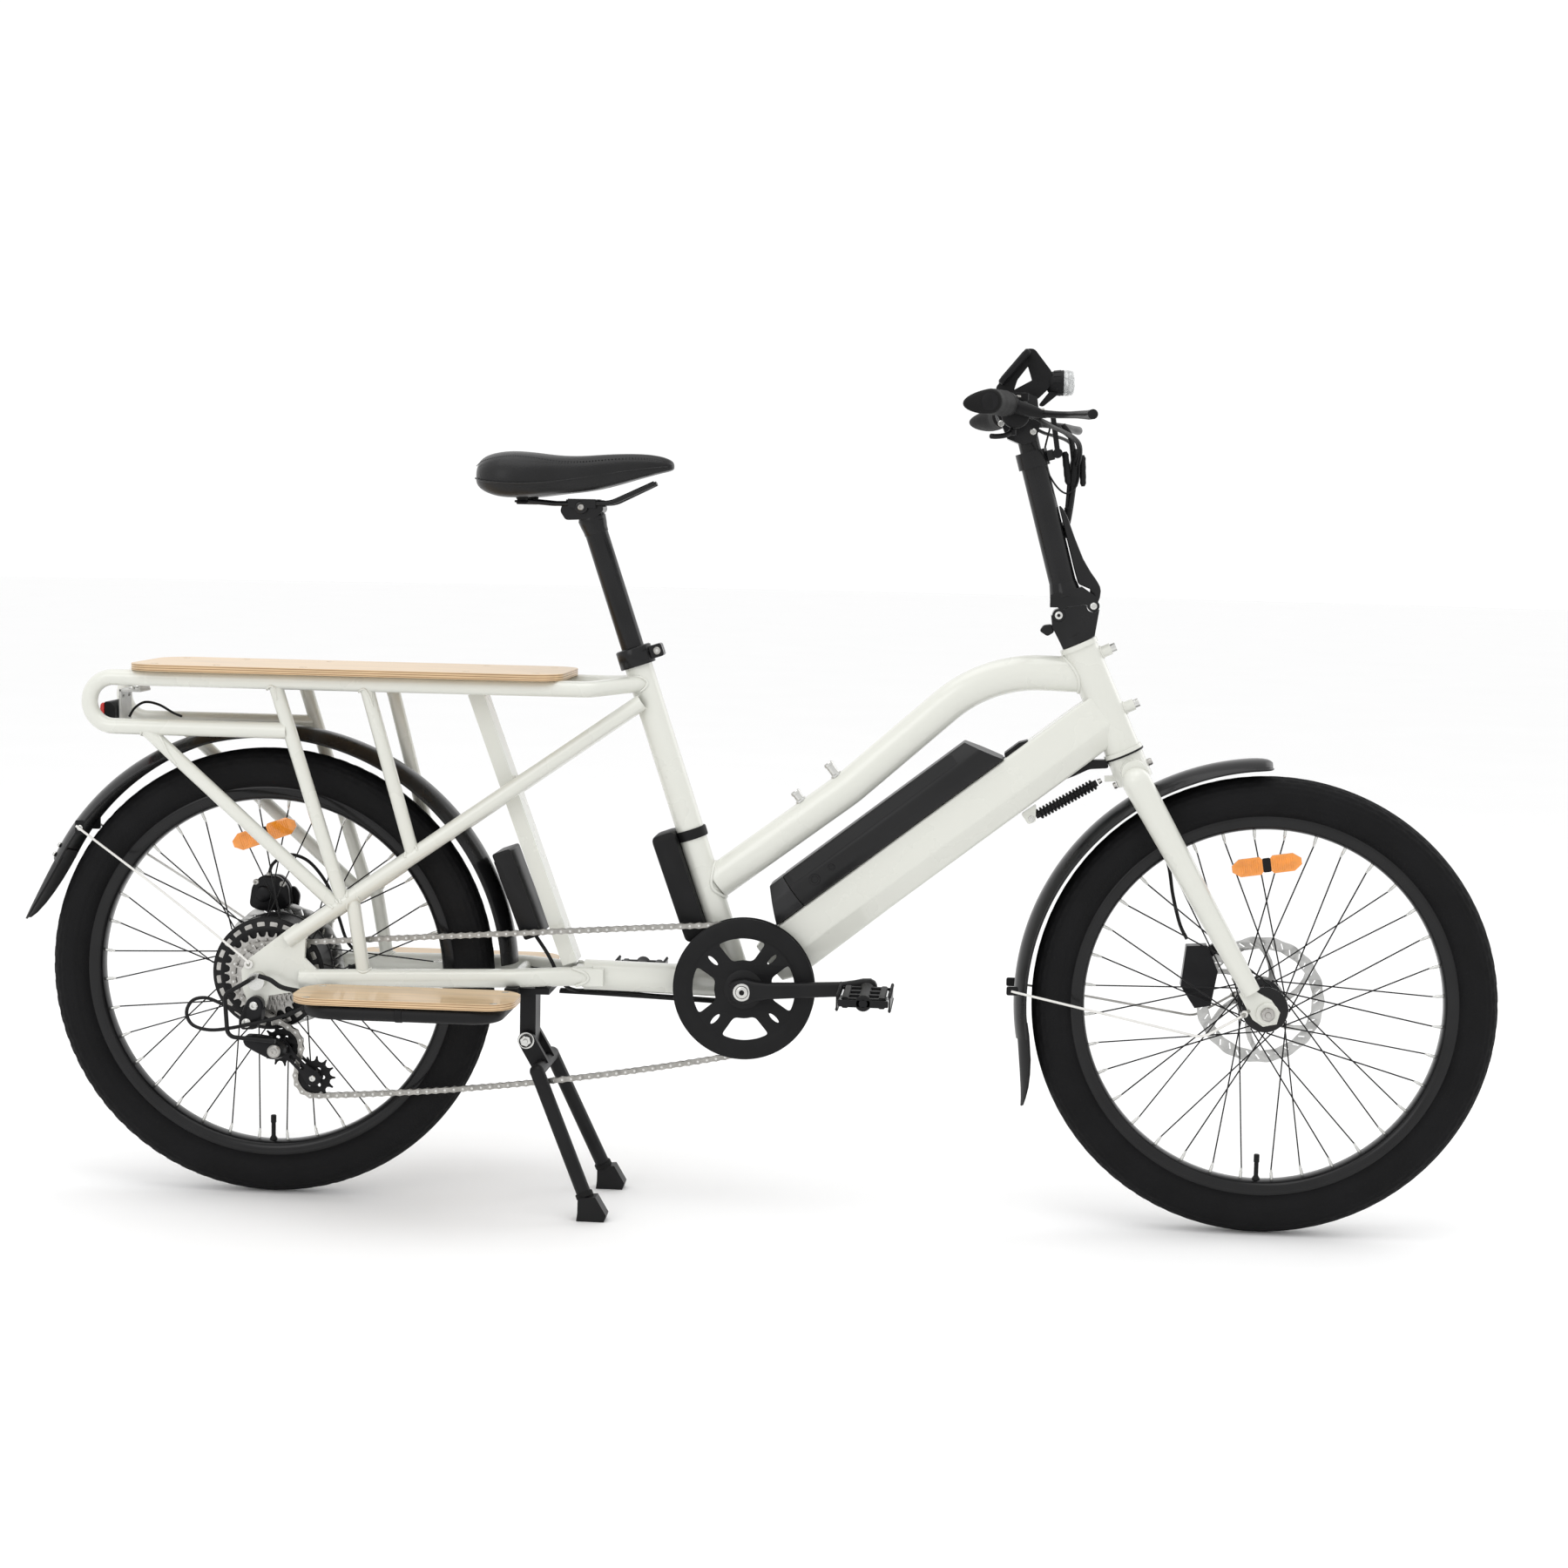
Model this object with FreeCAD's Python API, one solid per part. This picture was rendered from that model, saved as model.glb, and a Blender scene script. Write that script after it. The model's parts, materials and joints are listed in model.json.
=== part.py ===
"""Long-tail electric cargo bicycle, in millimetres.

+X points forward, +Y to the rider's left and +Z up.  The ground is z = 0.  The
dimensions below measure x from the rear axle; each sub-part is moved at export so
that the origin is on the ground, under the middle of the bicycle.
"""
import FreeCAD
import Part
import math
import os

# ---- Driving dimensions -------------------------------------------------------
WHEELBASE = 1371.2
TYRE_RADIUS = 313.5            # 24 x 2.4 inch tyre
TYRE_SECTION = 30.0            # half the tyre's width
RIM_HOLE_RADIUS = 241.6
RIM_BED_RADIUS = 257.0
RIM_HALF_WIDTH = 17.0
SPOKES = 36
SPOKE_RADIUS = 1.0

REAR_AXLE = (0.0, TYRE_RADIUS)
FRONT_AXLE = (WHEELBASE, TYRE_RADIUS)
CRANK_AXIS = (666.5, 319.8)
CRANK_LENGTH = 170.0
CRANK_TILT = math.radians(3.8)     # the forward crank arm is raised this much

HEAD_BOTTOM = (1172.8, 650.4)
HEAD_TOP = (1105.4, 799.3)
HEAD_RADIUS = 24.5
STEERER_RADIUS = 17.0
SEAT_TOP = (508.3, 754.0)
SEAT_LEAN = 0.3368                 # millimetres back for each millimetre up
SEAT_TUBE_RADIUS = 19.2
SEAT_POST_RADIUS = 15.8
POST_FOOT = (1088.9, 856.0)        # bottom of the handlebar post
POST_LEAN = 0.275
POST_RADIUS = 18.0
RISER_RADIUS = 14.3
BAR_RADIUS = 11.1
BAR_HEIGHT = 266.0                 # along the post, from its foot
BAR_HALF_WIDTH = 332.0
FOLD_AXIS = (1078.0, 837.0)
LATCH_PIVOT = (1124.0, 850.5)
LATCH_BARREL = 8.0

CHAIN_Y = -45.0
CHAIN_PITCH = 12.7
CHAIN_HALF_HEIGHT = 4.0
RING_TEETH = 44
SPROCKET_TEETH = (28, 24, 22, 20, 18, 16, 14)
DRIVEN_SPROCKET = 2                # the chain lies on the third largest
SPROCKET_SPACING = 5.0
PULLEY_TEETH = 13
LOWER_RUN_SAG = 12.0
UPPER_PULLEY = (25.1, 216.8)
DERAILLEUR_SPLIT_Z = 235.5        # the moving knuckle stays below this height
LOWER_PULLEY = (70.2, 173.7)

RAIL_Y = 72.0
RAIL_RADIUS = 11.0
UPPER_RAIL_Z = 724.0
LOWER_RAIL_Z = 657.0
RAIL_REAR_X = -237.0
DECK = (-181.0, 415.0, 100.0, 9.0)         # rear, front, half width, thickness
FOOTBOARD = (76.0, 375.0, 104.0, 212.0)    # rear, front, inner and outer edge
FOOTBOARD_TOP = 316.0
BOARD_THICKNESS = 9.0

REAR_DROPOUT_Y = 70.0              # inner face
FRONT_DROPOUT_Y = 57.0
BLADE_Y = 64.0
KICKSTAND_PIVOT = (364.0, 233.0)
STAND_BAR = (385.0, 197.0)         # cross bar that joins the stand's legs
CROSS_TUBE_X = (-185.0, -60.0, 60.0, 284.0, 400.0)
CROSS_TUBE_RADIUS = 8.0
BOX_STRUT = ((286.0, 712.0), (422.0, 341.0))
BOX_STRUT_HALF = 10.5
BLADE_TOP = (1187.0, 620.0)
BLADE_FOOT = (1349.0, 342.0)
BOSS_HEIGHTS = (58.4, 139.8)       # front-rack bosses, up the head tube
BOSS_REACH = 38.0
BOTTLE_BOSSES = ((774.3, 622.7, 14.8), (729.8, 582.7, 9.8))    # with the reach down to the tube
SCREW_RADIUS = 5.5
DECK_SCREWS = [(x, y) for x in (-146.0, -60.0, 60.0, 284.0, 380.0) for y in (-RAIL_Y, RAIL_Y)]
FOOTBOARD_SCREWS = [(x, y) for x in (100.0, 351.0) for y in (-202.0, -116.0)]

AXLE_RADIUS = 6.0
FRONT_AXLE_RADIUS = 4.5
FREEHUB_RADIUS = 17.0
MOTOR_RADIUS = 79.0
ROTOR_RADIUS = 88.0
FRONT_ROTOR_Y = 43.0
REAR_ROTOR_Y = 50.0
CAGE_PIN_RADIUS = 4.0
BATTERY_LIFT = 0.4
# Half of the battery's section, (side, up) from the down tube's top face.
BATTERY_SIDE = [(30, 0), (35.5, 12), (35.5, 30), (24, 50)]
BATTERY_TRAVEL = (38.0, 424.0)     # from the down tube's foot to the pack's two ends

RUNNING = 0.05                     # radial clearance of a running fit
GAP = 0.3                          # clearance between parts that move past each other
FLAP_TIP = (-356.0, 376.0)
MIDDLE_X = (FLAP_TIP[0] + WHEELBASE + TYRE_RADIUS) / 2


# ---- Shape helpers -------------------------------------------------------------
def vec(x, y, z):
    return FreeCAD.Vector(x, y, z)


def at(point, y=0.0):
    """A point of the XZ plane, at a given y."""
    return vec(point[0], y, point[1])


def rod(start, end, radius, end_radius=None):
    """A round bar, tapered when an end radius is given."""
    line = end - start
    if end_radius is None:
        return Part.makeCylinder(radius, line.Length, start, line)
    return Part.makeCone(radius, end_radius, line.Length, start, line)


def pipe(start, end, radius, wall):
    return rod(start, end, radius).cut(rod(start, end, radius - wall))


def route(points, bend):
    """A path of straight runs joined by tangent arcs of one radius."""
    edges = []
    here = points[0]
    for before, corner, after in zip(points, points[1:], points[2:]):
        arriving = (corner - before).normalize()
        leaving = (after - corner).normalize()
        turn = arriving.getAngle(leaving)
        setback = bend * math.tan(turn / 2)
        arc_start = corner - arriving * setback
        arc_end = corner + leaving * setback
        inward = (leaving - arriving).normalize()
        arc_middle = corner + inward * (bend / math.cos(turn / 2) - bend)
        if (arc_start - here).Length > 0.01:
            edges.append(Part.LineSegment(here, arc_start).toShape())
        edges.append(Part.Arc(arc_start, arc_middle, arc_end).toShape())
        here = arc_end
    edges.append(Part.LineSegment(here, points[-1]).toShape())
    return Part.Wire(edges)


def swept(points, bend, section):
    return route(points, bend).makePipeShell([section], True, False)


def bent_rod(points, radius, bend):
    circle = Part.Circle(points[0], points[1] - points[0], radius)
    return swept(points, bend, Part.Wire(circle.toShape()))


def bent_pipe(points, radius, wall, bend):
    return bent_rod(points, radius, bend).cut(bent_rod(points, radius - wall, bend))


def slab(x_range, y_range, z_range):
    size = [high - low for low, high in (x_range, y_range, z_range)]
    return Part.makeBox(*size, vec(x_range[0], y_range[0], z_range[0]))


def prism(outline, y_range):
    """An outline of XZ points, filled and extruded along Y."""
    corners = [at(point, y_range[0]) for point in outline]
    face = Part.Face(Part.makePolygon(corners + corners[:1]))
    return face.extrude(vec(0, y_range[1] - y_range[0], 0))


def beam(start, end, half_height, y_range):
    """A straight bar of rectangular section between two XZ points."""
    length = math.dist(start, end)
    side_x = (start[1] - end[1]) / length * half_height
    side_z = (end[0] - start[0]) / length * half_height
    outline = [(start[0] + side_x, start[1] + side_z), (end[0] + side_x, end[1] + side_z),
               (end[0] - side_x, end[1] - side_z), (start[0] - side_x, start[1] - side_z)]
    return prism(outline, y_range)


def disc(centre, radius, y_range, bore=0.0):
    """A disc or ring whose axis is parallel to Y."""
    shape = rod(at(centre, y_range[0]), at(centre, y_range[1]), radius)
    if bore:
        shape = shape.cut(rod(at(centre, y_range[0]), at(centre, y_range[1]), bore))
    return shape


def turned(centre, profile, start=0.0, sweep=360.0):
    """Revolve a profile of (radius, y) points about an axis parallel to Y.

    Angles are measured from +X towards +Z.
    """
    corners = [vec(centre[0] + radius, y, centre[1]) for radius, y in profile]
    face = Part.Face(Part.makePolygon(corners + corners[:1]))
    face.rotate(at(centre), vec(0, -1, 0), start)
    return face.revolve(at(centre), vec(0, -1, 0), sweep)


def rounded_board(x_range, y_range, z_range, corner):
    shape = slab(x_range, y_range, z_range)
    upright = [edge for edge in shape.Edges if abs(edge.tangentAt(edge.FirstParameter).z) > 0.9]
    return shape.makeFillet(corner, upright)


def polar(centre, radius, degrees):
    angle = math.radians(degrees)
    return (centre[0] + radius * math.cos(angle), centre[1] + radius * math.sin(angle))


def along(foot, lean, distance, forward=0.0):
    """A point up a leaning tube, and forward of its axis."""
    length = math.hypot(1.0, lean)
    up = (-lean / length, 1.0 / length)
    return (foot[0] + up[0] * distance + up[1] * forward,
            foot[1] + up[1] * distance - up[0] * forward)


def on_head(distance, forward=0.0):
    lean = (HEAD_BOTTOM[0] - HEAD_TOP[0]) / (HEAD_TOP[1] - HEAD_BOTTOM[1])
    return along(HEAD_BOTTOM, lean, distance, forward)


def on_seat(distance, forward=0.0):
    return along(SEAT_TOP, SEAT_LEAN, distance, forward)


def on_post(distance, forward=0.0):
    return along(POST_FOOT, POST_LEAN, distance, forward)


def mirrored(shape):
    return shape.mirror(vec(0, 0, 0), vec(0, 1, 0))


def both_sides(shapes):
    return list(shapes) + [mirrored(shape) for shape in shapes]


def trimmed(shape, neighbours):
    for other in neighbours:
        shape = shape.cut(other)
    return shape


def joined(shapes):
    """One solid fused from pieces that touch or overlap."""
    return shapes[0].multiFuse(list(shapes[1:])).removeSplitter()


def export(name, shapes):
    solids = [solid for shape in shapes for solid in shape.Solids]
    shape = solids[0] if len(solids) == 1 else Part.makeCompound(solids)
    shape.translate(vec(-MIDDLE_X, 0, 0))
    shape.exportStep("parts/" + name + ".step")


# ---- Frame tubes ---------------------------------------------------------------
HEAD_LENGTH = math.dist(HEAD_BOTTOM, HEAD_TOP)
HEAD_OUTER = rod(at(HEAD_BOTTOM), at(HEAD_TOP), HEAD_RADIUS)
SEAT_FOOT = on_seat(-440.0)
SEAT_OUTER = rod(at(SEAT_FOOT), at(SEAT_TOP), SEAT_TUBE_RADIUS)
BB_RADIUS = 21.5
BB_HALF_WIDTH = 36.0
BB_OUTER = disc(CRANK_AXIS, BB_RADIUS, (-BB_HALF_WIDTH, BB_HALF_WIDTH))
SPINDLE_RADIUS = 8.5
MAIN_TUBE_REAR = (440.0, 323.5)
MAIN_TUBE_OUTER = rod(at(MAIN_TUBE_REAR), at(CRANK_AXIS), 21.0)
STAY_RADIUS = 13.0
LONG_STAY_RADIUS = 11.0
STRUT_RADIUS = 9.5

DOWN_TUBE_FOOT = (700.0, 352.0)
DOWN_TUBE_HEAD = (1140.0, 697.0)
DOWN_TUBE_SIDE = [(27, 36), (31, -10), (20, -36)]
TOP_TUBE_POINTS = [(622.0, 459.0), (800.0, 594.0), (985.0, 760.0), (1112.0, 757.0)]
TOP_TUBE_HALF_HEIGHT = 24.0
TOP_TUBE_HALF_WIDTH = 18.0

# Long stay: from the dropout to the seat tube; the struts stand on it.
LONG_STAY_FOOT = vec(40.0, -76.0, 369.0)
LONG_STAY_HEAD = vec(517.0, -24.0, 706.0)
CHAIN_STAY_POINTS = [vec(58.0, -76.0, 317.0), vec(345.0, -58.0, 324.5), vec(452.0, -12.0, 323.5)]


def section_along(start, end, half_section, shrink=0.0):
    """Extrude a symmetric (side, up) section from one XZ point to another."""
    length = math.dist(start, end)
    ahead = ((end[0] - start[0]) / length, (end[1] - start[1]) / length)
    right = [(-side, up) for side, up in reversed(half_section)]
    corners = []
    for side, up in half_section + right:
        side -= math.copysign(shrink, side)
        up -= math.copysign(shrink, up)
        corners.append(vec(start[0] - ahead[1] * up, side, start[1] + ahead[0] * up))
    face = Part.Face(Part.makePolygon(corners + corners[:1]))
    return face.extrude(vec(ahead[0] * length, 0, ahead[1] * length))


def head_tube():
    bore = rod(at(HEAD_BOTTOM), at(HEAD_TOP), STEERER_RADIUS + RUNNING)
    bosses = [rod(at(on_head(height)), at(on_head(height, BOSS_REACH)), 8.0) for height in BOSS_HEIGHTS]
    lips = [rod(at(on_head(0)), at(on_head(8)), 27.0),
            rod(at(on_head(HEAD_LENGTH - 7)), at(HEAD_TOP), 26.5)]
    return joined([HEAD_OUTER] + bosses + lips).cut(bore)


def down_tube_outer():
    return section_along(DOWN_TUBE_FOOT, DOWN_TUBE_HEAD, DOWN_TUBE_SIDE)


def down_tube():
    inner = section_along(DOWN_TUBE_FOOT, DOWN_TUBE_HEAD, DOWN_TUBE_SIDE, 3.0)
    return trimmed(down_tube_outer().cut(inner), [HEAD_OUTER, BB_OUTER, MAIN_TUBE_OUTER])


def top_tube():
    points = [at(point) for point in TOP_TUBE_POINTS]
    run = points[1] - points[0]
    shells = []
    for inset in (0.0, 2.5):
        ellipse = Part.Ellipse(points[0], TOP_TUBE_HALF_HEIGHT - inset, TOP_TUBE_HALF_WIDTH - inset)
        edge = ellipse.toShape()
        # The ellipse starts flat, long axis on X: stand it across the first run.
        edge.rotate(points[0], vec(0, 1, 0), math.degrees(math.atan2(run.x, run.z)))
        shells.append(swept(points, 190.0, Part.Wire(edge)))
    return trimmed(shells[0].cut(shells[1]), [HEAD_OUTER, SEAT_OUTER, down_tube_outer()])


def seat_tube():
    bore = rod(at(on_seat(-330.0)), at(SEAT_TOP), SEAT_POST_RADIUS + RUNNING)
    return trimmed(SEAT_OUTER.cut(bore), [MAIN_TUBE_OUTER, BB_OUTER, down_tube_outer()])


def yoke():
    """The block behind the main tube that the chain stays are welded to."""
    return slab((428.0, 470.0), (-30.0, 30.0), (312.0, 336.0))


def main_tube():
    bore = disc(CRANK_AXIS, SPINDLE_RADIUS + RUNNING, (-BB_HALF_WIDTH, BB_HALF_WIDTH))
    inner = rod(at((MAIN_TUBE_REAR[0] + 4, MAIN_TUBE_REAR[1])), at((640.0, 320.0)), 18.0)
    return joined([MAIN_TUBE_OUTER.cut(inner), BB_OUTER, yoke().cut(inner)]).cut(bore)


def dropout():
    """The right rear dropout with its derailleur hanger."""
    outline = [(-22.0, 300.0), (-8.0, 288.0), (60.0, 300.0), (82.0, 310.0), (82.0, 328.0),
               (64.0, 345.0), (66.0, 386.0), (50.0, 392.0), (-14.0, 342.0), (-24.0, 326.0)]
    hanger = [(-22.0, 300.0), (-8.0, 288.0), (14.0, 292.0), (8.0, 272.0), (-12.0, 272.0)]
    y_range = (-REAR_DROPOUT_Y - 7, -REAR_DROPOUT_Y)
    plate = prism(outline, y_range).fuse(prism(hanger, y_range))
    return plate.cut(disc(REAR_AXLE, AXLE_RADIUS, (-90.0, 90.0)))


def stay_bridge():
    bridge = rod(vec(350.0, -58.0, 324.0), vec(350.0, 58.0, 324.0), 8.0)
    return trimmed(bridge, both_sides([bent_rod(CHAIN_STAY_POINTS, STAY_RADIUS, 90.0)]))


def rear_stays():
    chain_stay = bent_pipe(CHAIN_STAY_POINTS, STAY_RADIUS, 2.5, 90.0)
    long_stay = pipe(LONG_STAY_FOOT, LONG_STAY_HEAD, LONG_STAY_RADIUS, 2.0)
    plate = dropout()
    chain_stay = trimmed(chain_stay, [MAIN_TUBE_OUTER, yoke(), plate])
    long_stay = trimmed(long_stay, [SEAT_OUTER, plate])
    return both_sides([chain_stay, long_stay, plate]) + [stay_bridge()]


# ---- Rack ----------------------------------------------------------------------
def rail_points():
    return [vec(38.0, -RAIL_Y, LOWER_RAIL_Z), vec(RAIL_REAR_X, -RAIL_Y, LOWER_RAIL_Z),
            vec(RAIL_REAR_X, -RAIL_Y, UPPER_RAIL_Z), vec(452.0, -RAIL_Y, UPPER_RAIL_Z),
            vec(516.0, -8.0, 730.0)]


RAIL_BEND = (UPPER_RAIL_Z - LOWER_RAIL_Z) / 2
RAIL_OUTER = bent_rod(rail_points(), RAIL_RADIUS, RAIL_BEND)
LONG_STAY_OUTER = rod(LONG_STAY_FOOT, LONG_STAY_HEAD, LONG_STAY_RADIUS)
CHAIN_STAY_OUTER = bent_rod(CHAIN_STAY_POINTS, STAY_RADIUS, 90.0)


def stay_point(x):
    """The point of the right long stay's axis at a given x."""
    share = (x - LONG_STAY_FOOT.x) / (LONG_STAY_HEAD.x - LONG_STAY_FOOT.x)
    return LONG_STAY_FOOT + (LONG_STAY_HEAD - LONG_STAY_FOOT) * share


def strut_lines():
    """Start and end of each right-hand strut: two uprights, the brace and the short post."""
    return [(vec(20.0, -RAIL_Y, UPPER_RAIL_Z), stay_point(116.0)),
            (vec(146.0, -RAIL_Y, UPPER_RAIL_Z), stay_point(210.0)),
            (vec(-162.0, -RAIL_Y, LOWER_RAIL_Z), stay_point(108.0)),
            (stay_point(128.0), vec(146.0, -70.0, 320.0))]


def rack_rails():
    first_strut = rod(*strut_lines()[0], STRUT_RADIUS)
    rail = bent_pipe(rail_points(), RAIL_RADIUS, 2.0, RAIL_BEND)
    return both_sides([trimmed(rail, [SEAT_OUTER, first_strut])])


def rack_struts():
    struts = []
    earlier = [RAIL_OUTER, LONG_STAY_OUTER, CHAIN_STAY_OUTER]
    for index, (start, end) in enumerate(strut_lines()):
        strut = rod(start, end, STRUT_RADIUS)
        # The first upright passes outside the end of the lower rail, which is cut to it.
        keep = [rail_without_lower_end(), LONG_STAY_OUTER] if index == 0 else list(earlier)
        struts.append(trimmed(strut, keep))
        earlier.append(strut)
    cross_tubes = []
    for x in CROSS_TUBE_X:
        tube = rod(vec(x, -RAIL_Y, UPPER_RAIL_Z), vec(x, RAIL_Y, UPPER_RAIL_Z), CROSS_TUBE_RADIUS)
        cross_tubes.append(trimmed(tube, both_sides([RAIL_OUTER])))
    box = beam(*BOX_STRUT, BOX_STRUT_HALF, (-20.0, 20.0))
    box = box.cut(beam(*BOX_STRUT, BOX_STRUT_HALF - 2.0, (-18.0, 18.0)))
    box = trimmed(box, [cross_tubes[3], MAIN_TUBE_OUTER, yoke()])
    return both_sides(struts) + cross_tubes + [box]


def rail_without_lower_end():
    lower_end = slab((-100.0, 60.0), (-100.0, -40.0), (LOWER_RAIL_Z - 20, LOWER_RAIL_Z + 20))
    return RAIL_OUTER.cut(lower_end)


DECK_BOTTOM = UPPER_RAIL_Z + RAIL_RADIUS
DECK_TOP = DECK_BOTTOM + DECK[3]


def board_screws(places, top, rise):
    """Countersunk screw heads, from 4 mm below a board's top face up to a rise above it."""
    return [rod(vec(x, y, top - 4.0), vec(x, y, top + rise), SCREW_RADIUS) for x, y in places]


def deck_board():
    board = rounded_board(DECK[:2], (-DECK[2], DECK[2]), (DECK_BOTTOM, DECK_TOP), 42.0)
    return trimmed(board, board_screws(DECK_SCREWS, DECK_TOP, 1.0))


def footboards():
    board = rounded_board(FOOTBOARD[:2], (-FOOTBOARD[3], -FOOTBOARD[2]),
                          (FOOTBOARD_TOP - BOARD_THICKNESS, FOOTBOARD_TOP), 38.0)
    return both_sides([trimmed(board, board_screws(FOOTBOARD_SCREWS, FOOTBOARD_TOP, 1.0))])


def footrest_tubes():
    rear, front = FOOTBOARD[0] + 24, FOOTBOARD[1] - 24
    outer, height = -FOOTBOARD[3] + 10, FOOTBOARD_TOP - BOARD_THICKNESS - 10
    points = [vec(rear, -68.0, height), vec(rear, outer, height),
              vec(front, outer, height), vec(front, -58.0, height)]
    loop = bent_pipe(points, 10.0, 2.0, 34.0)
    lugs = [slab((x - 9, x + 9), (-80.0, -60.0), (height, height + 17)) for x in (rear, front)]
    lugs = [trimmed(lug, [CHAIN_STAY_OUTER, bent_rod(points, 10.0, 34.0)]) for lug in lugs]
    loop = trimmed(loop, [CHAIN_STAY_OUTER])
    return both_sides([loop] + lugs) + kickstand_bracket()


def kickstand_bracket():
    """The stand's post, hung from a plate between the chain stays, and its pivot bolt."""
    plate = slab((353.0, 398.0), (-46.0, 46.0), (301.0, 309.0))
    post = slab((353.0, 375.0), (-19.0, 19.0), (222.0, 301.0))
    bolt = disc(KICKSTAND_PIVOT, 5.0, (-36.0, 36.0))
    heads = [disc(KICKSTAND_PIVOT, 9.0, (29.5, 36.0)), disc(KICKSTAND_PIVOT, 9.0, (-36.0, -29.5))]
    hangers = [slab((378.0, 394.0), (-44.0, -34.0), (309.0, 316.0))]
    body = joined([plate, post, bolt] + heads + both_sides(hangers))
    return [trimmed(body, both_sides([CHAIN_STAY_OUTER]) + [stay_bridge()])]


def fasteners():
    """Bolts on the frame, the deck and the footboards, and the rear axle with its nuts."""
    parts = []
    for height in BOSS_HEIGHTS:
        parts.append(rod(at(on_head(height, BOSS_REACH)), at(on_head(height, BOSS_REACH + 7)), 6.0))
    for x, z, reach in BOTTLE_BOSSES:
        foot = vec(x + 0.604 * reach, 0, z - 0.797 * reach)
        parts.append(rod(foot, vec(x - 3.5, 0, z + 4.5), 5.0))
    parts += board_screws(DECK_SCREWS, DECK_TOP, -0.3)
    parts += both_sides(board_screws(FOOTBOARD_SCREWS, FOOTBOARD_TOP, -0.3))
    top = top_tube()
    parts = [trimmed(part, [top]) for part in parts]
    axle = disc(REAR_AXLE, AXLE_RADIUS, (-86.0, 86.0))
    nuts = [disc(REAR_AXLE, 12.0, (77.0, 92.0)), disc(REAR_AXLE, 12.0, (-92.0, -77.0))]
    return parts + [joined([axle] + nuts)]


# ---- Fenders, light, boxes -------------------------------------------------------
def fender_profile(radius, half_width):
    """A thin arched section, highest in the middle."""
    thickness, drop = 2.6, 11.0
    steps = 6
    outer = []
    for step in range(-steps, steps + 1):
        share = step / steps
        outer.append((radius - drop * share * share, half_width * share))
    inner = [(r - thickness, y * (1 - 1.5 / half_width)) for r, y in reversed(outer)]
    return outer + inner


def rear_fender():
    fender = turned(REAR_AXLE, fender_profile(347.0, 34.0), 4.0, 150.0)
    top = polar(REAR_AXLE, 341.0, 154.3)
    flap = beam(top, FLAP_TIP, 1.5, (-33.0, 33.0))
    tip_cut = slab((FLAP_TIP[0] - 50, FLAP_TIP[0]), (-40.0, 40.0), (300.0, 420.0))
    return [fender, flap.cut(fender).cut(tip_cut)]


def front_fender():
    fender = turned(FRONT_AXLE, fender_profile(338.0, 34.0), 90.0, 100.0)
    flap = beam(polar(FRONT_AXLE, 332.0, 190.3), polar(FRONT_AXLE, 358.0, 205.0), 1.5, (-33.0, 33.0))
    bracket = beam(on_head(-36.0, 8.0), polar(FRONT_AXLE, 338.0, 121.0), 1.5, (-9.0, 9.0))
    return [fender, flap.cut(fender), trimmed(bracket, [fender, crown_solid()])]


def tail_light():
    lens = rounded_board((-237.0, -229.0), (-38.0, 38.0), (661.0, 686.0), 3.0)
    body = slab((-229.0, -214.0), (-36.0, 36.0), (659.0, 687.0))
    bracket = joined([slab((-214.0, -209.0), (-22.0, 22.0), (656.0, 704.0)),
                      slab((-209.0, -182.0), (-22.0, 22.0), (699.0, 704.0)),
                      slab((-187.0, -182.0), (-22.0, 22.0), (704.0, 717.0))])
    cross_tube = disc((CROSS_TUBE_X[0], UPPER_RAIL_Z), CROSS_TUBE_RADIUS, (-60.0, 60.0))
    return [lens, body, bracket.cut(cross_tube)]


def electronics_boxes():
    """The motor controller behind the box strut and the converter behind the seat tube."""
    controller = prism([(313.0, 491.0), (339.0, 501.0), (385.0, 381.0), (361.0, 372.0)], (-36.0, 36.0))
    box_strut = beam(*BOX_STRUT, BOX_STRUT_HALF, (-20.0, 20.0))
    fender = turned(REAR_AXLE, [(350.0, -60.0), (350.0, 60.0), (300.0, 60.0), (300.0, -60.0)])
    converter = prism([(531.0, 521.0), (565.0, 533.0), (617.0, 386.0), (583.0, 374.0)], (-30.0, 30.0))
    plate = beam(on_seat(-235.0, -22.0), on_seat(-360.0, -22.0), 2.8, (-14.0, 14.0))
    plate = trimmed(plate, [SEAT_OUTER])
    converter = trimmed(converter, [SEAT_OUTER, plate])
    return [controller.cut(box_strut).cut(fender), converter, plate]


def seat_clamp():
    ring = rod(at(SEAT_TOP), at(on_seat(24.0)), 24.0)
    lug = beam(on_seat(4.0, 30.0), on_seat(20.0, 30.0), 9.0, (-10.0, 10.0))
    bore = rod(at(on_seat(-5.0)), at(on_seat(30.0)), SEAT_POST_RADIUS + RUNNING)
    slot = beam(on_seat(-5.0, 32.0), on_seat(30.0, 32.0), 20.0, (-1.0, 1.0))
    pin = rod(at(on_seat(12.0, 32.0), -13.0), at(on_seat(12.0, 32.0), 13.0), 3.0)
    return [joined([joined([ring, lug]).cut(bore).cut(slot), pin])]


def seat_clamp_lever():
    """A quick-release lever whose cam barrel lies across the left end of the clamp's pin."""
    cam = rod(at(on_seat(5.0, 32.0), 20.0), at(on_seat(19.0, 32.0), 20.0), 6.5)
    link = beam(on_seat(12.0, 32.0), on_seat(12.0, 26.0), 4.0, (20.0, 29.0))
    arm = beam(on_seat(12.0, 32.0), on_seat(8.0, -12.0), 4.0, (24.4, 29.0))
    return [joined([cam, link, arm])]


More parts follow.
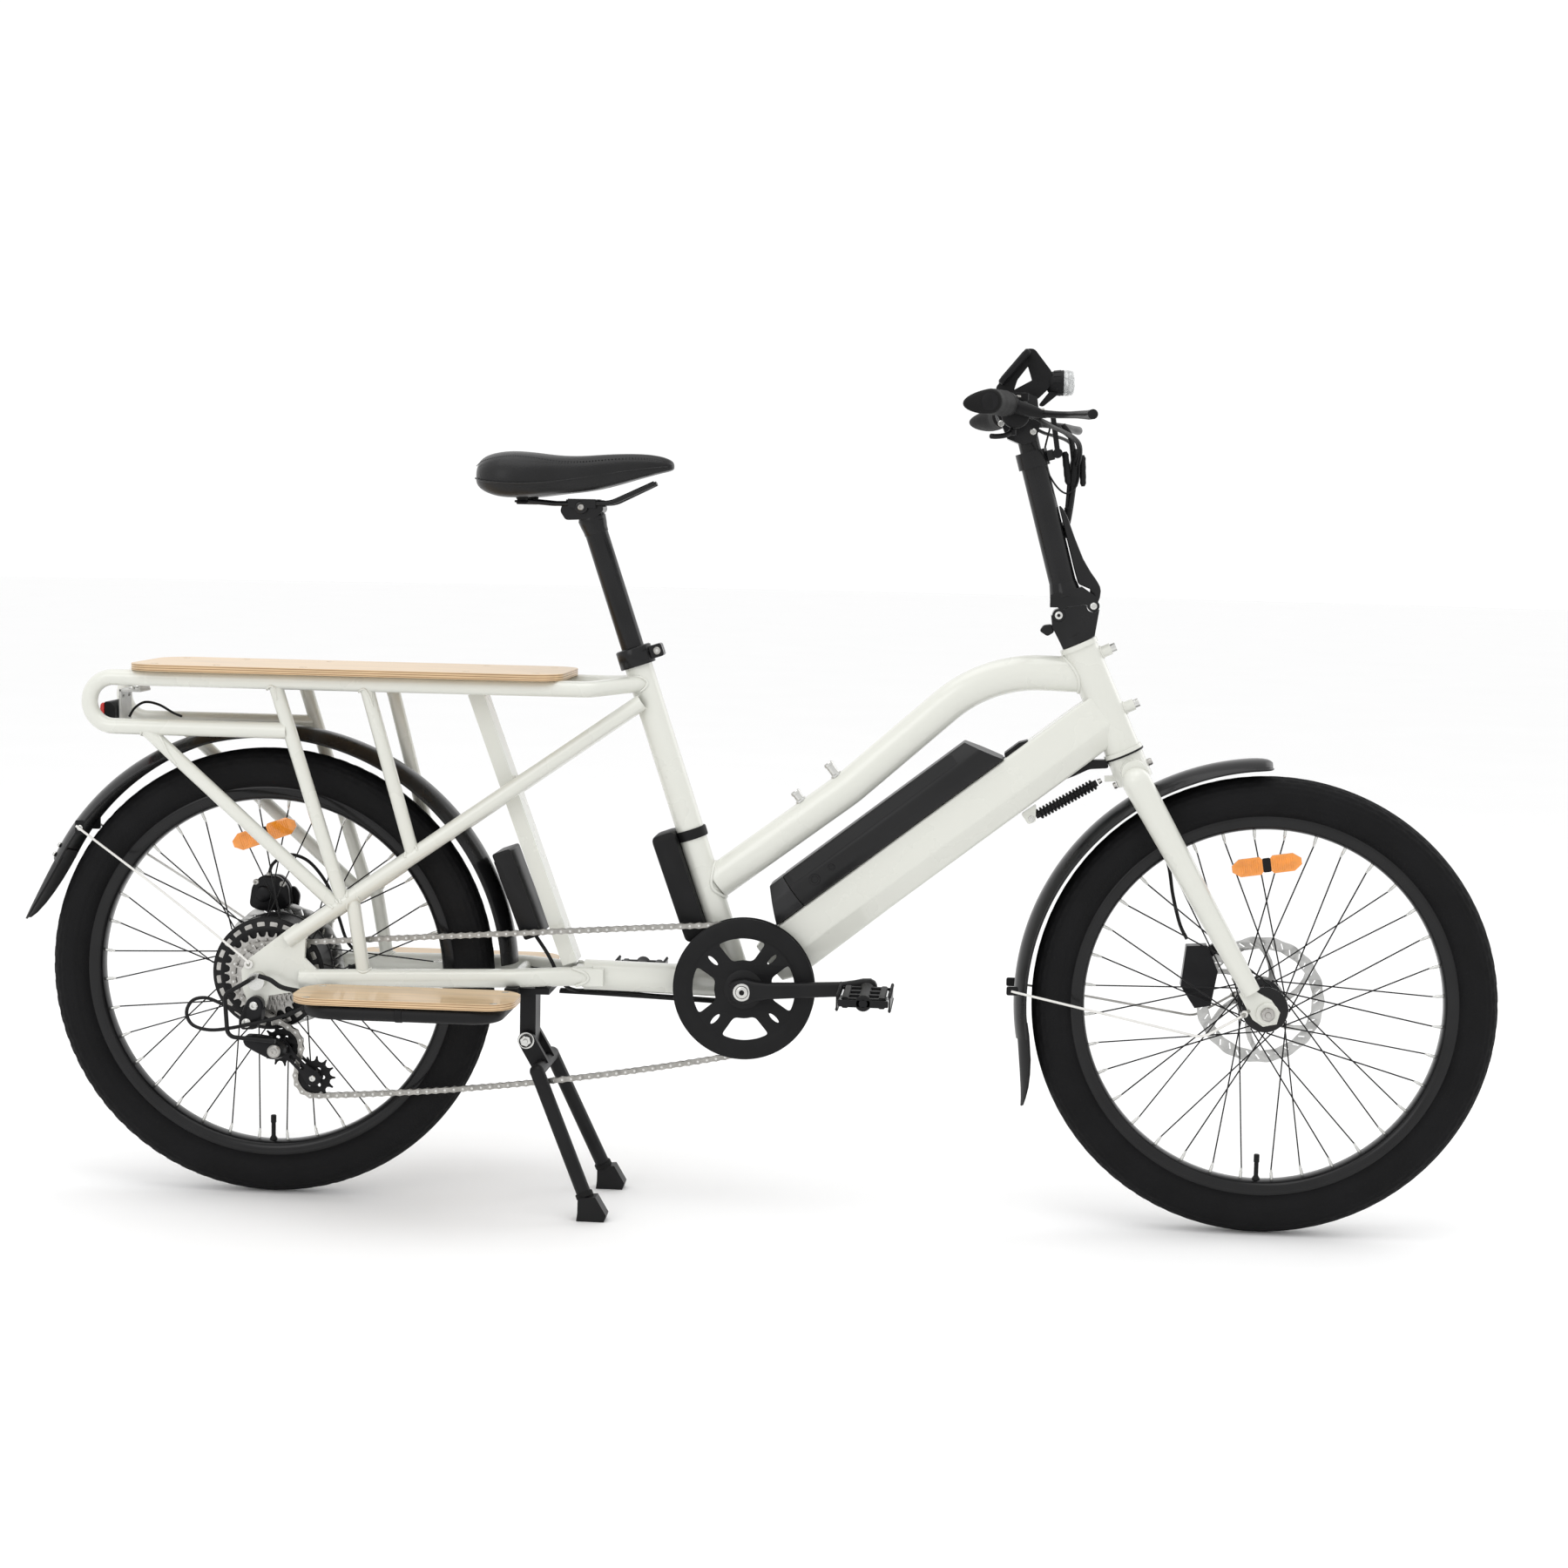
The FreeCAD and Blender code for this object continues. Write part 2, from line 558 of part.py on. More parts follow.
def rear_caliper():
    """The disc brake caliper, on an arm from the left dropout."""
    body = prism([(-50.0, 396.0), (-30.0, 446.0), (8.0, 444.0), (14.0, 398.0)], (38.0, 64.0))
    slot = slab((-60.0, 60.0), (48.4, 51.6), (300.0, REAR_AXLE[1] + ROTOR_RADIUS + 4))
    arm = prism([(-8.0, 342.0), (10.0, 350.0), (20.0, 410.0), (-8.0, 410.0)], (64.0, 70.0))
    motor = disc(REAR_AXLE, MOTOR_RADIUS + 2, (0.0, 100.0))
    arm_clearance = disc(REAR_AXLE, 40.0, (0.0, 65.0))
    body = body.cut(slot).cut(motor)
    foot = prism([(-8.0, 342.0), (10.0, 350.0), (20.0, 372.0), (-8.0, 372.0)], (64.0, 72.0))
    arm = joined([arm, foot]).cut(arm_clearance)
    return [joined([body, arm.cut(mirrored(dropout()))])]


def rear_lines():
    """Fender stays, the derailleur guard and the cables that the frame carries."""
    stay = rod(vec(-266.7, -36.5, 511.3), vec(-14.0, -80.0, 340.0), 1.6)
    guard = bent_rod([vec(-4.0, -94.5, 318.0), vec(-4.0, -122.0, 318.0), vec(-34.0, -122.0, 300.0),
                      vec(-30.0, -122.0, 242.0), vec(36.0, -122.0, 238.0)], 3.0, 12.0)
    motor_lead = bent_rod([vec(6.0, -96.0, 322.0), vec(34.0, -100.0, 310.0), vec(70.0, -95.0, 302.0)],
                          3.5, 30.0)
    under_tube = bent_rod([vec(400.0, 12.0, 296.0), vec(470.0, 10.0, 297.0), vec(560.0, 6.0, 292.0),
                           vec(640.0, 6.0, 290.0)], 5.0, 200.0)
    shift_loop = bent_rod([vec(88.0, -96.0, 292.0), vec(20.0, -101.0, 262.0), vec(-62.0, -101.0, 246.0),
                           vec(-96.0, -95.0, 268.0), vec(-72.0, -89.0, 290.0), vec(-28.0, -87.0, 272.0)],
                          2.4, 16.0)
    light_lead = bent_rod([vec(-204.0, 0.0, 668.0), vec(-180.0, 0.0, 682.0), vec(-160.0, 0.0, 662.0)],
                          2.0, 12.0)
    return both_sides([stay]) + [guard, under_tube, shift_loop, light_lead, motor_lead]


# ---- Drive train -----------------------------------------------------------------
def pitch_radius(teeth):
    return CHAIN_PITCH / (2 * math.sin(math.pi / teeth))


def root_radius(teeth):
    """The plain disc inside the rollers of the chain."""
    return pitch_radius(teeth) - CHAIN_HALF_HEIGHT - GAP


def chain_circles():
    """Centre and signed radius of each wheel in the order the chain runs.

    The radius is positive where the chain turns clockwise, seen from the right.
    """
    pulley = pitch_radius(PULLEY_TEETH)
    return [(REAR_AXLE, pitch_radius(SPROCKET_TEETH[DRIVEN_SPROCKET])),
            (CRANK_AXIS, pitch_radius(RING_TEETH)), (LOWER_PULLEY, pulley), (UPPER_PULLEY, -pulley)]


def chain_outline(offset):
    """The closed line at a distance outside the chain's pitch line."""
    circles = [(centre, radius + offset) for centre, radius in chain_circles()]
    tangents = []
    for (c1, r1), (c2, r2) in zip(circles, circles[1:] + circles[:1]):
        heading = math.atan2(c2[1] - c1[1], c2[0] - c1[0])
        normal = heading - math.acos((r2 - r1) / math.dist(c1, c2))
        side = (math.cos(normal), math.sin(normal))
        tangents.append(((c1[0] - r1 * side[0], c1[1] - r1 * side[1]),
                         (c2[0] - r2 * side[0], c2[1] - r2 * side[1])))
    edges = []
    for index, (start, end) in enumerate(tangents):
        if circles[index][0] == CRANK_AXIS:
            low = ((start[0] + end[0]) / 2, (start[1] + end[1]) / 2 - LOWER_RUN_SAG)
            edges.append(Part.Arc(at(start), at(low), at(end)).toShape())
        else:
            edges.append(Part.LineSegment(at(start), at(end)).toShape())
        centre, radius = circles[(index + 1) % len(circles)]
        after = tangents[(index + 1) % len(tangents)][0]
        first = math.atan2(end[1] - centre[1], end[0] - centre[0])
        last = math.atan2(after[1] - centre[1], after[0] - centre[0])
        turn = (first - last) % math.tau if radius > 0 else -((last - first) % math.tau)
        middle = first - turn / 2
        on_arc = (centre[0] + abs(radius) * math.cos(middle), centre[1] + abs(radius) * math.sin(middle))
        edges.append(Part.Arc(at(end), at(on_arc), at(after)).toShape())
    return Part.Wire(edges)


def chain():
    """Two bands of side plates with a roller at each pitch between them."""
    band = Part.Face(chain_outline(CHAIN_HALF_HEIGHT)).cut(Part.Face(chain_outline(-CHAIN_HALF_HEIGHT)))
    inner, outer = 2.6, 3.6
    plates = []
    for low, high in ((-outer, -inner), (inner, outer)):
        plate = band.extrude(vec(0, high - low, 0))
        plate.translate(vec(0, CHAIN_Y + low, 0))
        plates.append(plate)
    pitch_line = chain_outline(0.0)
    links = round(pitch_line.Length / CHAIN_PITCH)
    rollers = [disc((point.x, point.z), 3.6, (CHAIN_Y - inner, CHAIN_Y + inner))
               for point in pitch_line.discretize(links + 1)[:-1]]
    return [joined(plates + rollers)]


def chainring():
    """The toothed ring's disc between two chain guards, on a five-armed spider."""
    body = disc(CRANK_AXIS, root_radius(RING_TEETH), (CHAIN_Y - 1.0, CHAIN_Y + 1.0), 58.0)
    guards = [disc(CRANK_AXIS, 96.5, (-54.0, -51.5), 58.0), disc(CRANK_AXIS, 96.5, (-38.5, -36.5), 58.0)]
    spacers = disc(CRANK_AXIS, 68.0, (-54.0, -36.5), 60.0)
    hub = disc(CRANK_AXIS, 24.0, (-56.0, -40.0), SPINDLE_RADIUS)
    arms = []
    for turn in range(5):
        tip = polar(CRANK_AXIS, 63.0, 36 + 72 * turn)
        arms.append(beam(CRANK_AXIS, tip, 9.0, (-54.0, -40.0)))
    bore = disc(CRANK_AXIS, SPINDLE_RADIUS, (-60.0, 0.0))
    return [joined([body, spacers, hub] + guards + arms).cut(bore)]


def pedal_axis(side):
    """The pedal's axis: the right arm (side -1) points forward, the left one back."""
    return (CRANK_AXIS[0] - side * CRANK_LENGTH * math.cos(CRANK_TILT),
            CRANK_AXIS[1] - side * CRANK_LENGTH * math.sin(CRANK_TILT))


def crank_arms():
    """Spindle, both arms, and the pedal axles that are screwed into them."""
    shapes = []
    for side in (-1, 1):
        tip = pedal_axis(side)
        ends = sorted((side * 57.0, side * 78.0))
        boss = disc(CRANK_AXIS, 17.0, ends)
        eye = disc(tip, 13.5, sorted((side * 66.0, side * 84.0)))
        root, far = at(CRANK_AXIS, side * 67.0), at(tip, side * 75.0)
        arm = rod(root, far, 10.8, 9.5)
        axle = disc(tip, 5.0, sorted((side * 75.0, side * 186.0)))
        shapes += [boss, eye, arm, axle]
    spindle = disc(CRANK_AXIS, SPINDLE_RADIUS, (-70.0, 70.0))
    return [joined([spindle] + shapes)]


def pedal(side):
    """A platform pedal, hollow around its axle."""
    x, z = pedal_axis(side)
    y_range = sorted((side * 88.0, side * 190.0))
    frame = rounded_board((x - 37.0, x + 37.0), y_range, (z - 11.0, z + 11.0), 10.0)
    barrel = disc((x, z), 11.0, y_range)
    windows = []
    for low, high in ((-29.0, -14.0), (14.0, 29.0)):
        windows.append(slab((x + low, x + high), sorted((side * 96.0, side * 182.0)), (z - 20, z + 20)))
    body = trimmed(frame, windows)
    return [joined([body, barrel]).cut(disc((x, z), 5.0 + RUNNING, sorted((side * 80.0, side * 187.0))))]


def sprockets():
    stack = []
    for index, teeth in enumerate(SPROCKET_TEETH):
        y = CHAIN_Y - SPROCKET_SPACING * (index - DRIVEN_SPROCKET)
        stack.append(disc(REAR_AXLE, root_radius(teeth), (y - 0.9, y + 0.9)))
    core = disc(REAR_AXLE, 21.0, (-67.0, -34.0))
    bore = disc(REAR_AXLE, FREEHUB_RADIUS + RUNNING, (-70.0, -30.0))
    return [joined([core] + stack).cut(bore)]


def derailleur_body():
    """The fixed knuckle, bolted to the hanger, with its link cover."""
    knuckle = disc((-2.0, 280.0), 11.0, (-92.0, -77.3))
    cover = beam((-2.0, 276.0), (-11.0, 250.0), 14.0, (-94.0, -80.0))
    return [joined([knuckle, cover])]


def derailleur_knuckle():
    """The moving knuckle, which shifts sideways and carries the cage's pivot."""
    arm = beam((-12.0, 238.0), UPPER_PULLEY, 11.0, (-90.0, -66.0))
    pivot = disc(UPPER_PULLEY, 13.0, (-80.0, -56.0))
    room = slab((-60.0, 60.0), (-120.0, -40.0), (DERAILLEUR_SPLIT_Z, 300.0))
    pin_room = disc(UPPER_PULLEY, CAGE_PIN_RADIUS + RUNNING, (-76.0, -50.0))
    return [joined([arm, pivot]).cut(room).cut(pin_room)]


def derailleur_cage():
    """Two plates that carry the pulleys."""
    outer = beam(UPPER_PULLEY, LOWER_PULLEY, 9.0, (-55.5, -53.5))
    inner = beam(UPPER_PULLEY, LOWER_PULLEY, 8.0, (-37.5, -35.5))
    axles = [disc(centre, 3.0, (-54.0, -36.5)) for centre in (UPPER_PULLEY, LOWER_PULLEY)]
    axles.append(disc(UPPER_PULLEY, CAGE_PIN_RADIUS, (-75.0, -54.0)))
    ends = [disc(centre, 9.0, (-55.5, -53.5)) for centre in (UPPER_PULLEY, LOWER_PULLEY)]
    ends += [disc(centre, 8.0, (-37.5, -35.5)) for centre in (UPPER_PULLEY, LOWER_PULLEY)]
    return [joined([outer, inner] + ends + axles)]


def jockey(centre):
    return [disc(centre, root_radius(PULLEY_TEETH), (CHAIN_Y - 1.0, CHAIN_Y + 1.0), 3.0 + RUNNING)]


# ---- Wheels -----------------------------------------------------------------------
def tyre(centre):
    solid = Part.makeTorus(TYRE_RADIUS - TYRE_SECTION, TYRE_SECTION, at(centre), vec(0, 1, 0))
    hollow = Part.makeTorus(TYRE_RADIUS - TYRE_SECTION, TYRE_SECTION - 4.0, at(centre), vec(0, 1, 0))
    return [solid.cut(hollow).cut(disc(centre, RIM_BED_RADIUS, (-40.0, 40.0)))]


def rim(centre):
    hole, bed, half = RIM_HOLE_RADIUS, RIM_BED_RADIUS, RIM_HALF_WIDTH
    profile = [(hole, -8.0), (hole, 8.0), (hole + 6, half), (bed, half), (bed, half - 3),
               (hole + 8, half - 5), (hole + 4, 6.0), (hole + 4, -6.0), (hole + 8, 5 - half),
               (bed, 3 - half), (bed, -half), (hole + 6, -half)]
    valve = rod(vec(centre[0], 0, centre[1] - 243.0), vec(centre[0], 0, centre[1] - 206.0), 3.0)
    return [turned(centre, profile), valve.cut(turned(centre, profile))]


def spokes(centre, flange_radius, flange_y, cross_degrees):
    """Spokes laced to both flanges, with a nipple at each rim end, and the reflector."""
    parts = []
    step = 360.0 / SPOKES
    for index in range(SPOKES):
        side = 1 if index % 2 else -1
        lean = cross_degrees if index % 4 < 2 else -cross_degrees
        rim_angle = step * (index + 0.5) + 270.0
        start = at(polar(centre, flange_radius, rim_angle + lean), side * flange_y)
        end = at(polar(centre, RIM_HOLE_RADIUS - 14.0, rim_angle), side * 2.0)
        tip = at(polar(centre, RIM_HOLE_RADIUS - 0.12, rim_angle), side * 1.5)
        parts.append(rod(start, end, SPOKE_RADIUS))
        parts.append(rod(end, tip, 1.9))
    return parts


def reflector(centre, degrees, tilt):
    """The spoke reflector, a flat lens parallel to the wheel."""
    middle = polar(centre, 194.0, degrees)
    plate = slab((middle[0] - 47.0, middle[0] + 47.0), (-14.0, -9.0), (middle[1] - 12, middle[1] + 12))
    plate.rotate(at(middle), vec(0, 1, 0), -tilt)
    return plate


def front_spokes():
    lens = reflector(FRONT_AXLE, 91.0, 9.0)
    return [trimmed(part, [lens]) for part in spokes(FRONT_AXLE, 32.2, 32.0, 58.0)] + [lens]


def rear_spokes():
    lens = reflector(REAR_AXLE, 93.0, 20.0)
    return [trimmed(part, [lens]) for part in spokes(REAR_AXLE, MOTOR_RADIUS + 1, 26.0, 16.0)] + [lens]


def front_hub():
    bore = FRONT_AXLE_RADIUS + RUNNING
    profile = [(bore, -50.0), (14.0, -50.0), (16.0, -36.0), (31.0, -33.5), (31.0, -30.5), (17.0, -27.0),
               (15.0, 0.0), (17.0, 27.0), (31.0, 30.5), (31.0, 33.5), (22.0, 36.0), (22.0, 42.0),
               (14.0, 42.0), (14.0, 50.0), (bore, 50.0)]
    return [turned(FRONT_AXLE, profile)]


def rear_hub():
    """The geared hub motor's shell, with the boss that the freewheel turns on."""
    bore = AXLE_RADIUS + RUNNING
    profile = [(bore, -68.5), (FREEHUB_RADIUS, -68.5), (FREEHUB_RADIUS, -33.0), (40.0, -33.0),
               (62.0, -30.0), (74.0, -28.0), (MOTOR_RADIUS, -26.0), (MOTOR_RADIUS, 28.0),
               (70.0, 31.0), (58.0, 41.0), (24.0, 43.0), (24.0, 49.0), (14.0, 49.0), (14.0, 62.0),
               (bore, 62.0)]
    return [turned(REAR_AXLE, profile)]


def rotor(centre, y, hub_radius):
    """A disc brake rotor: outer braking band, six swept arms and a centre ring."""
    y_range = (y - 0.9, y + 0.9)
    band = disc(centre, ROTOR_RADIUS, y_range, ROTOR_RADIUS - 16.0)
    eye = disc(centre, 32.0, y_range, hub_radius)
    arms = []
    for turn in range(6):
        inner = polar(centre, 28.0, 60 * turn)
        outer = polar(centre, ROTOR_RADIUS - 12.0, 60 * turn + 32)
        arms.append(beam(inner, outer, 3.5, y_range))
    hole = disc(centre, hub_radius, (y - 2, y + 2))
    return [joined([band, eye] + arms).cut(hole)]


# ---- Fork and steering --------------------------------------------------------------
def crown_solid():
    bar = rod(at(on_head(-22.0, 2.0), -BLADE_Y), at(on_head(-22.0, 2.0), BLADE_Y), 17.0)
    return bar.fuse(rod(at(on_head(-38.0)), at(on_head(-0.4)), 25.0))


def fork_crown():
    steerer = rod(at(on_head(-30.0)), at(on_head(HEAD_LENGTH + 4.0)), STEERER_RADIUS)
    damper_eye = beam(on_head(-26.0, -20.0), (1147.0, 617.0), 4.0, (-5.0, 5.0))
    return [joined([crown_solid(), steerer, damper_eye])]


def blade_solid():
    blade = rod(at(BLADE_TOP, -BLADE_Y), at(BLADE_FOOT, -BLADE_Y), 19.5, 12.5)
    return blade.fuse(Part.makeSphere(19.5, at(BLADE_TOP, -BLADE_Y)))


def fork_blades():
    outline = [(1340.0, 351.0), (1333.0, 338.0), (1352.0, 305.0), (1366.0, 296.0), (1384.0, 300.0),
               (1388.0, 316.0), (1376.0, 332.0)]
    dropout = prism(outline, (-FRONT_DROPOUT_Y - 6, -FRONT_DROPOUT_Y))
    dropout = dropout.cut(disc(FRONT_AXLE, FRONT_AXLE_RADIUS, (-80.0, 80.0)))
    hollow = rod(at(BLADE_TOP, -BLADE_Y), at(BLADE_FOOT, -BLADE_Y), 17.0, 10.0)
    blade = joined([blade_solid().cut(crown_solid()).cut(hollow), dropout])
    blade = blade.cut(disc(FRONT_AXLE, FRONT_AXLE_RADIUS, (-80.0, 80.0)))
    blade = blade.cut(disc(FRONT_AXLE, 60.0, (-FRONT_DROPOUT_Y, FRONT_DROPOUT_Y)))
    return both_sides([blade])


def front_axle():
    """The axle with its nuts, and the wire stays of the front fender."""
    axle = disc(FRONT_AXLE, FRONT_AXLE_RADIUS, (-74.0, 74.0))
    ends = sorted((FRONT_DROPOUT_Y + 6, 72.0))
    nut = disc(FRONT_AXLE, 9.0, ends)
    spacer = disc(FRONT_AXLE, 9.0, (50.4, FRONT_DROPOUT_Y))
    stay = bent_rod([vec(1029.7, -36.5, 327.0), vec(1285.0, -77.0, 281.0), vec(1336.0, -78.0, 312.0)],
                    1.6, 30.0)
    stay_eye = rod(vec(1336.0, -80.0, 312.0), vec(1346.0, -62.0, 316.0), 3.0)
    stay_eye = stay_eye.cut(mirrored(fork_blades()[1]))
    eyes = joined([stay, stay_eye])
    return [joined([axle] + both_sides([nut, spacer]))] + both_sides([eyes])


def front_caliper():
    body = prism([(1262.0, 330.0), (1268.0, 386.0), (1296.0, 388.0), (1312.0, 352.0), (1304.0, 304.0),
                  (1282.0, 300.0)], (33.0, 55.0))
    slot = disc(FRONT_AXLE, ROTOR_RADIUS + 4.0, (FRONT_ROTOR_Y - 2.0, FRONT_ROTOR_Y + 2.0))
    inner_room = disc(FRONT_AXLE, 62.0, (0.0, 80.0))
    mount = beam((1296.0, 372.0), (1318.0, 386.0), 8.0, (50.0, 60.0))
    body = joined([body, mount]).cut(slot).cut(inner_room)
    return [body.cut(mirrored(blade_solid()))]


def damper_spring():
    """The steering damper's coil, as its outer shape, between its two eyes."""
    return [rod(at((1052.0, 561.0)), at((1141.0, 613.5)), 8.0)]


STEM_BASE = [(1085.5, 791.8), (1126.8, 810.3), (1132.0, 846.0), (1112.0, 851.5), (1090.0, 848.0),
             (1068.0, 836.0), (1070.0, 820.0)]


HEIGHT_PIVOT = on_post(195.0, 34.0)    # of the lever on the riser's clamp
CAM_RADIUS = 6.5


def stem_base():
    """The lower half of the folding joint, clamped on the steerer."""
    body = prism(STEM_BASE, (-20.0, 20.0))
    foot = rod(at(on_head(HEAD_LENGTH + 0.4)), at(on_head(HEAD_LENGTH + 12.0)), 22.0)
    knuckle = disc(FOLD_AXIS, 8.5, (-9.0, 9.0))
    lug_room = [disc(FOLD_AXIS, 8.5 + GAP, (9.0, 30.0)), disc(FOLD_AXIS, 8.5 + GAP, (-30.0, -9.0))]
    latch_room = disc(LATCH_PIVOT, LATCH_BARREL + 1.0, (-30.0, 30.0))
    lever_room = prism([(1117.0, 852.0), (1117.0, 840.0), (1122.0, 836.0), (1142.0, 836.0), (1142.0, 852.0)],
                       (-7.0, 7.0))
    body = trimmed(joined([body, foot]), lug_room + [latch_room, lever_room])
    body = joined([body, knuckle, disc(FOLD_AXIS, 4.0, (-21.5, 21.5))])
    return [body.cut(rod(at(on_head(0.0)), at(on_head(HEAD_LENGTH + 4.0)), STEERER_RADIUS))]


def handlepost():
    """The upper half of the folding joint and the post, bored for the telescopic riser."""
    foot = prism([(1066.0, 847.5), (1076.5, 847.5), (1080.5, 843.4), (1090.0, 848.6), (1112.0, 852.1),
                  (1131.0, 846.9), (1129.0, 862.0), (1108.0, 876.0), (1066.0, 864.0)], (-20.0, 20.0))
    tube = rod(at(on_post(4.0)), at(on_post(186.0)), POST_RADIUS)
    collar = rod(at(on_post(184.0)), at(on_post(206.0)), 21.5)
    clamp_ear = beam(on_post(188.0, 20.0), on_post(202.0, 20.0), 9.0, (-8.0, 8.0))
    lugs = both_sides([disc(FOLD_AXIS, 8.5, (9.3, 20.0))])
    webs = both_sides([beam(FOLD_AXIS, polar(FOLD_AXIS, 18.0, 76.0), 2.8, (9.3, 20.0))])
    knuckle_room = disc(FOLD_AXIS, 8.5 + GAP, (-9.3, 9.3))
    ears = both_sides([disc(LATCH_PIVOT, LATCH_BARREL, (12.0, 20.0))])
    barrel_room = disc(LATCH_PIVOT, LATCH_BARREL + GAP, (-12.0, 12.0))
    latch_bore = disc(LATCH_PIVOT, 3.5 + RUNNING, (-30.0, 30.0))
    body = joined([foot, tube, collar, clamp_ear] + lugs + webs + ears)
    lever_room = prism([(1121.0, 850.5), (1145.0, 850.5), (1145.0, 880.0), (1121.0, 880.0)], (-12.0, 12.0))
    cam_room = disc(HEIGHT_PIVOT, CAM_RADIUS + RUNNING, (-15.0, 15.0))
    body = trimmed(body, [knuckle_room, barrel_room, latch_bore, lever_room, cam_room])
    pin_bore = disc(FOLD_AXIS, 4.0 + RUNNING, (-30.0, 30.0))
    bore = rod(at(on_post(30.0)), at(on_post(210.0)), RISER_RADIUS + RUNNING)
    return [body.cut(pin_bore).cut(bore)]


def post_latch():
    """The long lever that locks the fold, lying up the front of the post."""
    barrel = disc(LATCH_PIVOT, LATCH_BARREL, (-11.5, 11.5))
    pin = disc(LATCH_PIVOT, 3.5, (-21.0, 21.0))
    points = [at((1131.0, 850.0)), at((1130.0, 884.0)), at((1100.0, 962.0))]
    lever = bent_rod(points, 6.0, 60.0)
    tube = rod(at(on_post(4.0)), at(on_post(190.0)), POST_RADIUS + 2 * GAP)
    return [joined([barrel, lever, pin]).cut(tube)]


def riser():
    """The telescopic tube and the clamp that holds the handlebar."""
    tube = rod(at(on_post(70.0)), at(on_post(240.0)), RISER_RADIUS)
    inner = rod(at(on_post(70.0)), at(on_post(228.0)), RISER_RADIUS - 2.5)
    x, z = on_post(BAR_HEIGHT)
    outline = [(x - 30, z - 12), (x - 16, z - 42), (x + 4, z - 50), (x + 22, z - 44), (x + 27, z - 22),
               (x + 22, z + 14), (x + 6, z + 20), (x - 12, z + 18)]
    clamp = prism(outline, (-24.0, 24.0))
    return [joined([tube.cut(inner), clamp]).cut(disc((x, z), 12.7, (-30.0, 30.0)))]


def height_lever():
    """The quick-release lever of the riser's clamp."""
    cam = disc(HEIGHT_PIVOT, CAM_RADIUS, (-14.0, 14.0))
    arm = beam(HEIGHT_PIVOT, on_post(250.0, 40.0), 3.5, (-14.0, -8.4))
    return [joined([cam, arm])]


def bar_point(y):
    """The handlebar's axis: straight in the middle, swept back to the grips."""
    x, z = on_post(BAR_HEIGHT)
    share = max(0.0, (abs(y) - 60.0) / (BAR_HALF_WIDTH - 60.0))
    return vec(x - 40.0 * share, y, z - 6.0 * share)


def lever_pivot(side):
    return bar_point(side * 180.0) + vec(44.0, 0, -12.0)


def lever_hub(side, clearance=0.0):
    half = vec(0, 0, 5.0 + clearance)
    return rod(lever_pivot(side) - half, lever_pivot(side) + half, 6.0 + clearance)


def handlebar():
    """The bar, the brake lever perches, the shifter's pod, and the display."""
    points = [bar_point(y) for y in (-BAR_HALF_WIDTH, -60.0, 60.0, BAR_HALF_WIDTH)]
    bar = bent_pipe(points, BAR_RADIUS, 2.4, 150.0)
    x, z = on_post(BAR_HEIGHT)
    sleeve = disc((x, z), 12.7, (-44.0, 44.0), BAR_RADIUS - 2.4)
    parts = [joined([bar, sleeve])]
    inner = bent_rod(points, BAR_RADIUS, 150.0)
    for side in (-1, 1):
        start, end = bar_point(side * 172.0), bar_point(side * 192.0)
        perch = rod(start, end, 15.0)
        arm = rod(start + vec(0, side * 8, 0), start + vec(37.0, side * 8, -10.0), 8.0)
        hub_room = lever_hub(side, GAP)
        parts.append(trimmed(joined([perch, arm]), [inner, hub_room]))
    pod = rod(bar_point(-150.0) + vec(8.0, 0, -12.0), bar_point(-168.0) + vec(8.0, 0, -12.0), 19.0)
    parts.append(pod.cut(inner))
    display = beam((x - 28.0, z + 30.0), (x + 10.0, z + 76.0), 4.5, (-36.0, 36.0))
    arm = beam((x + 14.0, z + 74.0), (x + 34.0, z + 42.0), 4.0, (-12.0, 12.0))
    hook = beam((x + 36.0, z + 44.0), (x + 4.0, z + 16.0), 3.5, (26.0, 38.0))
    hook = hook.fuse(beam((x + 36.0, z + 44.0), (x + 28.0, z + 44.0), 6.0, (-12.0, 38.0)))
    ring = disc((x, z), 17.5, (26.0, 38.0), 12.7)
    parts.append(joined([display, arm, hook, ring]))
    return parts


def grips():
    """Grips with a palm rest behind the bar."""
    parts = []
    for side in (-1, 1):
        start, end = bar_point(side * 206.0), bar_point(side * 328.0)
        core = rod(start, end, 16.0)
        wing = rod(bar_point(side * 262.0) + vec(-20.0, 0, -4.0),
                   bar_point(side * 320.0) + vec(-22.0, 0, -5.0), 9.0, 14.0)
        cap = rod(end, bar_point(side * 332.0), 15.0)
        grip = joined([core, wing, cap])
        parts.append(grip.cut(rod(bar_point(side * 60.0), bar_point(side * 332.0), BAR_RADIUS)))
    return parts


def brake_lever(side):
    """A lever that pivots upright in its perch and lies ahead of the grip."""
    pivot = lever_pivot(side)
    blade = bent_rod([pivot, pivot + vec(30.0, side * 24.0, 0), pivot + vec(60.0, side * 130.0, -4)],
                     4.5, 26.0)
    return [joined([lever_hub(side), blade])]


def shifter_lever():
    """The thumb lever under the shifter's pod."""
    start = bar_point(-158.0) + vec(4.0, 0, -31.6)
    hub = rod(start - vec(0, 0, 8.0), start, 5.0)
    bend = start + vec(-6.0, -8.0, -8)
    blade = bent_rod([start - vec(0, 0, 4.6), bend, start + vec(-26.0, -26.0, -10)], 3.5, 4.0)
    lever = joined([hub, blade])
    pod = rod(bar_point(-150.0) + vec(8.0, 0, -12.0), bar_point(-168.0) + vec(8.0, 0, -12.0), 19.0 + GAP)
    return [lever.cut(pod)]


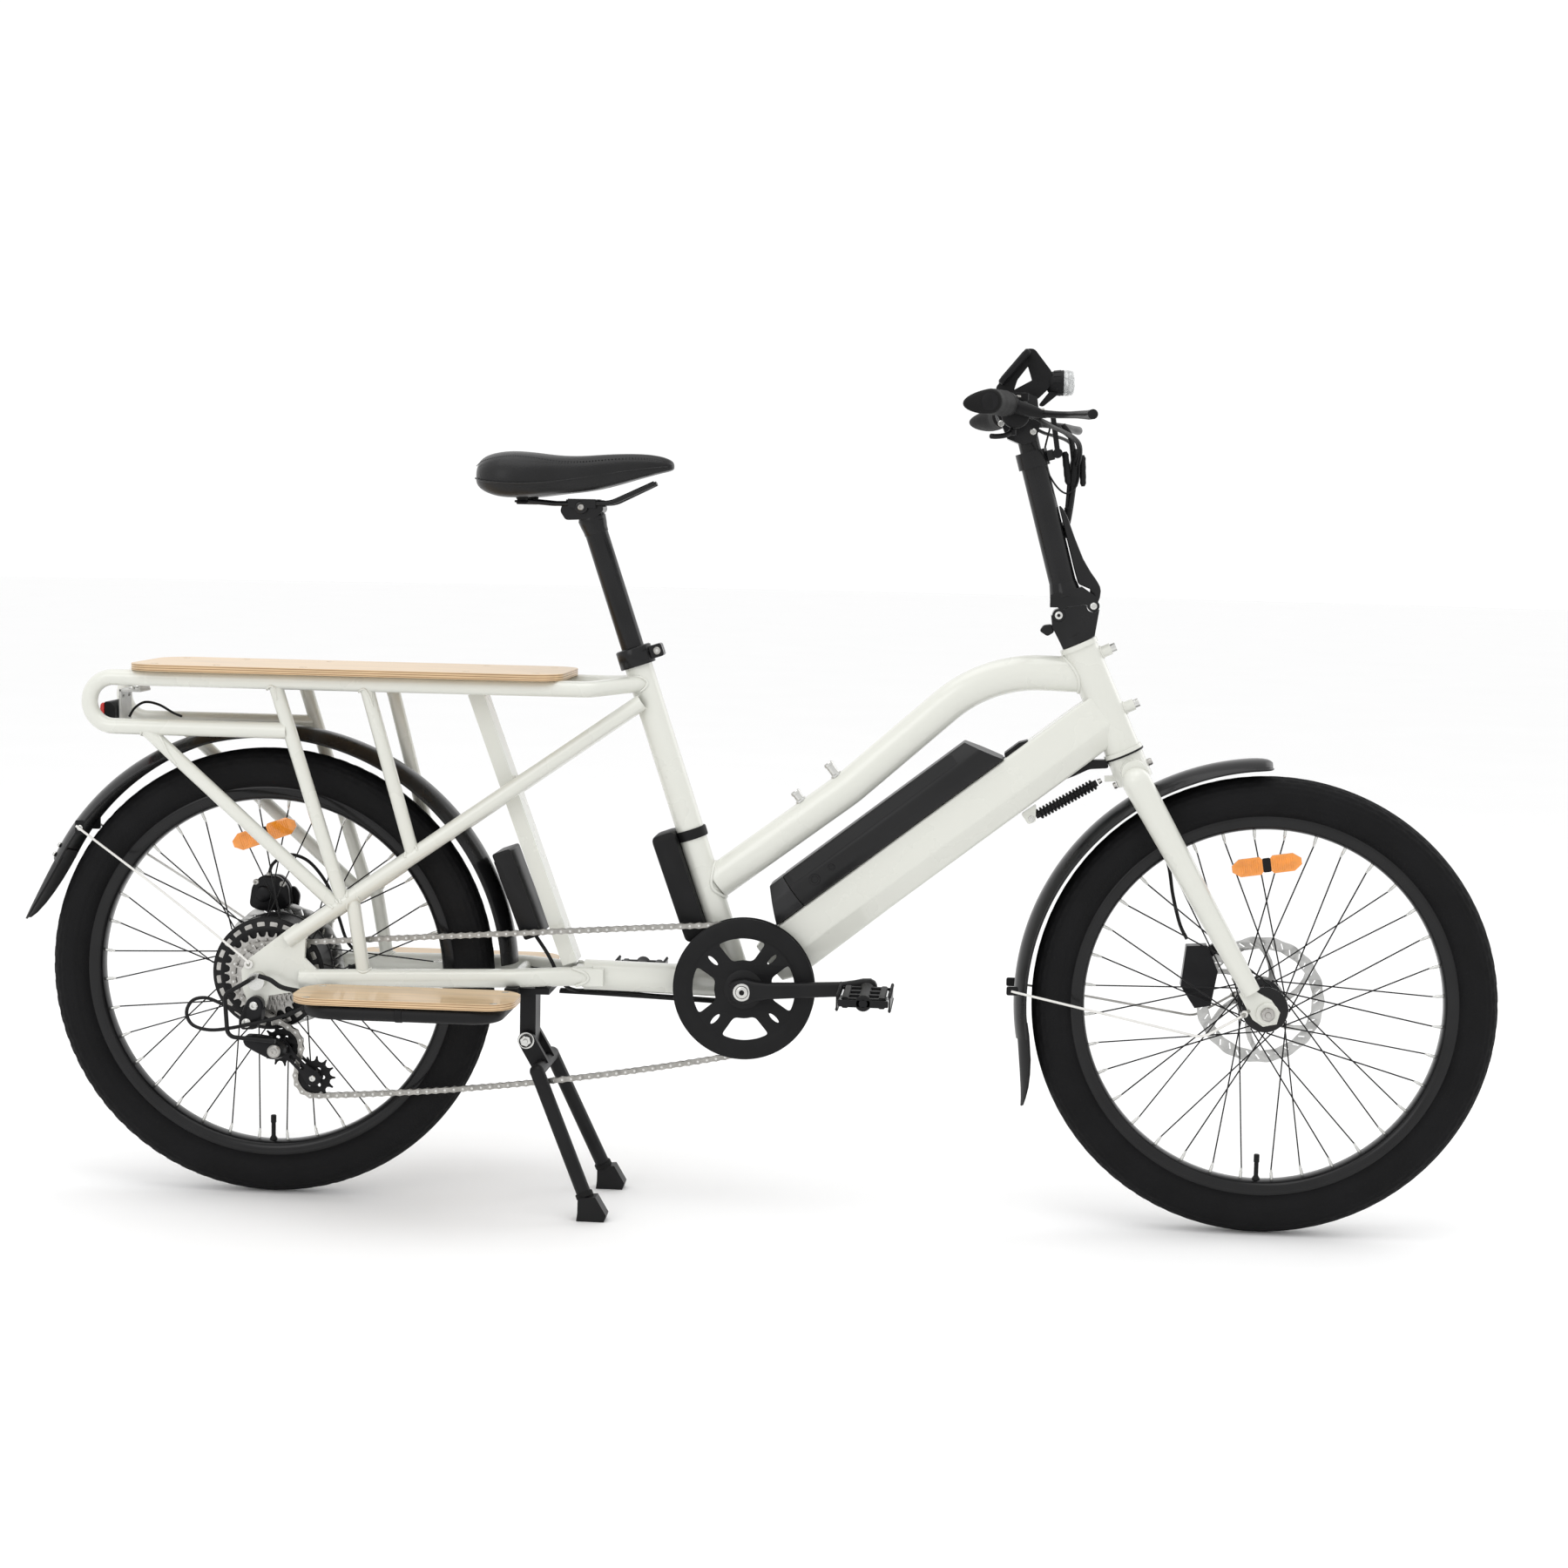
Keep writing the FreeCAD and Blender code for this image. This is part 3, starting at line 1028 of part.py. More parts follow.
def headlight():
    """A round lamp on a bracket ahead of the handlebar clamp."""
    x, z = on_post(BAR_HEIGHT)
    lamp = rod(vec(x + 34.0, 0, z + 34.0), vec(x + 66.0, 0, z + 34.0), 15.0, 17.5)
    lamp = lamp.fuse(rod(vec(x + 66.0, 0, z + 34.0), vec(x + 72.0, 0, z + 34.0), 17.5))
    bracket = beam((x + 22.0, z + 4.0), (x + 46.0, z + 22.0), 3.0, (-8.0, 8.0))
    clamp = riser()[0]
    display_arm = handlebar()[-1]
    return [joined([lamp, bracket]).cut(clamp).cut(display_arm)]


CABLE_POINTS = [(1052.0, 20.0, 1094.0), (1084.0, 20.0, 1080.0), (1092.0, 18.0, 1020.0),
                (1084.0, 16.0, 960.0), (1074.0, 24.0, 915.0), (1084.0, 34.0, 880.0)]


def front_cables():
    """The bundle of cables from the handlebar down the front of the post."""
    points = [vec(*point) for point in CABLE_POINTS]
    return [bent_rod(points, 4.5, 22.0)]


# ---- Seat, battery, stand -------------------------------------------------------------
def seat_post():
    post = rod(at(on_seat(-150.0)), at(on_seat(208.0)), SEAT_POST_RADIUS)
    post = post.cut(rod(at(on_seat(-150.0)), at(on_seat(200.0)), SEAT_POST_RADIUS - 2.5))
    head = prism([(406.0, 952.0), (452.0, 958.0), (456.0, 978.0), (408.0, 978.0)], (-16.0, 16.0))
    rails = []
    for side in (-1, 1):
        rails.append(bent_rod([vec(340.0, side * 30, 976.0), vec(392.0, side * 22, 972.0),
                               vec(470.0, side * 22, 974.0), vec(528.0, side * 12, 1002.0)], 3.5, 40.0))
    clamps = [slab((412.0, 450.0), sorted((side * 14, side * 27)), (967.0, 979.0)) for side in (-1, 1)]
    rail_room = rails[0].fuse(rails[1])
    body = joined([post, head] + clamps).cut(rail_room)
    pad = saddle()[0]
    return [body.cut(pad)] + [rail.cut(pad) for rail in rails]


def saddle():
    """The padded saddle, plain: its outline from above cut to its outline from the side."""
    half = [(286.0, 0.0), (288.0, 46.0), (302.0, 72.0), (330.0, 88.0), (362.0, 84.0), (400.0, 62.0),
            (440.0, 38.0), (490.0, 25.0), (540.0, 20.0), (555.0, 0.0)]
    other = [(x, -y) for x, y in reversed(half[1:-1])]
    corners = [vec(x, y, 940.0) for x, y in half + other]
    plan = Part.Face(Part.makePolygon(corners + corners[:1])).extrude(vec(0, 0, 120.0))
    side = [(286.0, 1000.0), (290.0, 1026.0), (310.0, 1040.0), (345.0, 1043.0), (405.0, 1036.0),
            (470.0, 1042.0), (538.0, 1041.0), (555.0, 1030.0), (552.0, 1018.0), (500.0, 1004.0),
            (440.0, 984.0), (390.0, 982.0), (330.0, 974.0), (296.0, 982.0)]
    return [plan.common(prism(side, (-100.0, 100.0)))]


def battery():
    """The battery pack on top of the down tube; it slides out to the left."""
    length = math.dist(DOWN_TUBE_FOOT, DOWN_TUBE_HEAD)
    ahead = ((DOWN_TUBE_HEAD[0] - DOWN_TUBE_FOOT[0]) / length,
             (DOWN_TUBE_HEAD[1] - DOWN_TUBE_FOOT[1]) / length)
    rise = 36.0 + BATTERY_LIFT
    ends = []
    for travel in BATTERY_TRAVEL:
        ends.append((DOWN_TUBE_FOOT[0] + ahead[0] * travel - ahead[1] * rise,
                     DOWN_TUBE_FOOT[1] + ahead[1] * travel + ahead[0] * rise))
    block = section_along(ends[0], ends[1], BATTERY_SIDE)
    height = BATTERY_SIDE[-1][1] + 10.0
    slopes = []
    for end, back in zip(ends, (30.0, -36.0)):
        top = (end[0] - ahead[1] * height, end[1] + ahead[0] * height)
        inner = (top[0] + ahead[0] * back, top[1] + ahead[1] * back)
        outer = (top[0] - ahead[0] * back, top[1] - ahead[1] * back)
        slopes.append(prism([end, inner, outer], (-60.0, 60.0)))
    return [trimmed(block, slopes)]


def kickstand():
    """A two-legged stand: side plates on the pivot, a cross bar, two legs and feet."""
    pivot, bar = KICKSTAND_PIVOT, STAND_BAR
    cheek = beam(pivot, bar, 12.0, (-29.2, -19.3)).fuse(disc(pivot, 12.0, (-29.2, -19.3)))
    cross = disc(bar, 10.0, (-62.0, 62.0))
    leg_top = at(bar, -60.0)
    ankle = vec(461.0, -87.0, 24.0)
    leg = rod(leg_top, ankle, 10.0).fuse(Part.makeSphere(10.0, leg_top))
    foot = prism([(452.0, 32.0), (448.0, 0.0), (486.0, 0.0), (489.0, 9.0), (474.0, 34.0)], (-100.0, -76.0))
    parts = [cheek, leg, foot]
    body = joined([cross] + both_sides(parts))
    body = body.cut(disc(pivot, 5.0 + RUNNING, (-40.0, 40.0)))
    return [body.cut(disc(pivot, 18.0, (-19.3, 19.3)))]


def all_nodes():
    """Every sub-part by name, in building order."""
    return {
        "head_tube": [head_tube()], "down_tube": [down_tube()], "top_tube": [top_tube()],
        "seat_tube": [seat_tube()], "main_tube": [main_tube()], "rear_stays": rear_stays(),
        "rack": rack_rails() + rack_struts(), "deck_board": [deck_board()],
        "footboards": footboards(), "footrest_tubes": footrest_tubes(),
        "fasteners": fasteners() + seat_clamp(),
        "rear_fender": rear_fender(), "rear_lines": rear_lines(), "tail_light": tail_light(),
        "electronics_boxes": electronics_boxes(),
        "rear_caliper": rear_caliper(), "chain": chain(), "seat_clamp_lever": seat_clamp_lever(),
        "seat_post": seat_post(), "saddle": saddle(), "battery": battery(),
        "fork_crown": fork_crown(), "fork_blades": fork_blades(), "front_fender": front_fender(),
        "front_axle": front_axle(), "front_caliper": front_caliper(), "stem_base": stem_base(),
        "damper_spring": damper_spring(), "front_tyre": tyre(FRONT_AXLE), "front_rim": rim(FRONT_AXLE),
        "front_hub": front_hub(), "front_rotor": rotor(FRONT_AXLE, FRONT_ROTOR_Y, 14.0),
        "front_spokes": front_spokes(), "rear_tyre": tyre(REAR_AXLE), "rear_rim": rim(REAR_AXLE),
        "rear_hub": rear_hub(), "rear_rotor": rotor(REAR_AXLE, REAR_ROTOR_Y, 14.0),
        "rear_spokes": rear_spokes(), "chainring": chainring(), "crank_arms": crank_arms(),
        "pedal_right": pedal(-1), "pedal_left": pedal(1), "sprockets": sprockets(),
        "derailleur_body": derailleur_body(), "derailleur_knuckle": derailleur_knuckle(),
        "derailleur_cage": derailleur_cage(),
        "jockey_upper": jockey(UPPER_PULLEY), "jockey_lower": jockey(LOWER_PULLEY),
        "kickstand": kickstand(), "handlepost": handlepost(), "post_latch": post_latch(),
        "riser": riser(), "height_lever": height_lever(), "handlebar": handlebar(), "grips": grips(),
        "brake_lever_right": brake_lever(-1), "brake_lever_left": brake_lever(1),
        "shifter_lever": shifter_lever(), "headlight": headlight(), "front_cables": front_cables(),
    }


os.makedirs("parts", exist_ok=True)
for node, shapes in all_nodes().items():
    export(node, shapes)
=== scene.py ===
"""Looks of the long-tail cargo bicycle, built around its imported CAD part.

Lengths in this script are millimetres measured as in the CAD: x from the rear axle,
y to the rider's left and z up from the ground.  Shape.done() turns them into the
frame's metres, from the place of the rear wheel's joint.
"""

import json
import math

import bmesh
import bpy
from mathutils import Matrix, Vector
from mathutils.bvhtree import BVHTree


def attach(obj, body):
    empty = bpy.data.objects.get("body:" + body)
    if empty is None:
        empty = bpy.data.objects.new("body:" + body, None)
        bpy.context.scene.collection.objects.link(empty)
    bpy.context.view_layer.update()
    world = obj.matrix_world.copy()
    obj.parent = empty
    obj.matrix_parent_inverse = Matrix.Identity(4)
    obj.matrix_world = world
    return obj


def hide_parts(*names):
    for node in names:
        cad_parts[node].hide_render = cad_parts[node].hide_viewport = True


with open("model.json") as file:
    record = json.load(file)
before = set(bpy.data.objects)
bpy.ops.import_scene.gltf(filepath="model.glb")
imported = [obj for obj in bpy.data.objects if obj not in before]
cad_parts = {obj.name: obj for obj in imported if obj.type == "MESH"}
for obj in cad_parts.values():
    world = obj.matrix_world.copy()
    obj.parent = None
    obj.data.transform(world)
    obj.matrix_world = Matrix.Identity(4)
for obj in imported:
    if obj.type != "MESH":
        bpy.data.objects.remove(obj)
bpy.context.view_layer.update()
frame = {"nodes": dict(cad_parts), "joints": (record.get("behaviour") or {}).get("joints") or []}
JOINTS = {joint["name"]: joint for joint in frame["joints"]}
AXLE_X = JOINTS["rear_wheel_spin"]["pos_m"][0]


def joint_point(name):
    """A joint's place in the design's millimetres."""
    x, _, z = JOINTS[name]["pos_m"]
    return ((x - AXLE_X) * 1000, z * 1000)


REAR = joint_point("rear_wheel_spin")
FRONT = joint_point("front_wheel_spin")
CRANK = joint_point("crank_spin")
PULLEYS = (joint_point("pulley_upper_spin"), joint_point("pulley_lower_spin"))
PEDALS = {-1: joint_point("pedal_right_spin"), 1: joint_point("pedal_left_spin")}
HEAD_BOTTOM, HEAD_TOP = (1172.8, 650.4), (1105.4, 799.3)
SEAT_TOP, SEAT_LEAN = (508.3, 754.0), 0.3368
POST_FOOT, POST_LEAN = (1088.9, 856.0), 0.275
BAR_HEIGHT, BAR_HALF_WIDTH = 266.0, 332.0
FOLD_PIN = joint_point("stem_fold")
STAND_PIVOT = joint_point("kickstand_fold")
LATCH_PIN = joint_point("post_latch_swing")
STAND_BAR = (385.0, 197.0)
PITCH = 12.7
CHAIN_Y = -45.0
RING_TEETH, DRIVEN_TEETH, PULLEY_TEETH = 44, 22, 13
SPROCKETS = (28, 24, 22, 20, 18, 16, 14)
CHAIN_SLACK = 12.0
SPOKES = 36
REFLECTOR_RADIUS = 194.0
BATTERY_HEIGHT = 50.0
BEAM_TOP, BATTERY_FLOOR = 36.0, 36.4      # heights above the down tube's centre line
FLOOR_RADIUS = 30.0


# ---- Places ------------------------------------------------------------------------
def polar(centre, radius, degrees):
    """A point at a distance and angle from a centre."""
    angle = math.radians(degrees)
    return (centre[0] + radius * math.cos(angle), centre[1] + radius * math.sin(angle))


def along(foot, lean, distance, forward=0.0):
    """A point up a leaning line, and a distance ahead of it."""
    length = math.hypot(1.0, lean)
    up = (-lean / length, 1.0 / length)
    return (foot[0] + up[0] * distance + up[1] * forward,
            foot[1] + up[1] * distance - up[0] * forward)


def on_head(distance, forward=0.0):
    lean = (HEAD_BOTTOM[0] - HEAD_TOP[0]) / (HEAD_TOP[1] - HEAD_BOTTOM[1])
    return along(HEAD_BOTTOM, lean, distance, forward)


def on_seat(distance, forward=0.0):
    return along(SEAT_TOP, SEAT_LEAN, distance, forward)


def on_post(distance, forward=0.0):
    return along(POST_FOOT, POST_LEAN, distance, forward)


def bar_point(y, ahead=0.0, up=0.0):
    """A point on the handlebar's swept centre line."""
    x, z = on_post(BAR_HEIGHT)
    share = max(0.0, (abs(y) - 60.0) / (BAR_HALF_WIDTH - 60.0))
    return Vector((x - 40.0 * share + ahead, y, z - 6.0 * share + up))


def at(point, y=0.0):
    return Vector((point[0], y, point[1]))


def smooth_path(points, steps=8):
    """A smooth line through the points."""
    points = [Vector(p) for p in points]
    line = []
    padded = [points[0] * 2 - points[1]] + points + [points[-1] * 2 - points[-2]]
    for a, b, c, d in zip(padded, padded[1:], padded[2:], padded[3:]):
        for step in range(steps):
            t = step / steps
            line.append(0.5 * (2 * b + (c - a) * t + (2 * a - 5 * b + 4 * c - d) * t * t
                               + (3 * b - a - 3 * c + d) * t ** 3))
    return line + [points[-1]]


def route(points, bend, steps=8):
    """Straight runs joined by tangent arcs of one radius."""
    points = [Vector(p) for p in points]
    line = [points[0]]
    for before, corner, after in zip(points, points[1:], points[2:]):
        arriving, leaving = (corner - before).normalized(), (after - corner).normalized()
        turn = arriving.angle(leaving)
        setback = bend * math.tan(turn / 2)
        centre = corner + (leaving - arriving).normalized() * (bend / math.cos(turn / 2))
        first = corner - arriving * setback - centre
        normal = arriving.cross(leaving).normalized()
        for step in range(steps + 1):
            line.append(centre + Matrix.Rotation(turn * step / steps, 3, normal) @ first)
    return line + [points[-1]]


def rounded(points, radius, steps=4):
    """A closed 2D outline with its corners rounded."""
    outline = []
    count = len(points)
    for index in range(count):
        corner = Vector(points[index])
        before = (Vector(points[index - 1]) - corner)
        after = (Vector(points[(index + 1) % count]) - corner)
        reach = min(radius, before.length * 0.48, after.length * 0.48)
        start, end = corner + before.normalized() * reach, corner + after.normalized() * reach
        for step in range(steps + 1):
            t = step / steps
            outline.append(tuple(start * (1 - t) ** 2 + corner * 2 * t * (1 - t) + end * t * t))
    return outline


def block_outline(half_width, half_height, radius, steps=4):
    """A rounded rectangle about the origin."""
    return rounded([(-half_width, -half_height), (half_width, -half_height),
                    (half_width, half_height), (-half_width, half_height)], radius, steps)


def circle(radius, count=24):
    return [(radius * math.cos(math.tau * k / count), radius * math.sin(math.tau * k / count))
            for k in range(count)]


def ring_hole(centre, radius, step):
    """A round opening, with a point every few degrees."""
    return [polar(centre, radius, a) for a in range(0, 360, step)]


# ---- Mesh builder --------------------------------------------------------------------
class Shape:
    """Collects the mesh of one piece."""

    def __init__(self):
        self.verts = []
        self.faces = []

    def add(self, verts, faces):
        base = len(self.verts)
        self.verts += [Vector(v) for v in verts]
        self.faces += [tuple(base + index for index in face) for face in faces]
        return self

    def loft(self, rings, caps=True, loop=False):
        """Skins closed rings that have one count of points."""
        count = len(rings[0])
        verts = [v for ring in rings for v in ring]
        faces = []
        pairs = len(rings) if loop else len(rings) - 1
        for row in range(pairs):
            here, there = row * count, ((row + 1) % len(rings)) * count
            for k in range(count):
                n = (k + 1) % count
                faces.append((here + k, here + n, there + n, there + k))
        if caps and not loop:
            faces.append(tuple(range(count - 1, -1, -1)))
            faces.append(tuple(range((len(rings) - 1) * count, len(rings) * count)))
        return self.add(verts, faces)

    def tube(self, path, radius, sides=12, loop=False):
        """A round bar along a line; radius may be a list with one value for each point."""
        path = [Vector(p) for p in path]
        radii = radius if isinstance(radius, (list, tuple)) else [radius] * len(path)
        last = len(path) - 1
        tangents = []
        for k in range(len(path)):
            before = path[k - 1] if (k or loop) else path[0]
            after = path[(k + 1) % len(path)] if (k < last or loop) else path[-1]
            tangents.append((after - before).normalized())
        side = tangents[0].orthogonal().normalized()
        if abs(tangents[0].y) < 0.9:
            side = Vector((0, 1, 0)).cross(tangents[0]).normalized()
        rings = []
        for point, tangent, r in zip(path, tangents, radii):
            side = (side - tangent * side.dot(tangent)).normalized()
            other = tangent.cross(side)
            rings.append([point + (side * x + other * y) * r for x, y in circle(1.0, sides)])
        return self.loft(rings, loop=loop)

    def rod(self, start, end, radius, end_radius=None, sides=24):
        end_radius = radius if end_radius is None else end_radius
        return self.tube([start, end], [radius, end_radius], sides)

    def spin(self, origin, axis, profile, steps=96, closed=True):
        """Turns (radius, along) points about an axis; an open profile isn't joined end to start."""
        origin, axis = Vector(origin), Vector(axis).normalized()
        side = Vector((1, 0, 0)) if abs(axis.x) < 0.9 else Vector((0, 0, 1))
        side = (side - axis * side.dot(axis)).normalized()
        other = axis.cross(side)
        rings = []
        for k in range(steps):
            angle = math.radians(360.0 * k / steps)
            out = side * math.cos(angle) + other * math.sin(angle)
            rings.append([origin + out * r + axis * a for r, a in profile])
        if closed:
            return self.loft(rings, loop=True)
        count = len(profile)
        verts = [v for ring in rings for v in ring]
        faces = []
        for row in range(steps):
            here, there = row * count, ((row + 1) % steps) * count
            for k in range(count - 1):
                faces.append((here + k, here + k + 1, there + k + 1, there + k))
        return self.add(verts, faces)

    def plate(self, outline, y_low, y_high):
        """An outline of XZ points between two y planes."""
        rings = [[Vector((x, y, z)) for x, z in outline] for y in (y_low, y_high)]
        return self.loft(rings)

    def bar(self, start, end, half_section):
        """A section of (side, up) points along a line in the XZ plane."""
        start, end = Vector(start), Vector(end)
        ahead = (end - start).normalized()
        side = Vector((0, 1, 0))
        up = ahead.cross(side) * -1
        return self.loft([[p + side * a + up * b for a, b in half_section] for p in (start, end)])

    def layers(self, outline, centre, rows):
        """Skins one XZ outline at each (y, size), scaled about its centre."""
        cx, cz = centre
        return self.loft([[Vector((cx + (x - cx) * size, y, cz + (z - cz) * size)) for x, z in outline]
                          for y, size in rows])

    def box(self, centre, size, radius):
        """A block with rounded corners in its XZ outline."""
        x, y, z = size[0] / 2, size[1] / 2, size[2] / 2
        outline = [(centre[0] + a, centre[2] + b) for a, b in block_outline(x, z, radius)]
        return self.plate(outline, centre[1] - y, centre[1] + y)

    def sheet(self, outline, holes, place, thickness, edge=0.0):
        """A flat plate with holes: 2D points, set in place by place(u, v, height)."""
        data = bpy.data.curves.new("outline", "CURVE")
        data.dimensions, data.fill_mode = "2D", "BOTH"
        data.extrude = thickness / 2 - edge
        data.bevel_depth, data.bevel_resolution = edge, 1
        for points in [outline] + list(holes):
            spline = data.splines.new("POLY")
            spline.points.add(len(points) - 1)
            for point, (u, v) in zip(spline.points, points):
                point.co = (u, v, 0, 1)
            spline.use_cyclic_u = True
        holder = bpy.data.objects.new("outline", data)
        bpy.context.scene.collection.objects.link(holder)
        made = bpy.data.meshes.new_from_object(holder)
        self.add([place(*v.co) for v in made.vertices], [tuple(p.vertices) for p in made.polygons])
        bpy.data.objects.remove(holder)
        bpy.data.meshes.remove(made)
        bpy.data.curves.remove(data)
        return self

    def bolt(self, point, axis, radius, height=None, hexagon=False):
        """A socket-head bolt, or a hexagon nut with a domed end."""
        height = height or radius * 0.8
        r = radius
        if hexagon:
            rings = []
            axis = Vector(axis).normalized()
            side = axis.orthogonal().normalized()
            other = axis.cross(side)
            for a, s in ((0, 1.0), (height * 0.85, 1.0), (height, 0.86)):
                rings.append([Vector(point) + axis * a + (side * x + other * y) * s
                              for x, y in circle(r, 6)])
            self.loft(rings)
            return self.spin(Vector(point) + axis * height, axis,
                             [(0, r * 0.4), (r * 0.4, r * 0.3), (r * 0.5, -1)],
                             16, closed=False)
        profile = [(0, height - r * 0.5), (r * 0.42, height - r * 0.5), (r * 0.45, height),
                   (r * 0.8, height),
                   (r, height * 0.7), (r, -0.4)]
        return self.spin(point, axis, profile, 18, closed=False)

    def done(self, name, material, slot, body, stands_for=(), bevel=0.0, angle=38, subdivide=0):
        """Makes the piece: its finish, its body, and the CAD nodes that it stands for."""
        mesh = bpy.data.meshes.new(name)
        place = Vector((AXLE_X, 0, 0))
        mesh.from_pydata([place + v / 1000 for v in self.verts], [], self.faces)
        work = bmesh.new()
        work.from_mesh(mesh)
        bmesh.ops.remove_doubles(work, verts=work.verts, dist=1e-6)
        bmesh.ops.dissolve_degenerate(work, dist=1e-7, edges=work.edges)
        bmesh.ops.recalc_face_normals(work, faces=work.faces)
        for edge in work.edges:
            if len(edge.link_faces) == 2 and edge.calc_face_angle(0.0) > math.radians(angle):
                edge.smooth = False
        for face in work.faces:
            face.smooth = True
        work.to_mesh(mesh)
        work.free()
        obj = bpy.data.objects.new(name, mesh)
        bpy.context.scene.collection.objects.link(obj)
        mesh.materials.append(MATERIALS[material])
        if bevel:
            soften(obj, bevel, angle)
        if subdivide:
            step = obj.modifiers.new("rounding", "SUBSURF")
            step.levels = step.render_levels = subdivide
        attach(obj, body)
        if stands_for:
            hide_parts(*stands_for)
        return obj


def soften(obj, width, angle=38):
    """A small rounded edge, as paint and moulding leave."""
    step = obj.modifiers.new("edge", "BEVEL")
    step.width = width / 1000
    step.segments = 2
    step.limit_method = "ANGLE"
    step.angle_limit = math.radians(angle)
    step.harden_normals = True


def flat(y):
    """Places a 2D plate upright in the plane at y."""
    return lambda u, v, w: (u, y + w, v)


def turned(points, centre, degrees=0.0):
    """2D points turned about the origin and moved to a centre."""
    c, s = math.cos(math.radians(degrees)), math.sin(math.radians(degrees))
    return [(centre[0] + u * c - v * s, centre[1] + u * s + v * c) for u, v in points]


# ---- Materials ------------------------------------------------------------------------
MATERIALS = {}
GLOSS_SPREAD = 0.05


def ramp(nodes, stops):
    """A colour ramp from (position, colour) stops."""
    node = nodes.new("ShaderNodeValToRGB")
    node.color_ramp.elements[0].position, node.color_ramp.elements[0].color = stops[0][0], (*stops[0][1], 1)
    node.color_ramp.elements[1].position, node.color_ramp.elements[1].color = stops[-1][0], (*stops[-1][1],
            1)
    for position, colour in stops[1:-1]:
        node.color_ramp.elements.new(position).color = (*colour, 1)
    return node


def surface(name, colour, rough, metal=0.0, coat=0.0, tone=0.05, patch=30.0, grain=600.0,
            bump=0.05, depth=0.0002, texture="NOISE", sheen=0.0, stretch=(1, 1, 1),
            specular=0.5):
    """A finish with slow colour variation, uneven gloss and a fine raised grain."""
    material = bpy.data.materials.new(name)
    material.use_nodes = True
    nodes, links = material.node_tree.nodes, material.node_tree.links
    shader = nodes["Principled BSDF"]
    shader.inputs["Metallic"].default_value = metal
    shader.inputs["Coat Weight"].default_value = coat
    shader.inputs["Coat Roughness"].default_value = 0.06
    shader.inputs["Sheen Weight"].default_value = sheen
    shader.inputs["Specular IOR Level"].default_value = specular
    place = nodes.new("ShaderNodeTexCoord")
    mapping = nodes.new("ShaderNodeMapping")
    mapping.inputs["Scale"].default_value = stretch
    links.new(place.outputs["Object"], mapping.inputs["Vector"])
    patches = nodes.new("ShaderNodeTexNoise")
    patches.inputs["Scale"].default_value = patch
    patches.inputs["Detail"].default_value = 5.0
    links.new(mapping.outputs["Vector"], patches.inputs["Vector"])
    low = tuple(c * (1 - tone) for c in colour)
    high = tuple(min(1.0, c * (1 + tone)) for c in colour)
    tint = ramp(nodes, [(0.3, low), (0.7, high)])
    links.new(patches.outputs["Fac"], tint.inputs["Fac"])
    links.new(tint.outputs["Color"], shader.inputs["Base Color"])
    if texture == "VORONOI":
        fine = nodes.new("ShaderNodeTexVoronoi")
        height = fine.outputs["Distance"]
    else:
        fine = nodes.new("ShaderNodeTexNoise")
        fine.inputs["Detail"].default_value = 3.0
        height = fine.outputs["Fac"]
    fine.inputs["Scale"].default_value = grain
    links.new(mapping.outputs["Vector"], fine.inputs["Vector"])
    gloss = ramp(nodes, [(0.25, (max(0.02, rough - GLOSS_SPREAD),) * 3),
                         (0.75, (rough + GLOSS_SPREAD,) * 3)])
    links.new(patches.outputs["Fac"], gloss.inputs["Fac"])
    links.new(gloss.outputs["Color"], shader.inputs["Roughness"])
    relief = nodes.new("ShaderNodeBump")
    relief.inputs["Strength"].default_value = bump
    relief.inputs["Distance"].default_value = depth
    links.new(height, relief.inputs["Height"])
    links.new(relief.outputs["Normal"], shader.inputs["Normal"])
    MATERIALS[name] = material
    return material


def plywood(name, foot_z):
    """Birch ply: long grain on the faces and dark glue lines on the edges."""
    material = surface(name, (0.60, 0.43, 0.25), 0.42, coat=0.25, tone=0.16, patch=24.0, grain=260.0,
                       bump=0.12, stretch=(0.35, 3.5, 1.0))
    nodes, links = material.node_tree.nodes, material.node_tree.links
    shader = nodes["Principled BSDF"]
    tint = shader.inputs["Base Color"].links[0].from_node
    place = nodes.new("ShaderNodeTexCoord")
    layers = nodes.new("ShaderNodeTexWave")
    layers.wave_type, layers.bands_direction, layers.wave_profile = "BANDS", "Z", "SIN"
    layers.inputs["Scale"].default_value = math.tau / (20 * 0.003)
    layers.inputs["Distortion"].default_value = 0.0
    layers.inputs["Phase Offset"].default_value = -(math.tau * foot_z / 3.0) % math.tau
    links.new(place.outputs["Object"], layers.inputs["Vector"])
    lines = ramp(nodes, [(0.62, (1, 1, 1)), (0.9, (0.42, 0.30, 0.20))])
    links.new(layers.outputs["Fac"], lines.inputs["Fac"])
    both = nodes.new("ShaderNodeMixRGB")
    both.blend_type = "MULTIPLY"
    both.inputs["Fac"].default_value = 1.0
    links.new(tint.outputs["Color"], both.inputs["Color1"])
    links.new(lines.outputs["Color"], both.inputs["Color2"])
    links.new(both.outputs["Color"], shader.inputs["Base Color"])


def glass(name, colour, clear):
    """A clear or tinted lens; clear is the share of light it lets through."""
    material = surface(name, colour, 0.08, coat=1.0, tone=0.12, patch=90.0, bump=0.15, grain=420.0)
    shader = material.node_tree.nodes["Principled BSDF"]
    shader.inputs["Transmission Weight"].default_value = clear


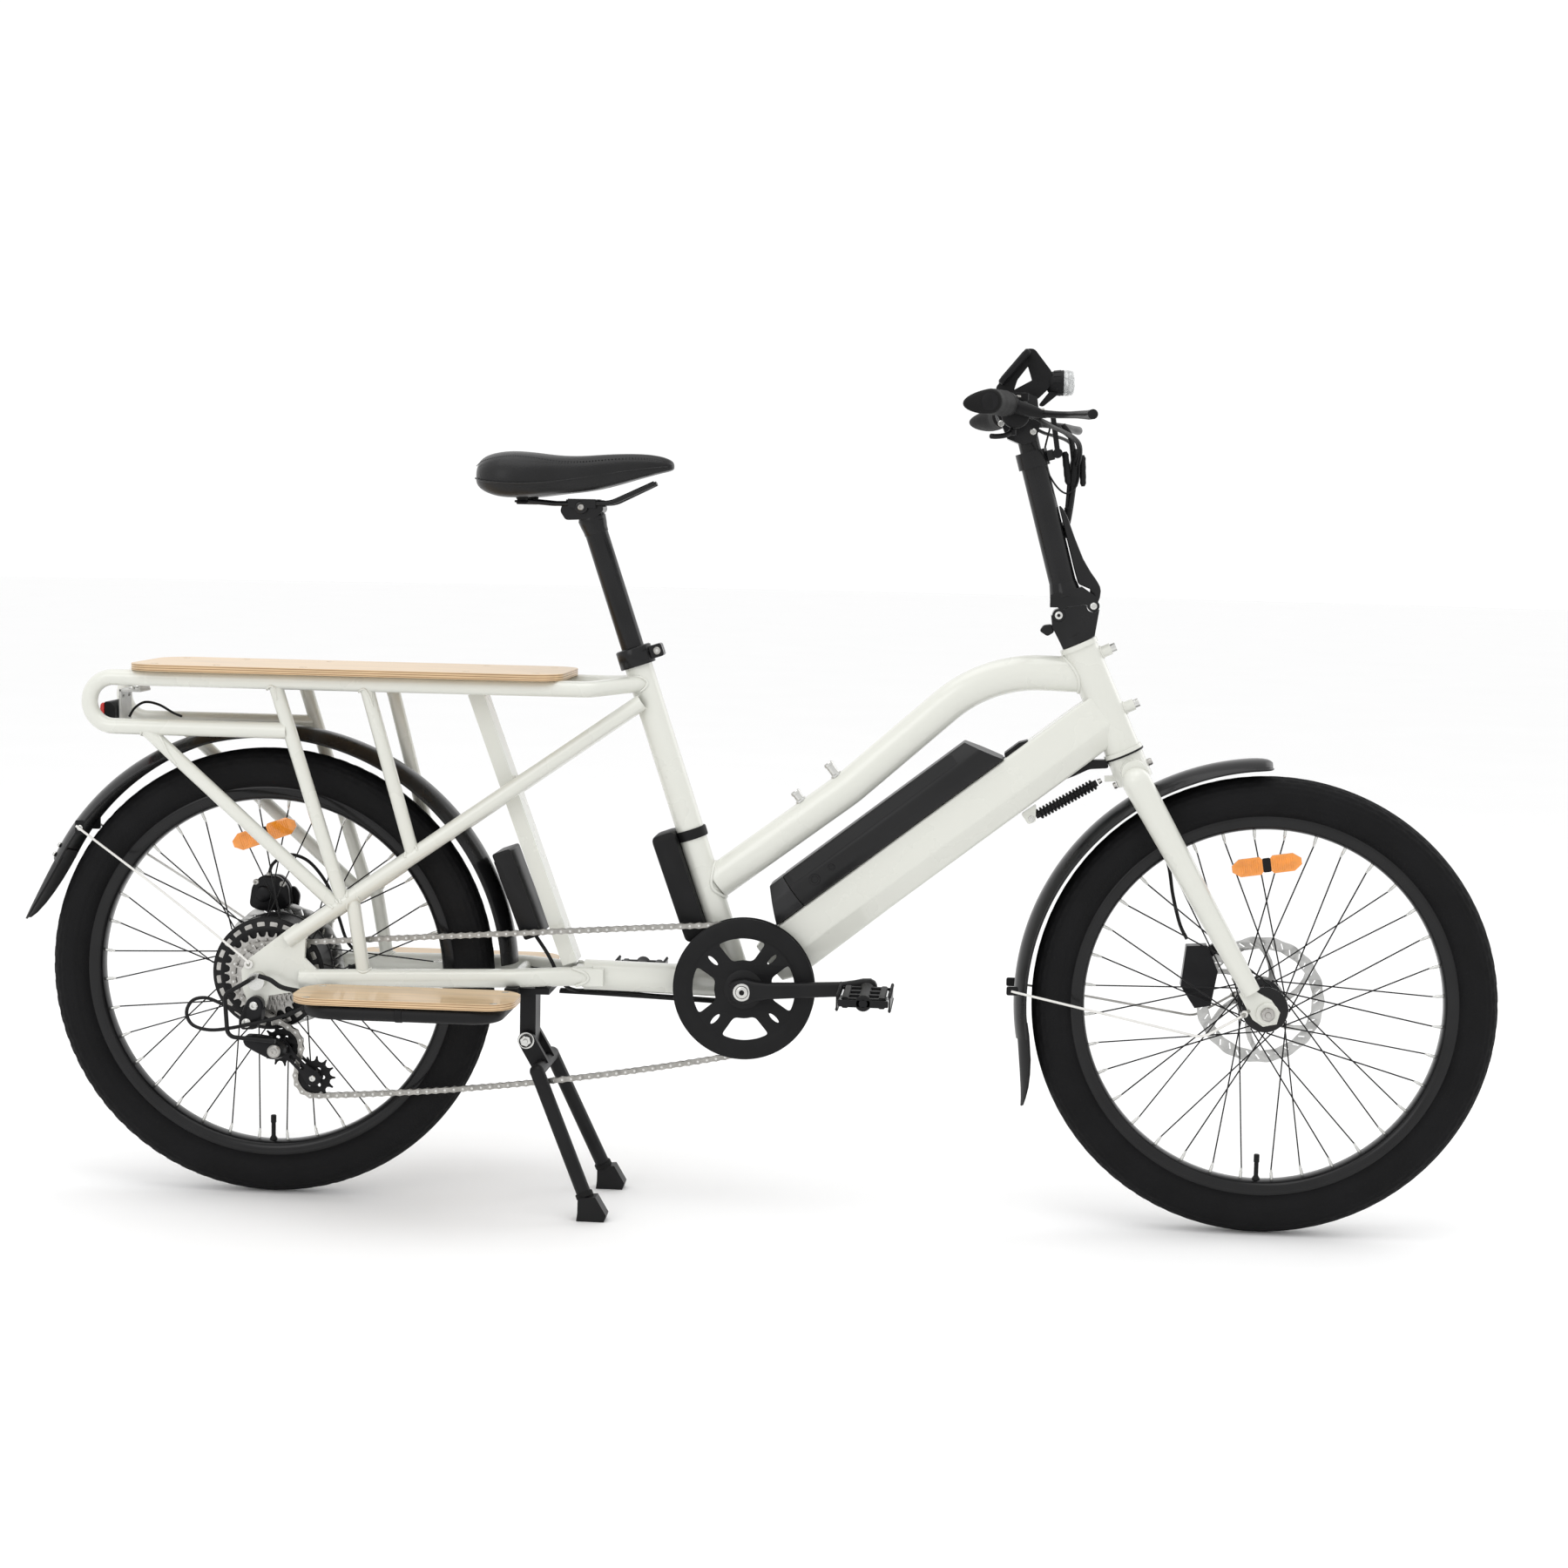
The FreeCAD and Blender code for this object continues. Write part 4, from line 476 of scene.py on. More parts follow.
surface("ivory", (0.655, 0.66, 0.605), 0.28, coat=0.7, tone=0.012, patch=9.0, grain=240.0, bump=0.03)
surface("black_gloss", (0.006, 0.006, 0.0065), 0.24, coat=0.12, tone=0.3, patch=20.0, grain=300.0,
        bump=0.04,
        specular=0.22)
surface("black_satin", (0.007, 0.007, 0.0075), 0.42, tone=0.25, patch=18.0, grain=700.0, bump=0.06,
        specular=0.2)
surface("black_anodised", (0.012, 0.012, 0.013), 0.34, metal=0.5, tone=0.2, patch=35.0, grain=900.0,
        bump=0.05,
        specular=0.25)
surface("black_plastic", (0.0065, 0.0065, 0.007), 0.5, tone=0.25, patch=26.0, grain=1300.0, bump=0.25,
        specular=0.18)
surface("fender", (0.006, 0.006, 0.0065), 0.28, coat=0.15, tone=0.2, patch=14.0, grain=500.0, bump=0.05,
        specular=0.25)
surface("battery", (0.008, 0.008, 0.0085), 0.4, coat=0.05, tone=0.2, patch=16.0, grain=1100.0, bump=0.18,
        specular=0.25)
surface("battery_edge", (0.018, 0.018, 0.019), 0.42, tone=0.15, patch=16.0, grain=1100.0, bump=0.18,
        specular=0.3)
surface("tyre", (0.0055, 0.0055, 0.006), 0.75, tone=0.3, patch=22.0, grain=330.0, bump=0.5, depth=0.0005,
        texture="VORONOI", specular=0.16)
surface("grip", (0.006, 0.006, 0.006), 0.66, tone=0.25, patch=50.0, grain=750.0, bump=0.5, depth=0.0004,
        texture="VORONOI", specular=0.18)
surface("cable", (0.006, 0.006, 0.0065), 0.45, tone=0.2, patch=60.0, grain=900.0, bump=0.08, specular=0.22)
surface("leather", (0.0075, 0.0075, 0.008), 0.38, coat=0.04, tone=0.3, patch=22.0, grain=520.0, bump=0.45,
        depth=0.0004, texture="VORONOI", sheen=0.04, specular=0.25)
surface("silver", (0.60, 0.60, 0.58), 0.26, metal=1.0, tone=0.06, patch=60.0, grain=900.0, bump=0.06)
surface("steel", (0.50, 0.50, 0.49), 0.32, metal=1.0, tone=0.1, patch=80.0, grain=900.0, bump=0.08)
surface("zinc", (0.42, 0.41, 0.39), 0.38, metal=1.0, tone=0.18, patch=90.0, grain=1000.0, bump=0.12)
surface("chain", (0.34, 0.33, 0.31), 0.34, metal=1.0, tone=0.2, patch=120.0, grain=1000.0, bump=0.1)
surface("bracket_grey", (0.55, 0.55, 0.53), 0.4, tone=0.06, patch=40.0, grain=600.0, bump=0.08)
surface("wire_white", (0.72, 0.71, 0.68), 0.35, tone=0.05, patch=40.0, grain=600.0, bump=0.05)
glass("red_lens", (0.62, 0.015, 0.012), clear=0.15)
glass("amber_lens", (0.90, 0.30, 0.02), clear=0.1)
glass("clear_lens", (0.86, 0.88, 0.88), clear=0.6)
surface("reflector_bowl", (0.85, 0.85, 0.84), 0.12, metal=1.0, tone=0.05, patch=120.0, grain=700.0,
        bump=0.2)
surface("display", (0.02, 0.022, 0.025), 0.12, coat=1.0, tone=0.1, patch=30.0, grain=300.0, bump=0.02)
plywood("deck_ply", 735.0)
plywood("step_ply", 307.0)
surface("floor", (0.93, 0.93, 0.93), 0.7, tone=0.006, patch=2.0, grain=60.0, bump=0.02)

# Finish of every CAD node that stays on show, and the width of its softened edges.
KEPT = {
    "head_tube": ("ivory", 1.6), "top_tube": ("ivory", 0.0), "seat_tube": ("ivory", 0.5),
    "main_tube": ("ivory", 2.0), "rear_stays": ("ivory", 1.0), "rack": ("ivory", 0.8),
    "deck_board": ("deck_ply", 0.7), "footboards": ("step_ply", 0.7),
    "footrest_tubes": ("black_satin", 0.8),
    "fasteners": ("silver", 0.5), "rear_fender": ("fender", 0.5), "rear_caliper": ("black_anodised", 1.0),
    "seat_clamp_lever": ("black_anodised", 0.8), "seat_post": ("black_gloss", 0.6),
    "fork_crown": ("ivory", 2.0), "fork_blades": ("ivory", 1.4), "front_fender": ("fender", 0.5),
    "front_axle": ("zinc", 0.5), "front_caliper": ("black_anodised", 1.2),
    "stem_base": ("black_gloss", 2.2),
    "handlepost": ("black_gloss", 1.6), "post_latch": ("black_gloss", 1.2), "riser": ("black_gloss", 2.0),
    "height_lever": ("black_anodised", 1.0), "kickstand": ("black_satin", 1.2),
}


def finish_kept():
    """Paints the CAD nodes that stay on show, and softens their edges."""
    for name, (material, width) in KEPT.items():
        node = frame["nodes"][name]
        if "custom_normal" in node.data.attributes:
            node.data.attributes.remove(node.data.attributes["custom_normal"])
        node.data.materials.clear()
        node.data.materials.append(MATERIALS[material])
        node.data.polygons.foreach_set("use_smooth", [True] * len(node.data.polygons))
        if node.hide_render or not width:
            continue
        weld = node.modifiers.new("joined faces", "WELD")
        weld.merge_threshold = 1e-5
        flatten = node.modifiers.new("flat faces", "DECIMATE")
        flatten.decimate_type = "DISSOLVE"
        flatten.angle_limit = math.radians(0.6)
        soften(node, width, 40)


# ---- Wheels -----------------------------------------------------------------------------
TYRE_RADIUS, TYRE_SECTION = 313.5, 30.0
RIM_HOLE, RIM_BED, RIM_HALF = 241.6, 257.0, 17.0


def tyre(name, centre, body, node):
    """A round section with a fine block tread that runs down to the shoulders."""
    shape = Shape()
    turns, across = 330, 48
    middle = TYRE_RADIUS - TYRE_SECTION
    outline = []
    for k in range(across + 1):
        lean = math.radians(-122 + 244 * k / across)
        outline.append((lean, abs(math.degrees(lean))))
    rings = []
    for turn in range(turns):
        angle = math.tau * turn / turns
        ring = []
        for k, (lean, degrees) in enumerate(outline):
            r = TYRE_SECTION - 1.3
            if degrees < 64:
                lane = k // 3
                groove = k % 3 == 0 or (turn + (lane % 2) * 2) % 4 == 0
                r += 0.0 if groove and degrees > 4 else 1.25
            elif degrees < 72:
                r += 0.9 if turn % 6 < 4 else 0.1
            elif 98 < degrees < 102:
                r += 0.8
            radius = middle + r * math.cos(lean)
            ring.append(Vector((centre[0] + radius * math.cos(angle), r * math.sin(lean),
                                centre[1] + radius * math.sin(angle))))
        inner = [(RIM_BED + 1.0, 15.0), (RIM_BED + 1.0, -15.0)]
        ring += [Vector((centre[0] + r * math.cos(angle), y, centre[1] + r * math.sin(angle)))
                 for r, y in inner]
        rings.append(ring)
    shape.loft(rings, loop=True)
    shape.done(name, "tyre", "tyre_rubber", body, [node], angle=60)


def rim(name, centre, body, node):
    """A double-walled rim with its valve."""
    hole, bed, half = RIM_HOLE, RIM_BED, RIM_HALF
    shape = Shape()
    flank = [(hole + 1.2, 10.5), (hole + 4.5, 14.6), (hole + 9, 16.6), (bed - 1, half + 0.2),
             (bed + 3.2, half + 0.4), (bed + 4.2, half - 0.6), (bed + 3.6, half - 1.8),
             (bed, half - 2.6), (hole + 8, 12), (hole + 4, 6)]
    well = [(hole, -7), (hole - 0.2, 0), (hole, 7)]
    profile = well + flank + [(r, -y) for r, y in reversed(flank)]
    shape.spin(at(centre), (0, 1, 0), profile, 180)
    shape.done(name, "black_gloss", "black_metal", body, [node], angle=50)
    valve = Shape()
    foot, tip = at((centre[0], centre[1] - 242.0)), at((centre[0], centre[1] - 206.5))
    up = (tip - foot).normalized()
    valve.spin(foot, up, [(0, 0), (5.5, 0), (5.5, 2), (4.2, 4), (3.1, 6), (3.1, 24), (3.9, 25), (3.9, 34.5),
                          (3.2, 35.5), (0, 35.5)], 20, closed=False)
    valve.done(name + "_valve", "black_plastic", "tyre_rubber", body)


def spokes(prefix, centre, flange_radius, flange_y, cross, body, node):
    """Crossed spokes from both flanges, with their nipples."""
    wires, nipples = Shape(), Shape()
    for index in range(SPOKES):
        side = 1 if index % 2 else -1
        lean = cross if index % 4 < 2 else -cross
        angle = 360.0 / SPOKES * (index + 0.5) + 270.0
        start = at(polar(centre, flange_radius, angle + lean), side * flange_y)
        bend = at(polar(centre, RIM_HOLE - 14.0, angle), side * 2.0)
        tip = at(polar(centre, RIM_HOLE - 0.2, angle), side * 1.5)
        inset = Vector((0, -side * 2.2, 0))
        wires.tube([start + inset, start, start + (bend - start) * 0.03, bend], 1.0, 8)
        nipples.tube([bend, bend + (tip - bend) * 0.3, bend + (tip - bend) * 0.34, tip],
                     [1.5, 1.6, 2.1, 2.3], 8)
    wires.done(prefix + "_spokes", "black_satin", "steel", body, [node], angle=60)
    nipples.done(prefix + "_nipples", "silver", "steel", body, angle=60)


def reflector(name, centre, degrees, tilt, body):
    """An amber spoke reflector: a long bar with pointed ends and prism ribs."""
    middle = polar(centre, REFLECTOR_RADIUS, degrees)
    half = [(-46, -4), (-36, -11.5), (-9, -11.5), (-6, -8), (6, -8), (9, -11.5), (36, -11.5), (46, -4)]
    outline = half + [(-u, -v) for u, v in half]
    lens = Shape().sheet(turned(outline, middle, tilt), [], flat(-11.5), 4.6, 0.8)
    for k in range(-12, 13):
        if abs(k) > 2:
            u = k * 2.9
            reach = 9.6 if abs(u) < 35 else 6.0
            ends = [turned([(u, v)], middle, tilt)[0] for v in (-reach, reach)]
            lens.tube([at(ends[0], -13.7), at(ends[1], -13.7)], 0.55, 6)
    lens.done(name, "amber_lens", "amber_lens", body, angle=30)
    clip = Shape()
    clip.sheet(turned(block_outline(5, 9, 2), middle, tilt), [], flat(-12.4), 3.6, 0.6)
    clip.done(name + "_clip", "black_plastic", "black_plastic", body)


def disc_rotor(name, centre, y, eye, body, node):
    """A wavy braking band with slanted slots, on six swept arms."""
    outer = [polar(centre, 87.2 + 0.8 * math.cos(math.radians(18 * a)), a) for a in range(0, 360, 2)]
    holes = [ring_hole(centre, eye, 10)]

    def arm_angle(radius):
        return 32.0 * (radius - 28.0) / 48.0

    for k in range(6):
        low, high = 33.0, 71.5
        near = [polar(centre, low, 60 * k + arm_angle(low) + t) for t in (8, 20, 32, 44, 52)]
        rise = [polar(centre, r, 60 * k + 60 + arm_angle(r) - 230.0 / r) for r in (36, 42, 50, 58, 66)]
        far = [polar(centre, high + 0.6 * math.cos(math.radians(18 * t)), 60 * k + arm_angle(high) + t)
               for t in (56, 48, 40, 30, 20, 12, 4)]
        fall = [polar(centre, r, 60 * k + arm_angle(r) + 230.0 / r) for r in (66, 58, 50, 42, 36)]
        holes.append(near + rise + far + fall)
    for k in range(36):
        slot = turned(block_outline(4.6, 1.1, 1.0, 2),
                      polar(centre, 76.5 + 3.4 * (k % 2), 10 * k), 10 * k + 38)
        holes.append(slot)
    shape = Shape().sheet(outer, holes, flat(y), 1.8, 0.25)
    shape.done(name, "steel", "steel", body, [node])
    bolts = Shape()
    for k in range(6):
        bolts.bolt(at(polar(centre, 27.0, 60 * k + 30), y + 0.9), (0, 1, 0), 3.6, 2.4)
        bolts.bolt(at(polar(centre, 27.0, 60 * k + 30), y - 0.9), (0, -1, 0), 3.6, 1.2)
    bolts.done(name + "_bolts", "zinc", "steel", body)


def hubs():
    """The front hub, and the rear motor's shell with its vents and screws."""
    front = Shape()
    profile = [(5, -50), (13, -50), (14, -48.5), (15.5, -38), (20, -35.5), (30.2, -34.2), (31, -33.2),
               (31, -30.8),
               (30.2, -30), (21, -28.6), (17, -24), (15.2, -12), (14.8, 0), (15.2, 12), (17, 24),
               (21, 28.6),
               (30.2, 30), (31, 30.8), (31, 33.2), (30.2, 34.2), (23, 35.4), (22, 37), (22, 41.6), (14, 42),
               (13, 50), (5, 50)]
    front.spin(at(FRONT), (0, 1, 0), profile, 64)
    front.done("front_hub_shell", "black_gloss", "black_metal", "front_wheel", ["front_hub"], bevel=0.3)
    motor = Shape()
    profile = [(6.5, -33), (6.5, -33.4), (38, -33.4), (41, -32.6), (60, -30.4), (63, -31.4), (66, -31),
               (69, -29),
               (74, -28), (77.5, -27.4), (79, -26), (79, -22), (77.6, -21), (77.6, 22), (79, 23), (79, 26),
               (77.5, 28.6), (70, 31), (66, 34), (58, 40.5), (54, 41.6), (24, 43), (24, 48.5), (14, 49),
               (13, 62),
               (6.5, 62)]
    motor.spin(at(REAR), (0, 1, 0), profile, 120)
    motor.done("motor_shell", "black_satin", "black_metal", "rear_wheel", ["rear_hub"], angle=35)
    vents = Shape()
    for k in range(24):
        angle = 15 * k + 4
        ring = [polar(REAR, r, angle + d) for r, d in ((65.5, 0), (65.5, 8.5), (73.0, 8.5), (73.0, 0))]
        vents.sheet(rounded(ring, 1.6, 2), [], flat(-29.4), 1.6, 0.3)
    vents.done("motor_vents", "zinc", "steel", "rear_wheel")
    screws = Shape()
    for k in range(6):
        screws.bolt(at(polar(REAR, 51.0, 60 * k + 12), -31.4), (0, -1, 0), 3.0, 1.8)
        screws.bolt(at(polar(REAR, 62.0, 60 * k + 12), 37.2), (0, 1, 0), 3.0, 2.2)
    screws.done("motor_screws", "zinc", "steel", "rear_wheel")


def wheels():
    """Both wheels, each part on the body that turns."""
    for prefix, centre, body in (("front", FRONT, "front_wheel"), ("rear", REAR, "rear_wheel")):
        tyre(prefix + "_tread", centre, body, prefix + "_tyre")
        rim(prefix + "_rim_band", centre, body, prefix + "_rim")
    spokes("front", FRONT, 32.2, 32.0, 58.0, "front_wheel", "front_spokes")
    spokes("rear", REAR, 80.0, 26.0, 16.0, "rear_wheel", "rear_spokes")
    reflector("front_reflector", FRONT, 91.0, 9.0, "front_wheel")
    reflector("rear_reflector", REAR, 93.0, 20.0, "rear_wheel")
    disc_rotor("front_disc", FRONT, 43.0, 22.2, "front_wheel", "front_rotor")
    disc_rotor("rear_disc", REAR, 50.0, 24.2, "rear_wheel", "rear_rotor")
    hubs()


# ---- Drive train ------------------------------------------------------------------------
def pitch_radius(teeth):
    """The radius at which a chain's pins ride on a sprocket."""
    return PITCH / (2 * math.sin(math.pi / teeth))


def cog(centre, teeth):
    """The outline of a sprocket whose teeth stand between the chain's rollers."""
    radius = pitch_radius(teeth)
    step = 360.0 / teeth
    outline = []
    for k in range(teeth):
        for share, height in ((-0.30, -4.2), (-0.12, -1.5), (-0.05, 2.6), (0.05, 2.6), (0.12, -1.5),
                              (0.30, -4.2)):
            outline.append(polar(centre, radius + height, step * (k + share)))
    return outline


def chain_line():
    """The chain's pitch line: tangents and arcs round the four wheels, with slack below."""
    pulley = pitch_radius(PULLEY_TEETH)
    circles = [(REAR, pitch_radius(DRIVEN_TEETH)), (CRANK, pitch_radius(RING_TEETH)),
               (PULLEYS[1], pulley), (PULLEYS[0], -pulley)]
    tangents = []
    for (c1, r1), (c2, r2) in zip(circles, circles[1:] + circles[:1]):
        heading = math.atan2(c2[1] - c1[1], c2[0] - c1[0])
        normal = heading - math.acos((r2 - r1) / math.dist(c1, c2))
        side = (math.cos(normal), math.sin(normal))
        tangents.append(((c1[0] - r1 * side[0], c1[1] - r1 * side[1]),
                         (c2[0] - r2 * side[0], c2[1] - r2 * side[1])))
    line = []
    for index, (start, end) in enumerate(tangents):
        sag = CHAIN_SLACK if circles[index][0] == CRANK else 0.0
        for step in range(61):
            t = step / 60
            line.append(Vector((start[0] + (end[0] - start[0]) * t,
                                start[1] + (end[1] - start[1]) * t - sag * 4 * t * (1 - t))))
        centre, radius = circles[(index + 1) % 4]
        after = tangents[(index + 1) % 4][0]
        first = math.atan2(end[1] - centre[1], end[0] - centre[0])
        last = math.atan2(after[1] - centre[1], after[0] - centre[0])
        turn = (first - last) % math.tau if radius > 0 else -((last - first) % math.tau)
        for step in range(1, 40):
            a = first - turn * step / 40
            line.append(Vector((centre[0] + abs(radius) * math.cos(a),
                                centre[1] + abs(radius) * math.sin(a))))
    return line


def spaced(line, count):
    """Points at equal steps along a closed 2D line."""
    line = line + [line[0]]
    lengths = [(b - a).length for a, b in zip(line, line[1:])]
    step = sum(lengths) / count
    points, travelled, index = [], 0.0, 0
    for k in range(count):
        while travelled + lengths[index] < k * step:
            travelled += lengths[index]
            index += 1
        points.append(line[index].lerp(line[index + 1], (k * step - travelled) / lengths[index]))
    return points


def chain():
    """Links and pins spaced along the chain's line."""
    line = chain_line()
    total = sum((b - a).length for a, b in zip(line, line[1:] + line[:1]))
    count = 2 * round(total / PITCH / 2)
    pins = spaced(line, count)
    plates, pins_shape = Shape(), Shape()
    for k, pin in enumerate(pins):
        ahead = pins[(k + 1) % count] - pin
        turn = math.degrees(math.atan2(ahead.y, ahead.x))
        middle = (pin + ahead / 2)
        half = ahead.length / 2
        r, waist = (4.1, 2.9) if k % 2 else (3.9, 3.2)
        outline = []
        for a in range(-90, 91, 30):
            outline.append((half + r * math.cos(math.radians(a)), r * math.sin(math.radians(a))))
        outline.append((0, waist))
        for a in range(90, 271, 30):
            outline.append((-half + r * math.cos(math.radians(a)), r * math.sin(math.radians(a))))
        outline.append((0, -waist))
        outline = turned(outline, middle, turn)
        inner, outer = (2.6, 3.5) if k % 2 else (1.7, 2.55)
        for low, high in ((inner, outer), (-outer, -inner)):
            plates.plate(outline, CHAIN_Y + low, CHAIN_Y + high)
        pins_shape.spin(at(pin, CHAIN_Y), (0, 1, 0),
                        [(0, -3.85), (1.7, -3.8), (1.8, -3.0), (3.7, -2.6), (3.7, 2.6),
                                                     (1.8, 3.0), (1.7, 3.8), (0, 3.85)], 10, closed=False)
    plates.done("chain_links", "chain", "chain_steel", "frame", ["chain"], angle=30)
    pins_shape.done("chain_pins", "silver", "chain_steel", "frame", angle=40)


def bean(centre, low, high, start, end, steps=7):
    """A slot that follows a circle, with round ends."""
    middle, r = (low + high) / 2, (high - low) / 2
    points = [polar(centre, high, start + (end - start) * k / steps) for k in range(steps + 1)]
    cap = polar(centre, middle, end)
    points += [polar(cap, r, end + a) for a in (30, 60, 90, 120, 150)]
    points += [polar(centre, low, end - (end - start) * k / steps) for k in range(steps + 1)]
    cap = polar(centre, middle, start)
    points += [polar(cap, r, start + a) for a in (210, 240, 270, 300, 330)]
    return points


def chainset():
    """The toothed ring between two guards, the spider, and both cranks."""
    teeth = Shape().sheet(cog(CRANK, RING_TEETH), [ring_hole(CRANK, 75, 6)], flat(CHAIN_Y), 1.9, 0.3)
    teeth.done("chainring_teeth", "steel", "chain_steel", "crank", ["chainring"], angle=30)
    guard = Shape()
    rim_line = ring_hole(CRANK, 96.3, 3)
    windows = []
    for k in range(4):
        turn = 3 + 90 * k
        window = [polar(CRANK, 71.0, turn + a) for a in (-28, -14, 0, 14, 28)]
        window += [polar(CRANK, 40.0, turn + a) for a in (21, 0, -21)]
        windows.append(rounded(window, 6.5, 4))
        middle = polar(CRANK, 57.0, turn + 45)
        windows.append(turned([(a * 9.5, b * 3.4) for a, b in circle(1.0, 20)], middle, turn + 45))
    guard.sheet(rim_line, windows, flat(-53.0), 2.6, 0.6)
    guard.spin(at(CRANK, -53.0), (0, 1, 0),
               [(71.6, 0.8), (72.0, -1.2), (75, -2.8), (84, -3.6), (93, -3.0), (96.2, -1.4),
                                             (96.5, 0), (96.2, 1.2), (92.6, 1.4)], 144)
    guard.done("chainguard_outer", "black_plastic", "black_plastic", "crank", angle=35)
    inner = Shape().sheet(rim_line, [ring_hole(CRANK, 74, 6)], flat(-37.5), 2.0, 0.5)
    inner.done("chainguard_inner", "black_plastic", "black_plastic", "crank", angle=35)
    spider = Shape()
    spider.spin(at(CRANK, 0), (0, 1, 0),
                [(8.7, -56), (24, -56), (27, -54.5), (27, -42), (24, -40), (8.7, -40)], 48)
    for k in range(4):
        turn = 48 + 90 * k
        root, tip = polar(CRANK, 22, turn), polar(CRANK, 82, turn)
        for edge in (-1, 1):
            offset = polar((0, 0), 7.6 * edge, turn + 90)
            near = (root[0] + offset[0], root[1] + offset[1])
            far = (tip[0] + offset[0] * 1.35, tip[1] + offset[1] * 1.35)
            spider.bar(at(near, -47), at(far, -47),
                       rounded([(-5.5, -3), (4.5, -3), (4.5, 3), (-5.5, 3)], 1.4))
    spider.done("spider", "black_satin", "black_metal", "crank", bevel=0.5)
    arms = Shape()
    for side in (-1, 1):
        tip = PEDALS[side]
        line = at(tip) - at(CRANK)
        ahead = line.normalized()
        up = Vector((-ahead.z, 0, ahead.x))
        rings = []
        for t, half, thick, y in ((-0.10, 9, 7, 66), (-0.085, 14, 8.5, 66), (-0.04, 16.5, 9.6, 67),
                                  (0.03, 17, 10, 67.5),
                                  (0.10, 13.8, 9.6, 69), (0.2, 11.2, 8.6, 71), (0.5, 10.2, 7.6, 73.5),
                                  (0.8, 9.8, 7.2, 75),
                                  (0.90, 11.6, 7.6, 75.2), (0.97, 13.6, 8, 75.4), (1.03, 13.3, 8, 75.4),
                                  (1.065, 9.5, 7.4, 75.4), (1.078, 5, 6, 75.4)):
            middle = at(CRANK) + line * t + Vector((0, side * y, 0))
            section = block_outline(half, thick, min(half, thick) * 0.7, 4)
            rings.append([middle + up * u + Vector((0, v, 0)) for u, v in section])
        arms.loft(rings)
        arms.spin(at(CRANK), (0, 1, 0),
                  [(0, side * 36), (8.5, side * 36), (8.5, side * 60), (0, side * 60)], 24, closed=False)
        arms.spin(at(tip), (0, 1, 0), [(0, side * 80), (7.5, side * 80), (7.5, side * 86), (5, side * 87),
                                       (4.9, side * 186), (0, side * 186)], 20, closed=False)
    arms.done("crank_levers", "black_satin", "black_metal", "crank", ["crank_arms"], angle=30)
    caps = Shape()
    for side in (-1, 1):
        caps.bolt(at(CRANK, side * 76.5), (0, side, 0), 8.2, 3.6)
        caps.spin(at(CRANK, side * 76.6), (0, side, 0), [(9, 0), (12, 0), (12, 1.2), (9, 1.6)], 32)
        caps.bolt(at(PEDALS[side], side * 82.6), (0, side, 0), 6.2, 1.5, hexagon=True)
    caps.done("crank_bolts", "silver", "steel", "crank")


def pedals():
    """Platform pedals: a body, a toothed cage and reflectors."""
    for side, name in ((-1, "right"), (1, "left")):
        x, z = PEDALS[side]
        low, high = sorted((side * 89.0, side * 189.0))
        body, steel, lens = Shape(), Shape(), Shape()
        body.spin(at((x, z)), (0, 1, 0),
                  [(5.1, low), (9.5, low), (11, low + 3), (8.4, low + 12), (8.0, high - 14),
                                          (11, high - 3), (9.5, high), (5.1, high)], 28)
        for face in (-1, 1):
            body.box((x + face * 24, (low + high) / 2, z), (9, high - low - 12, 15), 3.0)
            for y in (low + 8, low + 36, high - 36, high - 8):
                body.box((x + face * 14, y, z), (22, 8, 12), 2.5)
            rail = x + face * 34.5
            steel.box((rail, (low + high) / 2, z), (2.2, high - low, 20), 0.8)
            for k in range(13):
                y = low + 4 + (high - low - 8) * k / 12
                for end in (-1, 1):
                    steel.rod((rail, y, z + end * 8.5), (rail, y, z + end * 11.4), 2.6, 1.2, 6)
            lens.box((x + face * 29.8, (low + high) / 2, z), (3.0, 42, 11), 1.0)
        for y in (low + 1.0, high - 1.0):
            steel.box((x, y, z), (66, 2.0, 9), 2.0)
        cad = "pedal_" + name
        owner = "pedal_" + name[0]
        body.done(cad + "_body", "black_plastic", "black_plastic", owner, [cad], bevel=0.5)
        steel.done(cad + "_cage", "black_anodised", "black_metal", owner, bevel=0.3)
        lens.done(cad + "_reflectors", "clear_lens", "clear_lens", owner, bevel=0.3)


def cassette():
    """Seven sprockets on the freewheel's core."""
    cogs = Shape()
    for index, teeth in enumerate(SPROCKETS):
        y = CHAIN_Y - 5.0 * (index - SPROCKETS.index(DRIVEN_TEETH))
        holes = [ring_hole(REAR, 19.0, 10)]
        if teeth > 22:
            holes += [bean(REAR, 26.0, 35.0, 60 * k, 60 * k + 28, 4) for k in range(6)]
        cogs.sheet(cog(REAR, teeth), holes, flat(y), 1.8, 0.3)
    cogs.done("cogs", "zinc", "chain_steel", "freewheel", ["sprockets"], angle=30)
    core = Shape()
    core.spin(at(REAR), (0, 1, 0), [(17.2, -67), (19.6, -67), (21, -66), (21, -34.4), (17.2, -34.2)], 48)
    core.done("freewheel_core", "steel", "steel", "freewheel")


